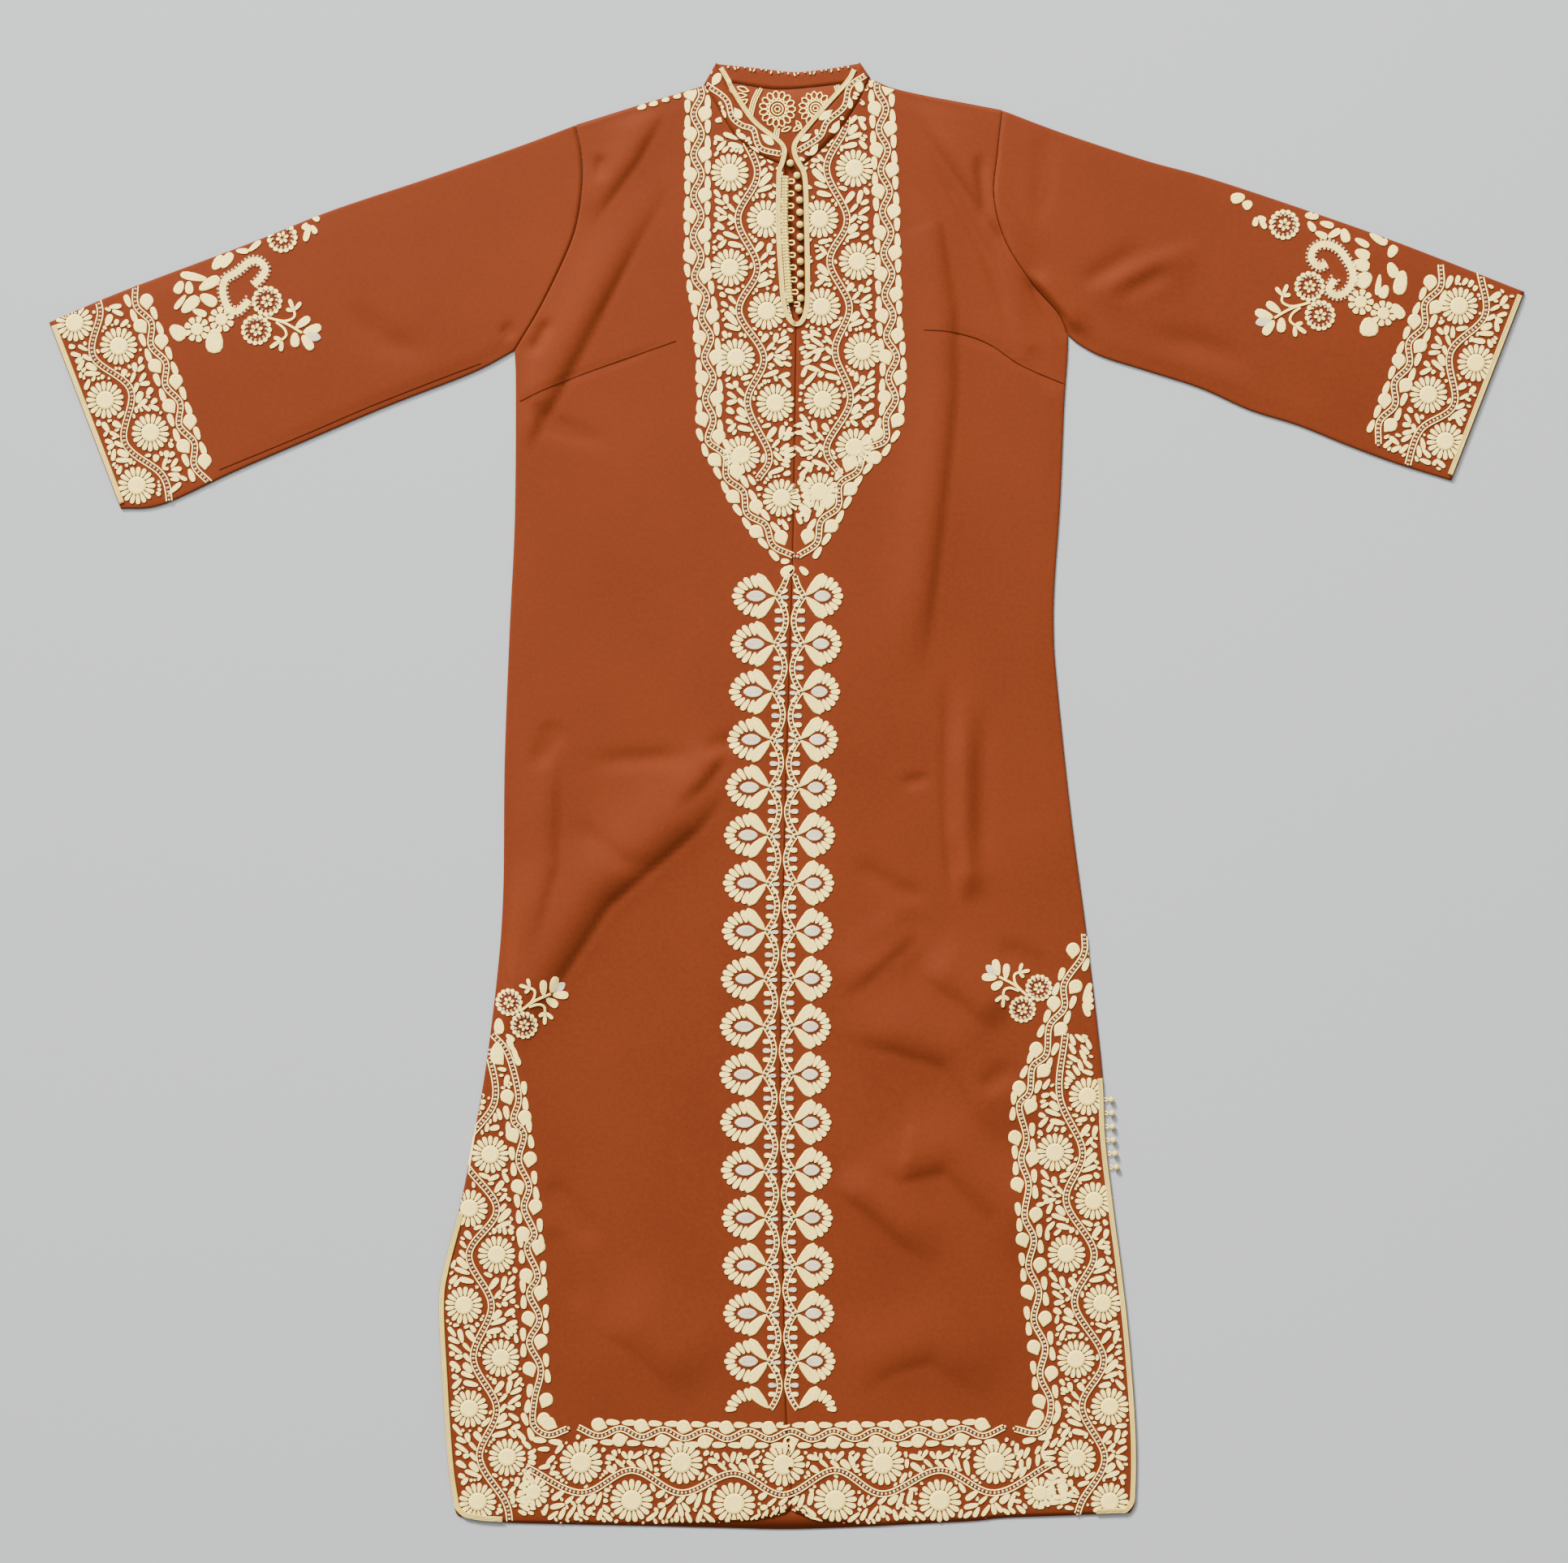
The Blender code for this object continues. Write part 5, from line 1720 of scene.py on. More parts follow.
@dataclass
class BorderVine:
    """A narrow winding vine with round leaves in its hollows and pairs of small leaves on its crests.

    The path is its middle, or, with no wave, the row of its crests.
    """

    path: list[Place]
    wave: float = 39.0
    swing: float = 3.9
    vine_width: float = 4.8
    leaf_size: Place = (17.0, 14.0)
    leaf_gap: float = 3.6
    bar_size: Place = (14.5, 6.6)
    bar_gap: float = 5.6
    first_side: int = 1
    bar_apart: float = 0.5
    bar_rise: float = 0.2
    leaf_slant: Place = (0.92, 0.3)
    leaf_clearance: float = 0.3

    def crests(self) -> np.ndarray:
        """The vine's crests, one each half wave."""
        if not self.wave:
            return np.array(self.path, float)
        total = length_of(smooth_line(self.path, even(60)))
        halves = max(2, round(2 * total / self.wave))
        middle = smooth_line(self.path, (np.arange(halves) + 0.5) / halves)
        side = self.first_side * (-1.0) ** np.arange(halves)
        offset = beside(middle, self.swing) - middle
        return middle + side[:, None] * offset

    def lay_out(self, plan: SewingPlan) -> None:
        """Add the vine."""
        crests = self.crests()
        line = smooth_line(crests, even(8 * len(crests)))
        plan.vine(line, self.vine_width)

    def fill(self, plan: SewingPlan) -> None:
        """Add the leaves in the hollows and on the crests."""
        crests = self.crests()
        for before, crest, after in zip(crests[:-2], crests[1:-1], crests[2:]):
            forward = (after - before) / np.hypot(*(after - before))
            to_left = np.array([-forward[1], forward[0]])
            side = 1 if (crest - 0.5 * (before + after)) @ to_left > 0 else -1
            out = side * to_left
            for way in (-1, 1):
                root = crest + self.bar_gap * out + way * self.bar_apart * forward
                tip = crest + (self.bar_gap + self.bar_rise) * out + way * self.bar_size[0] * forward
                plan.between(Motif.LEAF, root, tip, self.bar_size[1])
                plan.block(np.array([root, tip]), 0.5 * self.bar_size[1])
            middle = crest - (self.leaf_gap + 0.5 * self.leaf_size[1]) * out
            slant = self.leaf_slant[0] * forward + self.leaf_slant[1] * out
            reach = 0.5 * self.leaf_size[0] * slant
            plan.between(Motif.DROP, middle + reach, middle - reach, self.leaf_size[1])
            plan.walls.take(middle, 0.5 * self.leaf_size[1] + self.leaf_clearance)


@dataclass
class PalmetteBand:
    """The centre band: two mirrored cusped vines with a row of palmettes outside each."""

    first_y: float = 189.0
    pitch: float = 45.3
    count: int = 17
    cusp: float = 12.8
    waist: float = 3.5
    vine_width: float = 4.2
    horn_length: float = 27.0
    horn_reach: float = 21.0
    stem_gap: float = 1.6
    arch_power: float = 1.8
    half_arch: float = 0.42
    bar_step: float = 8.6
    bar_root: float = 2.4
    bar_size: Place = (8.8, 5.4)
    seed: Leaf = Leaf(8.6, 0.0, 28.0, 0.0, 11.4)
    fan_petals = [
        Leaf(17.4, 7.4, 22.0, 20.0, 6.6), Leaf(21.6, 6.8, 29.6, 17.8, 6.4),
        Leaf(25.6, 5.6, 35.4, 12.8, 6.4), Leaf(28.6, 3.2, 39.6, 6.8, 6.2),
        Leaf(30.2, 0.0, 41.6, 0.0, 6.2),
    ]
    # The small leaves between the vines, from the band's middle
    bits = [
        (Leaf(9.5, 2.2, 2.6, 6.5, 4.2), Thread.CREAM),
        (Leaf(9.5, -1.0, 1.6, -1.0, 4.4), Thread.SILVER),
        (Leaf(9.8, -4.0, 2.8, -10.0, 4.2), Thread.CREAM),
    ]
    reach = {Side.LEFT: 1.0, Side.RIGHT: 0.86}

    middle = [
        (5, 260), (4, 205), (1.5, 120), (-3.5, -15), (-8.5, -246), (-5, -477), (-2.5, -590),
        (1.5, -640),
    ]

    def centre(self, y: float) -> float:
        """x of the band's middle at a height y."""
        return Cut.edge_at(self.middle, y)

    def lay_out(self, plan: SewingPlan) -> None:
        """Add the vines and the palmettes."""
        for side in Side:
            for number in range(self.count + 1):
                stem_y = self.first_y - number * self.pitch
                self.arch(plan, side, stem_y, whole=number > 0)
                self.palmette(plan, side, stem_y, whole=number < self.count)

    def arch(self, plan: SewingPlan, side: Side, start: float, whole: bool) -> None:
        """One arch of the cusped vine, above a palmette, and the small bars outside it."""
        share = even(12) if whole else self.half_arch * even(6)
        swing = self.waist + (self.cusp - self.waist) * np.abs(2 * share - 1) ** self.arch_power
        y = start + self.pitch * share
        x = np.array([self.centre(value) for value in y]) + side.sign * swing
        plan.vine(np.stack([x, y], axis=1), self.vine_width)
        if not whole:
            return
        middle = start + 0.5 * self.pitch
        out = 0.0 if side is Side.RIGHT else math.pi
        x = self.centre(middle) + side.sign * (self.waist + self.bar_root)
        for number, thread in ((-1, Thread.CREAM), (0, Thread.SILVER), (1, Thread.CREAM)):
            plan.put(Motif.LEAF, (x, middle + number * self.bar_step), out, *self.bar_size, thread)

    def palmette(self, plan: SewingPlan, side: Side, y: float, whole: bool) -> None:
        """One palmette: two curved leaves, a fan of petals, a silver seed and small bits inside.

        Args:
            plan: the plan that it is added to.
            side: the side of the band.
            y: the height of its stem.
            whole: false for the last one, of which only the upper half shows.
        """
        stem = np.array([self.centre(y) + side.sign * (self.cusp + self.stem_gap), y])
        out = 0.0 if side is Side.RIGHT else math.pi
        upper = Motif.HORN_LEFT if side is Side.RIGHT else Motif.HORN_RIGHT
        stretch = np.array([side.sign * self.reach[side], 1.0])
        for motif in (Motif.HORN_LEFT, Motif.HORN_RIGHT):
            if whole or motif is upper:
                plan.put(motif, stem, out, self.horn_length, self.horn_reach)
        for leaf in self.fan_petals:
            for way in ((1, -1) if leaf.tip_y and whole else (1,)):
                root = stem + stretch * (leaf.root_x, way * leaf.root_y)
                tip = stem + stretch * (leaf.tip_x, way * leaf.tip_y)
                plan.between(Motif.PETAL, root, tip, leaf.width)
        if not whole:
            return
        root, tip = (stem + stretch * end for end in (self.seed.root, self.seed.tip))
        plan.between(Motif.SEED, root, tip, self.seed.width, Thread.SILVER)
        x = self.centre(y)
        for bit, thread in self.bits:
            root, tip = ((x + side.sign * end[0], y + end[1]) for end in (bit.root, bit.tip))
            plan.between(Motif.LEAF, root, tip, bit.width, thread)

    def fill(self, plan: SewingPlan) -> None:
        """The band has no other leaves."""


@dataclass
class CornerSpray:
    """Two ring flowers side by side and a sprig that leaves them, ending in a tulip."""

    place: Place
    direction: float
    mirrored: bool
    scale: float = 1.0

    flowers = [(-6.8, 14.2), (-6.2, -14.8)]
    radius: float = 14.8
    stems = [
        [(-2, 0), (17, 1), (35, -1.7)],
        [(5.6, 0.5), (16.3, 2.9), (22.9, 9.6), (20.2, 15.5)],
        [(8.6, -1.3), (17.8, -4), (22.2, -9.2), (19.6, -15)],
        [(27, 0), (30, 2)],
    ]
    leaves = [
        Leaf(35.9, -1.5, 50.2, 11.0, 9.6),
        Leaf(35.9, -3.5, 50.4, -13.2, 9.6),
        Leaf(27.7, 0.6, 36.9, 15.1, 8.6),
        Leaf(28.5, -3.5, 34.2, -17.1, 9.6),
        Leaf(20.2, 15.2, 11.8, 24.0, 4.8),
        Leaf(20.6, 15.4, 23.6, 25.4, 4.8),
        Leaf(20.0, 14.6, 12.6, 13.6, 4.6),
        Leaf(19.4, -14.6, 11.4, -15.6, 4.8),
        Leaf(19.4, -15.0, 11.8, -26.4, 4.8),
        Leaf(20.0, -15.2, 23.0, -25.8, 5.0),
    ]
    seed = Leaf(38.3, -2.2, 54.0, 0.2, 10.0)

    def at(self, x: float, y: float) -> np.ndarray:
        """Turn the spray's own place into the kaftan's."""
        flip = -1 if self.mirrored else 1
        return np.array(self.place) + turned((self.scale * x, self.scale * flip * y), self.direction)

    def lay_out(self, plan: SewingPlan) -> None:
        """Add the flowers, the stems and the leaves."""
        for flower in self.flowers:
            plan.ring_flower(self.at(*flower), self.radius * self.scale)
        for stem in self.stems:
            line = smooth_line([tuple(self.at(*point)) for point in stem], even(14))
            plan.cords += [beside(line, 0.55), beside(line, -0.55)]
        for leaf in self.leaves:
            width = leaf.width * self.scale
            plan.between(Motif.LEAF, self.at(*leaf.root), self.at(*leaf.tip), width)
        root, tip = self.at(*self.seed.root), self.at(*self.seed.tip)
        plan.between(Motif.SEED, root, tip, self.seed.width * self.scale, Thread.SILVER)

    def fill(self, plan: SewingPlan) -> None:
        """The spray has no other leaves."""


@dataclass
class LooseCluster:
    """A free group of leaves and small blossoms, and the thick hook edged with loops beside it."""

    leaves: list[Leaf]
    blossoms: list[Place] = field(default_factory=list)
    ring_flowers: list[Place] = field(default_factory=list)
    hook: list[Place] = field(default_factory=list)
    blossom_radius: float = 12.5
    petals: int = 9
    ring_radius: float = 14.8
    hook_half: float = 3.0
    leaf_wider: float = 1.25

    def lay_out(self, plan: SewingPlan) -> None:
        """Add the flowers, the hook and the leaves."""
        for flower in self.ring_flowers:
            plan.ring_flower(flower, self.ring_radius)
        for number, blossom in enumerate(self.blossoms):
            plan.rosette(blossom, self.blossom_radius, petals=self.petals, start=0.3 * number)
        for leaf in self.leaves:
            plan.between(Motif.LEAF, leaf.root, leaf.tip, leaf.width * self.leaf_wider)
        if not self.hook:
            return
        line = smooth_line(self.hook, even(60))
        for offset in np.linspace(-0.84, 0.84, 5):
            plan.cords.append(beside(line, float(offset) * self.hook_half))
        plan.beads += [beside(line, 1.4 * self.hook_half), beside(line, -1.4 * self.hook_half)]

    def fill(self, plan: SewingPlan) -> None:
        """The cluster has no other leaves."""


class Patterns:
    """Where the bands of embroidery lie on the kaftan, in mm."""

    bib_rows = {
        Side.LEFT: [
            (-56, 684), (-20, 640), (-54, 590), (-20, 546), (-54, 500), (-19, 459), (-48, 415),
            (-11, 372), (-43, 323),
        ],
        Side.RIGHT: [
            (68, 684), (31, 640), (64, 594), (31, 546), (67, 506), (33, 463), (72, 421), (34, 375),
            (64, 330),
        ],
    }
    bib_borders = {
        Side.LEFT: [
            (-84.5, 694), (-84.5, 590), (-84.5, 501), (-78, 462), (-73.5, 400), (-72.5, 345),
            (-62, 321), (-44, 285), (-24, 255), (-2, 231), (8, 217),
        ],
        Side.RIGHT: [
            (88, 700), (92, 610), (94.5, 549), (97.5, 444), (100.5, 418), (97.5, 354), (86, 334), (60, 304),
            (41, 267), (26, 243), (9, 217),
        ],
    }
    hem_row = [
        (-195, -632), (-147, -668), (-100, -632), (-50, -671), (-3, -634), (46, -668), (91, -633),
        (145, -668), (197, -632),
    ]
    slit_rows = {
        Side.LEFT: [
            (-303, -290), (-281, -340), (-301, -391), (-275, -435), (-306, -483), (-271, -533),
            (-301, -581), (-265, -627), (-293, -669),
        ],
        Side.RIGHT: [
            (285, -285), (254, -338), (291, -384), (265, -434), (299, -481), (274, -534),
            (306, -579), (275, -628), (306, -669),
        ],
    }
    slit_borders = {
        Side.LEFT: [
            (-279, -226), (-264, -245), (-254, -285), (-259, -307), (-249, -321), (-254, -346),
            (-244, -370), (-249, -391), (-239, -415), (-246, -429), (-236, -455), (-244, -472),
            (-234, -496), (-244, -518), (-233, -543), (-239, -572), (-240, -596), (-226, -606),
            (-208, -600),
        ],
        Side.RIGHT: [
            (282, -131), (281, -151), (263, -178), (263, -201), (249, -218), (246, -245),
            (233, -257), (230, -281), (220, -294), (227, -324), (222, -345), (229, -368),
            (225, -398), (234, -420), (229, -446), (239, -470), (234, -497), (245, -522),
            (240, -549), (250, -573), (247, -594), (236, -604), (216, -600),
        ],
    }
    hem_border = [(-208, -602), (-100, -605), (0, -606), (100, -605), (216, -602)]
    cuff_rows = {
        Side.LEFT: [(-675, 448), (-633, 426), (-646, 375), (-603, 344), (-616, 294)],
        Side.RIGHT: [(637, 464), (653, 410), (608, 380), (624, 336)],
    }
    cuff_borders = {
        Side.LEFT: [(-625, 493), (-613, 466), (-590, 404), (-568, 341), (-547, 286)],
        Side.RIGHT: [(627, 511), (612, 474), (590, 420), (571, 367), (553, 326)],
    }

    clusters = {
        Side.LEFT: LooseCluster(
            leaves=[
                Leaf(-541.9, 443.0, -542.4, 418.7, 14.0), Leaf(-557.0, 479.2, -537.0, 491.1, 9.0),
                Leaf(-555.9, 474.3, -539.7, 465.1, 9.5), Leaf(-572.7, 487.8, -578.6, 475.4, 8.0),
                Leaf(-566.7, 487.8, -565.6, 474.9, 7.0), Leaf(-568.9, 474.9, -580.2, 460.3, 5.0),
                Leaf(-573.2, 457.6, -557.0, 472.7, 10.0), Leaf(-548.3, 488.9, -575.4, 494.3, 7.0),
                Leaf(-544.0, 498.6, -533.2, 511.6, 9.0), Leaf(-535.4, 499.7, -525.7, 514.8, 8.0),
                Leaf(-522.4, 516.5, -509.4, 515.9, 5.0), Leaf(-510.5, 515.4, -498.1, 526.2, 5.0),
                Leaf(-454.3, 542.9, -458.7, 536.4, 5.0), Leaf(-452.2, 541.8, -456.5, 524.5, 5.5),
                Leaf(-450.6, 540.8, -445.7, 532.1, 5.0), Leaf(-450.0, 548.3, -442.5, 545.6, 5.0),
                Leaf(-584.0, 445.0, -570.0, 433.0, 12.0), Leaf(-563.0, 460.0, -549.0, 455.0, 6.0),
            ],
            blossoms=[(-558.6, 441.9), (-535.4, 451.1)],
            ring_flowers=[(-478.1, 528.9)],
            hook=[
                (-505.1, 483.5), (-498.6, 490.0), (-493.8, 498.6), (-499.7, 506.2), (-508.4, 506.2),
                (-520.3, 496.5), (-531.1, 490.0), (-534.3, 481.3), (-533.2, 471.6), (-528.9, 461.9),
                (-521.3, 458.6), (-513.8, 464.0), (-509.4, 469.4),
            ],
        ),
        Side.RIGHT: LooseCluster(
            leaves=[
                Leaf(434.4, 568.0, 420.4, 564.8, 9.0), Leaf(440.9, 562.6, 432.3, 557.2, 8.0),
                Leaf(444.7, 548.6, 443.1, 538.9, 5.0), Leaf(445.8, 548.6, 453.9, 544.3, 5.5),
                Leaf(447.9, 547.0, 453.9, 536.7, 5.0), Leaf(493.9, 544.3, 500.3, 534.5, 6.0),
                Leaf(500.3, 534.0, 512.2, 528.6, 6.0), Leaf(512.2, 528.6, 525.2, 536.7, 6.0),
                Leaf(504.7, 543.2, 518.7, 539.4, 6.0), Leaf(490.6, 549.7, 504.7, 549.7, 7.0),
                Leaf(527.3, 537.8, 530.6, 523.7, 8.0), Leaf(538.1, 516.2, 552.2, 509.7, 9.0),
                Leaf(536.0, 505.4, 552.2, 500.0, 10.0), Leaf(553.3, 494.6, 540.3, 482.7, 13.0),
                Leaf(551.1, 453.5, 551.7, 434.6, 15.0), Leaf(561.9, 494.6, 558.7, 473.0, 5.0),
                Leaf(568.4, 483.8, 563.0, 470.8, 8.0), Leaf(552.2, 533.5, 569.5, 522.7, 8.0),
                Leaf(570.6, 509.7, 577.0, 521.6, 8.0), Leaf(570.6, 505.4, 577.0, 490.3, 9.0),
                Leaf(538.0, 528.0, 552.0, 520.0, 6.0), Leaf(584.0, 498.0, 579.0, 474.0, 11.0),
                Leaf(574.0, 466.0, 584.0, 452.0, 9.0),
            ],
            blossoms=[(543.5, 467.6), (565.2, 456.8)],
            ring_flowers=[(471.2, 541.0)],
            hook=[
                (511.1, 504.3), (503.6, 501.1), (496.6, 509.7), (500.3, 519.4), (511.1, 522.7),
                (523.0, 517.3), (531.7, 505.4), (536.0, 495.7), (534.9, 484.8), (528.4, 476.2),
                (519.8, 474.0), (513.3, 479.4), (518.7, 489.2),
            ],
        ),
    }

    bib_point = LooseCluster([
        Leaf(7, 217, -5, 208, 9.5), Leaf(12, 217, 20, 209, 5.5), Leaf(3, 222, -6, 222, 5.0),
    ])
    shoulder_leaves = LooseCluster([
        Leaf(-142, 651, -133, 654, 4.6), Leaf(-131, 654.5, -122, 657, 4.6),
        Leaf(-119, 658.5, -111, 660.5, 4.2), Leaf(-108, 662, -100, 664, 4.6),
        Leaf(-97, 665.5, -90, 667.5, 4.2),
    ])
    slit_tops = {
        Side.LEFT: LooseCluster([
            Leaf(-273.1, -210.5, -272.3, -226.5, 8.5), Leaf(-273.8, -233.4, -275.3, -254.5, 11.0),
            Leaf(-260.5, -236.3, -255.4, -250.1, 4.6), Leaf(-266, -226, -258, -233, 5.0),
        ]),
        Side.RIGHT: LooseCluster([
            Leaf(280.8, -196.1, 288.3, -176.9, 5.6), Leaf(280.8, -196.1, 289.2, -186.1, 5.6),
            Leaf(280.8, -196.1, 290.8, -192.7, 5.2), Leaf(280.8, -196.1, 290.8, -201.9, 5.6),
            Leaf(280.8, -196.1, 286.7, -209.8, 5.6),
        ]),
    }

    @classmethod
    def bands(cls) -> dict[str, list[Band]]:
        """The bands of each stretch, by the stretch's name."""
        left, right = Side.LEFT, Side.RIGHT
        down = (0, -1)
        bib = {
            side: [
                FlowerBand(cls.bib_rows[side], 18.4, down, side.sign, end=[stop], lone=[last]),
                BorderVine(cls.bib_borders[side], first_side=side.sign),
            ]
            for side, stop, last in ((left, (-27, 300), (-5, 282)), (right, (51, 304), (31, 288)))
        }
        slits = {
            left: [
                FlowerBand(cls.slit_rows[left], 18.2, down, -1, start=[(-283, -240)], end=[(-262, -692)]),
                BorderVine(cls.slit_borders[left], wave=0),
                CornerSpray((-251.0, -203.0), math.radians(32), False, 0.9),
                cls.slit_tops[left],
            ],
            right: [
                FlowerBand(cls.slit_rows[right], 18.4, down, 1, start=[(264, -225)], end=[(273, -692)]),
                BorderVine(cls.slit_borders[right], wave=0),
                CornerSpray((226.6, -188.6), math.radians(143.5), True, 0.88),
                cls.slit_tops[right],
            ],
        }
        hem = [
            FlowerBand(
                cls.hem_row, 20.8, (1, 0), 1, start=[(-247.6, -636)], end=[(251, -633)], spray_scale=1.1,
            ),
            BorderVine(cls.hem_border, wave=41),
            LooseCluster([], blossoms=[(240, -661), (-240, -660)], blossom_radius=15.5, petals=13),
        ]
        cuffs = {
            left: [
                FlowerBand(
                    cls.cuff_rows[left], 18.2, (65, -170), -1, start=[(-657, 478)], end=[(-584, 270)],
                ),
                BorderVine(cls.cuff_borders[left]),
                CornerSpray((-491.1, 452.7), math.radians(-21.5), False),
                cls.clusters[left],
            ],
            right: [
                FlowerBand(
                    cls.cuff_rows[right], 18.2, (-69, -179), -1, start=[(657, 496)], end=[(585, 300)],
                ),
                BorderVine(cls.cuff_borders[right], first_side=-1),
                CornerSpray((493.8, 466.5), math.radians(201), True),
                cls.clusters[right],
            ],
        }
        bib[left] += [cls.bib_point, cls.shoulder_leaves]
        named_bands = {"centre": [PalmetteBand()], "hem": hem}
        for side in Side:
            named_bands[f"bib_{side.value}"] = bib[side]
            named_bands[f"slit_{side.value}"] = slits[side]
            named_bands[f"cuff_{side.value}"] = cuffs[side]
        return named_bands

    @classmethod
    def edges(cls, name: str) -> list[tuple[np.ndarray, float]]:
        """Lines that the loose leaves of a stretch keep off, and by how much."""
        outline = Cut.outline()
        slit = {side: smooth_line(Cut.slit_edge[side], even(20)) for side in Side}
        collar = {side: smooth_line(Cut.neckline[side], even(20)) for side in Side}
        borders = {side: smooth_line(cls.slit_borders[side], even(90)) for side in Side}
        seam = smooth_line(Cut.centre_seam, even(60))
        found = [(outline, 1.0)]
        for side in Side:
            if name == f"bib_{side.value}":
                found += [(slit[side] + (side.sign * 6.5, 0), 1.0), (collar[side] + (0, 3), 1.0)]
                found.append((seam, 1.2))
            if name in ("hem", f"slit_{side.value}"):
                corner = [(side.sign * 234, -608), (side.sign * 234, -694)]
                found.append((np.array(corner, float), 1.0))
            if name == "hem":
                found.append((borders[side], 9.0))
        if name.startswith(("slit", "cuff")):
            found.append((outline, 5.4))
        return found


@dataclass
class Embroidery:
    """Sews plans on the cloth."""

    cord_radius: float = 0.65
    cord_step: float = 2.4
    bead_step: float = 3.9
    bead_size: tuple = (2.4, 2.9, 1.5)
    dart_radius: float = 0.55
    dart_step: float = 3.0

    def __post_init__(self) -> None:
        """Build the motif shelf and the node groups once."""
        self.shelf = MotifShelf().build()
        self.motifs = sewn_motifs_group()
        self.cord = couched_cord_group()
        self.row = bead_row_group()
        self.bead = next(item for item in self.shelf.objects if item.name.startswith(str(Motif.BEAD.value)))

    def dart_seams(self, cloth: bpy.types.Object) -> bpy.types.Object:
        """The pressed seams of the darts and of the left sleeve, as thin ridges of a darker twill that
        paints the shade in the seams' grooves.
        """
        paths = [dart.path for dart in LaidCloth.darts] + [Cut.sleeve_seam]
        lines = [smooth_line(path, even(40)) for path in paths]
        values = {"Step": self.dart_step * MM, "Radius": self.dart_radius * MM}
        values.update({"Cloth": cloth, "Thread": Finishes.seam})
        item = grow("dart_seams", self.lines_mesh(lines, 0.0), self.cord, values)
        return dress(item, "rust_twill")

    def points_mesh(self, stitches: Sequence[Stitch]) -> bpy.types.Mesh:
        """A mesh of loose points that carry each motif's kind, turn and size."""
        mesh = bpy.data.meshes.new("stitches")
        mesh.from_pydata([(stitch.x * MM, stitch.y * MM, 0) for stitch in stitches], [], [])
        columns = {
            "kind": ("INT", [stitch.motif.value for stitch in stitches]),
            "turn": ("FLOAT", [stitch.turn for stitch in stitches]),
        }
        for title, (kind, values) in columns.items():
            mesh.attributes.new(title, kind, "POINT").data.foreach_set("value", values)
        sizes = np.array([(stitch.length, stitch.width, stitch.height) for stitch in stitches]) * MM
        mesh.attributes.new("size", "FLOAT_VECTOR", "POINT").data.foreach_set("vector", sizes.ravel())
        return mesh

    def lines_mesh(self, lines: Sequence[np.ndarray], height: float) -> bpy.types.Mesh:
        """A mesh of open lines at one height over the cloth, in mm."""
        vertices, edges = [], []
        for line in lines:
            first = len(vertices)
            vertices += [(x * MM, y * MM, height * MM) for x, y in line]
            edges += [(number, number + 1) for number in range(first, len(vertices) - 1)]
        mesh = bpy.data.meshes.new("lines")
        mesh.from_pydata(vertices, edges, [])
        return mesh

    def sew(self, plan: SewingPlan, cloth: bpy.types.Object) -> list[bpy.types.Object]:
        """Sew a plan on a cloth: one piece of the cream thread and one of the silver."""
        made = []
        threads = {Thread.CREAM: Finishes.cream, Thread.SILVER: Finishes.silver}
        for thread, finish in threads.items():
            parts = []
            if plan.stitches[thread]:
                values = {"Motifs": self.shelf, "Cloth": cloth, "Thread": finish}
                mesh = self.points_mesh(plan.stitches[thread])
                parts.append(grow(f"{plan.name}_motifs_{thread.value}", mesh, self.motifs, values))
            if thread is Thread.CREAM and plan.cords:
                values = {"Step": self.cord_step * MM, "Radius": self.cord_radius * MM}
                values.update({"Cloth": cloth, "Thread": Finishes.cord})
                mesh = self.lines_mesh(plan.cords, 0.6 * self.cord_radius)
                parts.append(grow(f"{plan.name}_cords", mesh, self.cord, values))
            if thread is Thread.SILVER and plan.beads:
                values = {"Step": self.bead_step * MM, "Size": [size * MM for size in self.bead_size]}
                values.update({"Bead": self.bead, "Cloth": cloth, "Thread": Finishes.beads})
                mesh = self.lines_mesh(plan.beads, 0.0)
                parts.append(grow(f"{plan.name}_beads", mesh, self.row, values))
            if parts:
                made.append(dress(joined(f"{plan.name}_{thread.value}", parts), thread.value))
        return made


# Trims


@dataclass
class Ground:
    """Finds the height of the dressed cloth under a place."""

    cloth: bpy.types.Object

    def __post_init__(self) -> None:
        """Index the cloth's faces."""
        mesh = self.cloth.data
        faces = [tuple(face.vertices) for face in mesh.polygons]
        self.tree = BVHTree.FromPolygons([vertex.co for vertex in mesh.vertices], faces)

    def height(self, x: float, y: float) -> float | None:
        """Height of the cloth at a place, all in mm, or None beside it."""
        hit = self.tree.ray_cast(Vector((x * MM, y * MM, 0.2)), Vector((0, 0, -1)))[0]
        return None if hit is None else hit.z / MM


def chart_by_vertex(item: bpy.types.Object, chart: np.ndarray) -> None:
    """Give a mesh its UV map from one row of u and v, in mm, for each vertex."""
    layer = item.data.uv_layers.new(name="UVMap")
    corners = np.empty(len(item.data.loops), np.int32)
    item.data.loops.foreach_get("vertex_index", corners)
    layer.data.foreach_set("uv", (chart[corners] * MM).astype(np.float32).ravel())


def swept(name: str, stations: np.ndarray, chart: np.ndarray,
          material: bpy.types.Material) -> bpy.types.Object:
    """Skin closed rings of points into a tube with ends.

    Args:
        name: the piece's name.
        stations: stations, points of each ring, and x, y, z in mm.
        chart: u and v of each point in mm.
        material: its material.

    Returns:
        The tube.
    """
    faces = ring_faces(*stations.shape[:2])
    item = new_piece(name, stations.reshape(-1, 3), faces, material)
    chart_by_vertex(item, chart.reshape(-1, 2))
    face_outwards(item)
    return item


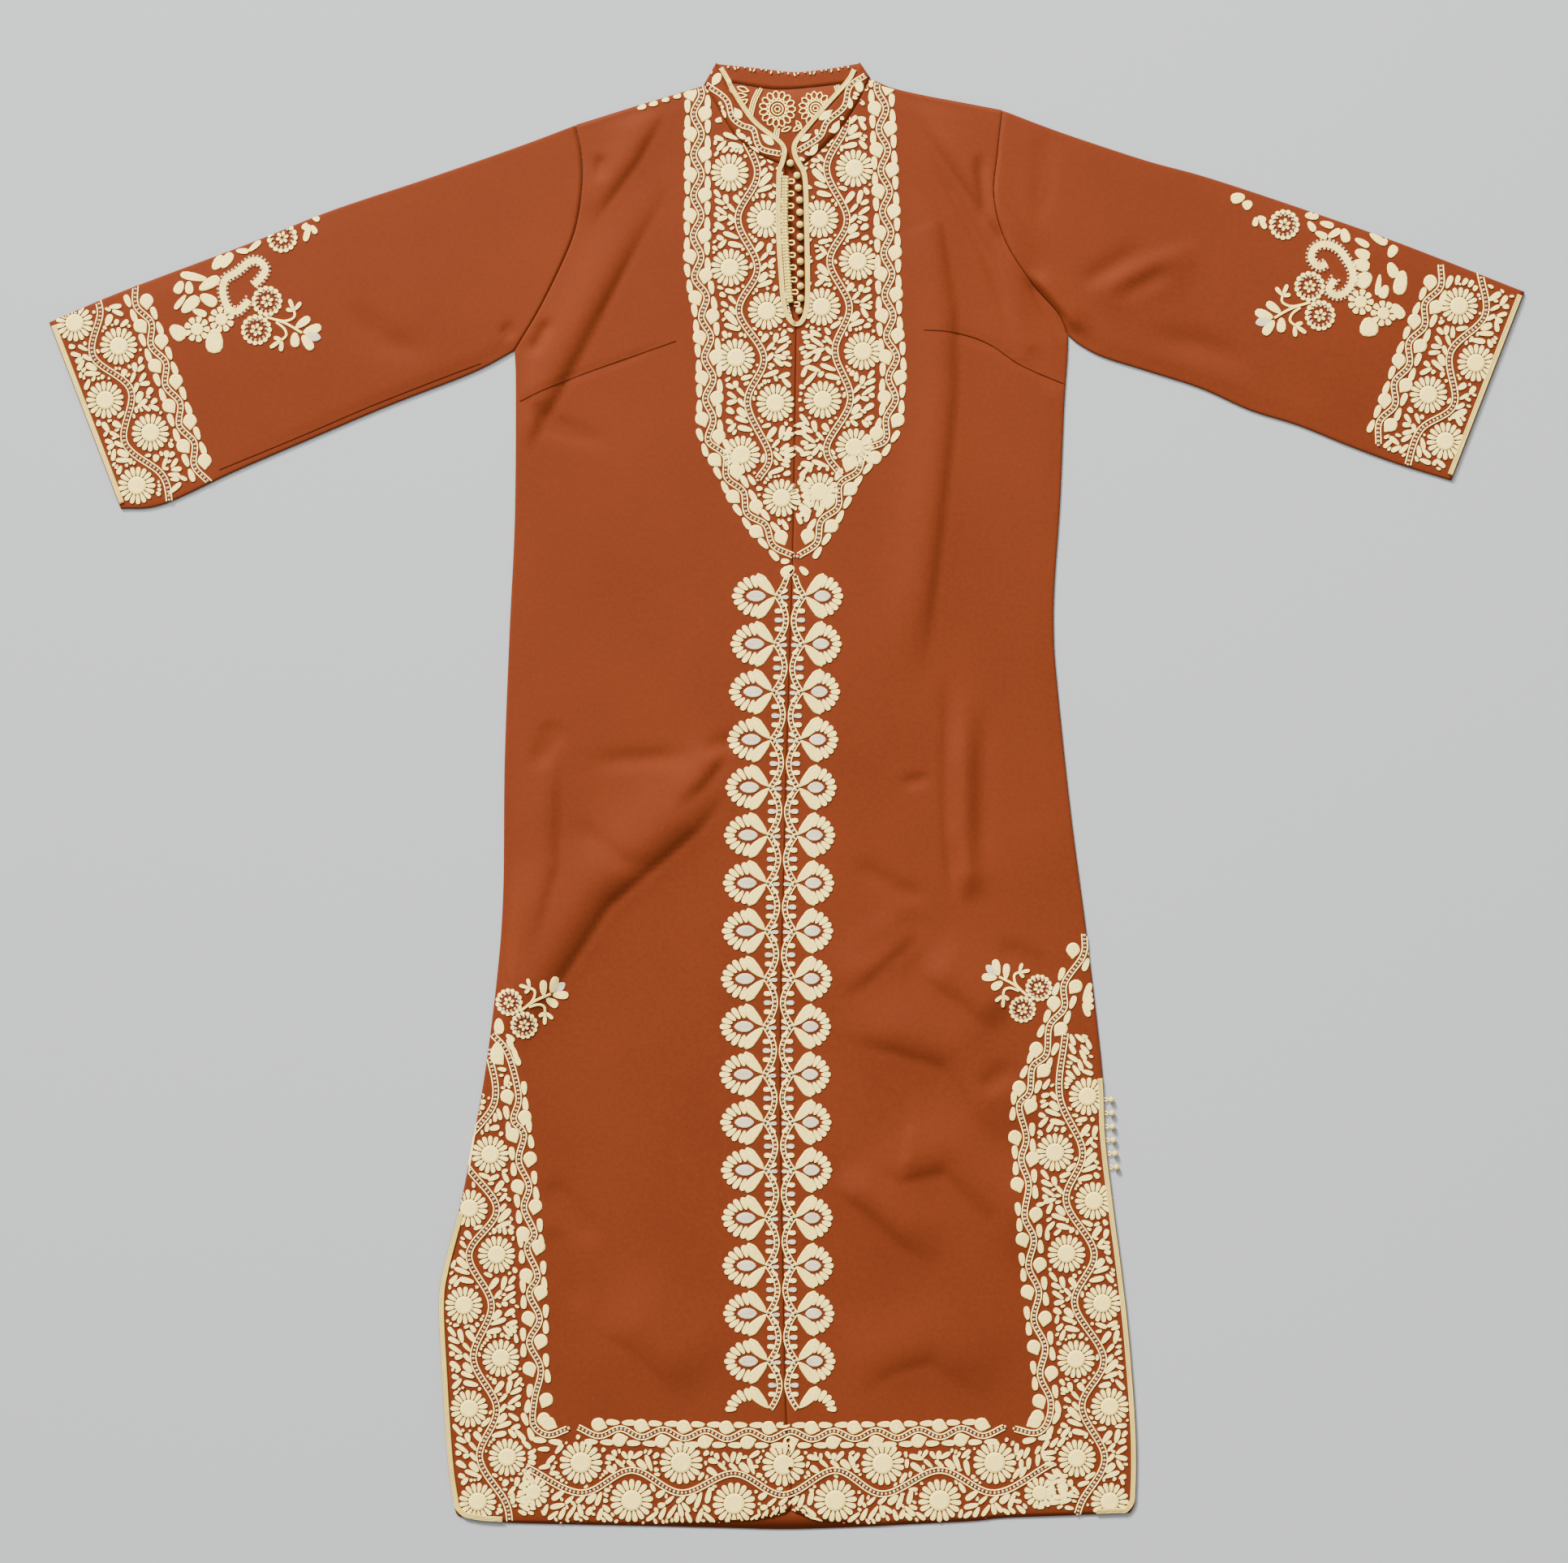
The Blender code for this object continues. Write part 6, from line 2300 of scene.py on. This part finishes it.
@dataclass
class Braid:
    """Flat gold braid of lengthwise cords, sewn along a route."""

    name: str
    node: str
    route: np.ndarray
    ground: Ground
    width: float = 4.8
    thick: float = 1.1
    lift: float = 0.35
    cords: int = 4
    step: float = 1.6
    look_left: float = 0.0
    knot_pitch: float = 0.0
    slot: str = "gold_braid"
    # Thickness between two cords and what a cord adds, as shares, and how square a cord is
    valley: float = 0.62
    ridge: float = 0.38
    squareness: float = 0.7
    # Thickness at the very edge as a share, and how fast it grows inwards
    edge_share: float = 0.45
    edge_growth: float = 9.0
    most_dip: float = 0.35
    plait_height: float = 0.07
    plait_turn: float = 3.1
    plait_shift: float = 2.2
    under_gap: float = 0.05

    def level(self, x: float, y: float) -> float | None:
        """Height of the cloth that carries the braid."""
        return self.ground.height(x - self.look_left, y)

    def build(self) -> bpy.types.Object:
        """Sweep the braid's section along the route."""
        count = max(4, round(length_of(self.route) / self.step))
        line = along(self.route, even(count))
        line = np.vstack([line[:1], (line[:-2] + 2 * line[1:-1] + line[2:]) / 4, line[-1:]])
        across = even(self.cords * 4)
        offsets = (across - 0.5) * self.width
        bulge = self.valley + self.ridge * np.abs(np.sin(np.pi * self.cords * across)) ** self.squareness
        bulge *= np.clip(np.minimum(across, 1 - across) * self.edge_growth + self.edge_share, 0, 1)
        rows = np.stack([beside(line, float(offset)) for offset in offsets], axis=1)
        middle = [self.level(*point) for point in line]
        known = [level for level in middle if level is not None]
        middle = [level if level is not None else float(np.mean(known)) for level in middle]
        levels = np.empty(rows.shape[:2])
        for station, row in enumerate(rows):
            for number, point in enumerate(row):
                found = self.level(*point)
                least = middle[station] - self.most_dip
                levels[station, number] = least if found is None else max(least, found)
        levels[1:-1] = (levels[:-2] + 2 * levels[1:-1] + levels[2:]) / 4
        travelled = np.linspace(0, length_of(line), len(line))
        shift = self.plait_shift * np.floor(across * self.cords)[None]
        plait = self.plait_height * np.sin(travelled[:, None] * self.plait_turn + shift)
        top = levels + self.lift + self.thick * bulge[None] + plait
        if self.knot_pitch:
            knot = np.abs(np.sin(np.pi * travelled / self.knot_pitch))[:, None]
            top += (0.9 * knot - 0.5) * np.clip(bulge, 0.4, 1)[None]
            rows = line[:, None] + (rows - line[:, None]) * (0.8 + 0.26 * knot[..., None])
        under = np.stack([levels[:, -1], levels[:, 0]], axis=1) + self.under_gap
        stations = np.concatenate([
            np.dstack([rows, top]),
            np.dstack([rows[:, [-1, 0]], under]),
        ], axis=1)
        u = np.repeat(travelled[:, None], stations.shape[1], axis=1)
        v = np.concatenate([offsets + 0.5 * self.width, [self.width, 0]])
        chart = np.dstack([u, np.repeat(v[None], len(line), axis=0) + 0.02])
        return dress(swept(self.name, stations, chart, Finishes.braid), self.slot, self.node)


@dataclass
class Trims:
    """Braids, gimp, ball buttons and loops."""

    all_cloth: bpy.types.Object
    inset: float = 2.8
    slit_start = {Side.LEFT: -392.0, Side.RIGHT: -266.0}
    hem_run = {Side.LEFT: 42.0, Side.RIGHT: 32.0}
    gimp_span: Place = (587.0, 467.0)
    gimp_width: float = 6.4
    gimp_pitch: float = 3.0
    braid_width: float = 4.8
    layer_gap: float = 0.3
    lump_height: float = 0.06
    windings: int = 5
    lump_lean: int = 3
    loop_bend = (-60, -30, 0, 30, 60)

    def build(self) -> None:
        """Build all the trims."""
        ground = Ground(self.all_cloth)
        neck = smooth_line(Cut.neck_braid, even(420))
        Braid("neck_braid_cloth", "neck_braid", neck, ground).build()
        for side in Side:
            cuff = np.array([Cut.sleeve_top[side][-1], Cut.sleeve_under[side][-1]], float)
            cuff = beside(along(cuff, even(40)), -side.sign * self.inset)
            for name, route in (("cuff", cuff[1:-1]), ("slit", self.slit_route(side))):
                node = f"{name}_braid_{side.value}"
                Braid(f"{node}_cloth", node, route, ground).build()
        self.gimp(ground)
        self.balls()
        self.loops()

    def slit_route(self, side: Side) -> np.ndarray:
        """The braid's route down the slit's edge and round the hem's corner."""
        edge = smooth_line(Cut.side[side], even(300))
        edge = edge[edge[:, 1] < self.slit_start[side]]
        hem = smooth_line(Cut.front_hem[side], even(300))
        share = self.hem_run[side] / length_of(hem)
        hem = along(hem, share * even(12))
        down = beside(edge, -side.sign * self.inset)
        over = beside(hem, -side.sign * self.inset)
        knots = np.vstack([along(down, even(40))[:-1], along(over, even(8))[1:]])
        return smooth_line([tuple(knot) for knot in knots], even(260))

    def gimp(self, ground: Ground) -> bpy.types.Object:
        """The knotted row beside the left braid, which hangs over the slit."""
        rows = np.linspace(*self.gimp_span, 40)
        braid_edge = Cut.neck_braid[6:15]
        aside = 0.5 * self.braid_width + self.layer_gap + 0.5 * self.gimp_width
        route = np.array([(Cut.edge_at(braid_edge, y) + aside, y) for y in rows])
        strip = Braid(
            "neck_gimp_knots", "neck_gimp", route, ground, width=self.gimp_width, thick=1.5, cords=2,
            step=0.5, look_left=self.gimp_width, knot_pitch=self.gimp_pitch, slot="cream_thread",
        )
        return strip.build()

    def balls(self) -> None:
        """The thread covered ball buttons, each on its solid's place."""
        for name in sorted(frame["nodes"]):
            if "_button_" not in name:
                continue
            low, high = (np.array(corner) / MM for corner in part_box(name))
            middle = 0.5 * (low + high)
            radius = 0.5 * float((high - low).min())
            self.ball(f"{name}_ball", name, middle, radius)

    def ball(self, name: str, node: str, middle: np.ndarray, radius: float) -> bpy.types.Object:
        """One ball of crossed windings."""
        turns, levels = 20, 13
        around = math.tau * np.arange(turns) / turns
        tilt = np.pi * (np.arange(levels) + 0.5) / levels
        wound = self.windings * around[None]
        lean = self.lump_lean * tilt[:, None]
        lumps = self.lump_height * np.sin(wound + lean) * np.sin(wound - lean)
        reach = radius * (1 - self.lump_height + lumps)
        x = reach * np.sin(tilt)[:, None] * np.cos(around)[None]
        y = reach * np.cos(tilt)[:, None]
        z = reach * np.sin(tilt)[:, None] * np.sin(around)[None]
        stations = np.dstack([x, np.broadcast_to(y, x.shape), z]) + middle
        chart = np.dstack([
            np.broadcast_to(around[None] * radius, x.shape),
            np.broadcast_to(tilt[:, None] * radius, x.shape),
        ])
        return dress(swept(name, stations, chart, Finishes.wound), "cream_thread", node)

    def loops(self) -> None:
        """The cord loops, each on its solid's place."""
        for name in sorted(frame["nodes"]):
            if "_loop_" not in name:
                continue
            low, high = (np.array(corner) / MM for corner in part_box(name))
            radius = 0.5 * float(high[2] - low[2])
            half = 0.5 * float(high[1] - low[1]) - radius
            reach = float(high[0] - low[0]) - radius
            root = np.array([low[0], 0.5 * (low[1] + high[1])])
            bend = reach - half
            path = [(0.0, -0.75 * half), (0.4 * reach, -half)]
            for angle in np.radians(self.loop_bend):
                path.append((bend + half * math.cos(angle), half * math.sin(angle)))
            path += [(0.4 * reach, half), (0.0, 0.75 * half)]
            line = smooth_line([tuple(root + point) for point in path], even(20))
            level = 0.5 * (low[2] + high[2])
            self.tube(f"{name}_cord", name, line, level, radius)

    def tube(self, name: str, node: str, line: np.ndarray, level: float, radius: float) -> bpy.types.Object:
        """A round cord along a level line."""
        angle = math.tau * np.arange(8) / 8
        rows = np.stack([beside(line, float(radius * math.cos(turn))) for turn in angle], axis=1)
        height = np.broadcast_to(level + radius * np.sin(angle), rows.shape[:2])
        travelled = np.linspace(0, length_of(line), len(line))
        u = np.repeat(travelled[:, None], len(angle), axis=1)
        chart = np.dstack([u, np.full_like(u, 0.9)])
        return dress(swept(name, np.dstack([rows, height]), chart, Finishes.cord), "cream_thread", node)


@dataclass
class NeckStitches:
    """The collar's vine, and the wrong side of the back's flowers that shows inside the neck."""

    embroidery: Embroidery
    collar: bpy.types.Object
    back: bpy.types.Object
    vines = {
        Side.LEFT: [
            (-76.6, 674.1), (-57.4, 659.5), (-52.0, 643.3), (-42.7, 634.9), (-32.0, 631.0), (-28.1, 618.7),
            (-22.7, 611.8), (-6.5, 607.9),
        ],
        Side.RIGHT: [
            (74.3, 682.6), (59.7, 671.8), (54.3, 652.6), (38.1, 637.9), (31.2, 624.1),
            (11.2, 611.0),
        ],
    }
    whip_stitches: int = 26
    collar_leaves = [
        Leaf(-71.0, 672.0, -63.0, 685.0, 9.0), Leaf(-50.0, 652.0, -43.0, 641.0, 8.4),
        Leaf(-25.0, 627.0, -12.0, 616.0, 8.0), Leaf(-62.0, 652.0, -58.0, 641.0, 5.0),
        Leaf(-49.0, 628.0, -38.0, 622.0, 6.0), Leaf(-36.0, 616.0, -26.0, 608.0, 5.0),
        Leaf(67.0, 680.0, 70.0, 666.0, 9.0), Leaf(44.0, 650.0, 30.0, 640.0, 8.0),
        Leaf(24.0, 627.0, 12.0, 620.0, 7.0), Leaf(60.0, 662.0, 60.0, 650.0, 6.0),
        Leaf(50.0, 640.0, 43.0, 627.0, 8.0), Leaf(30.0, 618.0, 22.0, 606.0, 7.0),
        Leaf(-56.0, 676.0, -50.0, 664.0, 5.0), Leaf(50.0, 672.0, 42.0, 660.0, 4.6),
    ]
    inner_flowers = [(-8.9, 651.0, 17.7), (27.3, 651.8, 16.2)]
    inner_vines = [
        [(-25.0, 671.1), (-31.0, 659.0), (-35.0, 643.3)],
        [(-8.9, 633.0), (-10.4, 623.0)],
        [(46.0, 676.0), (50.0, 664.0), (47.0, 655.0)],
    ]
    inner_leaves = [
        Leaf(-36, 668, -47, 672, 4.5), Leaf(-38, 664, -50, 664, 4.5), Leaf(-37, 660, -46, 655, 4.5),
        Leaf(-5, 630, 4, 634, 4.0), Leaf(6, 630, 14, 636, 4.0), Leaf(9, 640, 14, 632, 4.0),
    ]

    def build(self) -> None:
        """Sew both."""
        plan = SewingPlan("collar_stitches")
        for side in Side:
            plan.vine(smooth_line(self.vines[side], even(50)), 4.2)
            plan.block(smooth_line(Cut.collar_top_front[side], even(30)) + (side.sign * 2.5, -2.5), 2.2)
        for leaf in self.collar_leaves:
            plan.between(Motif.DROP, leaf.root, leaf.tip, leaf.width)
            middle = 0.5 * (np.array(leaf.root) + leaf.tip)
            plan.walls.take(middle, 0.45 * leaf.width)
        for side in Side:
            self.cover(plan, side)
        edge = smooth_line(Cut.collar_top_back, even(self.whip_stitches))[2:-2]
        for number, point in enumerate(edge):
            lean = math.radians(-90 + 34 * math.sin(2.3 * number))
            plan.put(Motif.LEAF, point, lean, 3.2 + 1.6 * math.sin(1.7 * number), 2.2)
        self.embroidery.sew(plan, self.collar)
        inside = SewingPlan("inner_stitches")
        for x, y, radius in self.inner_flowers:
            self.outlined_flower(inside, np.array([x, y]), radius)
        for vine in self.inner_vines:
            line = smooth_line(vine, even(16))
            inside.cords += [beside(line, 2.0), beside(line, -2.0), line]
        for leaf in self.inner_leaves:
            self.outline(inside, np.array(leaf.root), np.array(leaf.tip), leaf.width)
        self.embroidery.sew(inside, self.back)

    def cover(self, plan: SewingPlan, side: Side) -> None:
        """Cover the rest of the collar's front with small leaves."""
        seam = smooth_line(Cut.neckline[side], even(28))
        edge = smooth_line(Cut.collar_top_front[side], even(28))
        for low, high in zip(seam, edge):
            towards = high - low
            for share in (0.12, 0.3, 0.5, 0.7):
                root = low + share * towards
                lean = 0.6 if share < 0.4 else -0.6
                tip = root + 6.4 * turned(tuple(towards / np.hypot(*towards)), lean * side.sign)
                plan.leaf(root, tip, 4.2)

    def outline(self, plan: SewingPlan, root: np.ndarray, tip: np.ndarray, width: float) -> None:
        """A hollow leaf: one line round it."""
        run = (tip - root) / np.hypot(*(tip - root))
        aside = 0.5 * width * np.array([-run[1], run[0]])
        knots = [root, root + 0.45 * (tip - root) + aside, tip, root + 0.45 * (tip - root) - aside, root]
        plan.cords.append(smooth_line([tuple(knot) for knot in knots], even(14)))

    def outlined_flower(self, plan: SewingPlan, middle: np.ndarray, radius: float,
                        petals: int = 15) -> None:
        """A hollow flower: rings for the disc and one line round each petal."""
        ring = math.tau * even(26)
        circle = np.stack([np.cos(ring), np.sin(ring)], axis=1)
        plan.cords += [middle + share * radius * circle for share in (0.15, 0.3, 0.46)]
        for number in range(petals):
            angle = math.tau * number / petals
            root = middle + turned((0.5 * radius, 0), angle)
            tip = middle + turned((radius, 0), angle)
            self.outline(plan, root, tip, 0.36 * radius)


@dataclass
class Studio:
    """Pale floor, soft light from above and the camera straight over the kaftan."""

    camera_height: float = 3.0
    camera_x: float = -0.0027
    camera_y: float = 0.0135
    view_width: float = 1.4876
    sensor_mm: float = 36.0
    floor_size: float = 8.0

    def build(self) -> None:
        """Build the floor, the lights and the camera."""
        self.floor()
        self.sun()
        self.light("fill_light", (-0.5, 1.9, 2.2), 1.8, 116.0)
        world = bpy.data.worlds.new("studio")
        world.use_nodes = True
        background = world.node_tree.nodes["Background"]
        background.inputs["Color"].default_value = (1.0, 1.0, 1.0, 1.0)
        background.inputs["Strength"].default_value = 0.74
        bpy.context.scene.world = world
        self.camera()

    def floor(self) -> None:
        """A plain pale grey floor."""
        half = 0.5 * self.floor_size
        mesh = bpy.data.meshes.new("floor")
        corners = [(-half, -half, 0), (half, -half, 0), (half, half, 0), (-half, half, 0)]
        mesh.from_pydata(corners, [], [(0, 1, 2, 3)])
        material, graph, shader = start_material("floor_paint")
        grain = graph.node("ShaderNodeTexNoise", {"Scale": 6.0, "Detail": 2.0})
        colour = graph.mix(grain.outputs["Fac"], rgb(145, 147, 147), rgb(150, 151, 151))
        graph.link(colour, shader.inputs["Base Color"])
        shader.inputs["Roughness"].default_value = 0.9
        mesh.materials.append(material)
        in_scene("floor", mesh)

    def sun(self) -> None:
        """A low broad light from the neck's end, which brings out the folds."""
        lamp = bpy.data.lights.new("key_light", "SUN")
        lamp.angle = math.radians(12)
        lamp.energy = 11.0
        self.aim(lamp, (-0.9, 1.7, 1.1))

    def light(self, name: str, place: tuple[float, float, float], size: float, power: float) -> None:
        """An area light that points at the kaftan's middle."""
        lamp = bpy.data.lights.new(name, "AREA")
        lamp.size = size
        lamp.energy = power
        self.aim(lamp, place)

    def aim(self, lamp: bpy.types.Light, place: tuple[float, float, float]) -> None:
        """Put a light at a place and point it at the kaftan's middle."""
        item = in_scene(lamp.name, lamp)
        item.location = place
        item.rotation_euler = (-Vector(place)).to_track_quat("-Z", "Y").to_euler()

    def camera(self) -> None:
        """A camera that looks straight down."""
        lens = bpy.data.cameras.new("camera")
        lens.sensor_width = self.sensor_mm
        lens.lens = self.sensor_mm * self.camera_height / self.view_width
        item = in_scene("camera", lens)
        item.location = (self.camera_x, self.camera_y, self.camera_height)
        bpy.context.scene.camera = item


def copy_of(name: str, items: Sequence[bpy.types.Object]) -> bpy.types.Object:
    """One joined copy of some pieces, kept out of the scene, to lay stitches on."""
    work = bmesh.new()
    for item in items:
        work.from_mesh(item.data)
    mesh = bpy.data.meshes.new(name)
    work.to_mesh(mesh)
    work.free()
    return bpy.data.objects.new(name, mesh)


def main() -> None:
    """Build the kaftan's looks."""
    logging.basicConfig(level=logging.INFO, format="%(message)s")
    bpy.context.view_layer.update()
    cloth = LaidCloth()
    back = BackPanel(cloth).build()
    fronts = [FrontHalf(side, cloth).build() for side in Side]
    sleeves = [Sleeve(side, cloth).build() for side in Side]
    collar = Collar(cloth).build()
    grounds = {
        "front": copy_of("front_ground", fronts),
        "sleeve": copy_of("sleeve_ground", sleeves),
        "all": copy_of("whole_ground", [*fronts, *sleeves, collar, back]),
    }
    embroidery = Embroidery()
    for name, bands in Patterns.bands().items():
        plan = SewingPlan(name)
        for line, clearance in Patterns.edges(name):
            plan.block(line, clearance)
        for band in bands:
            band.lay_out(plan)
        for band in reversed(bands):
            band.fill(plan)
        embroidery.sew(plan, grounds["sleeve" if name.startswith("cuff") else "front"])
    NeckStitches(embroidery, collar, back).build()
    embroidery.dart_seams(grounds["all"])
    Trims(grounds["all"]).build()
    Studio().build()


if __name__ == "__main__":
    main()
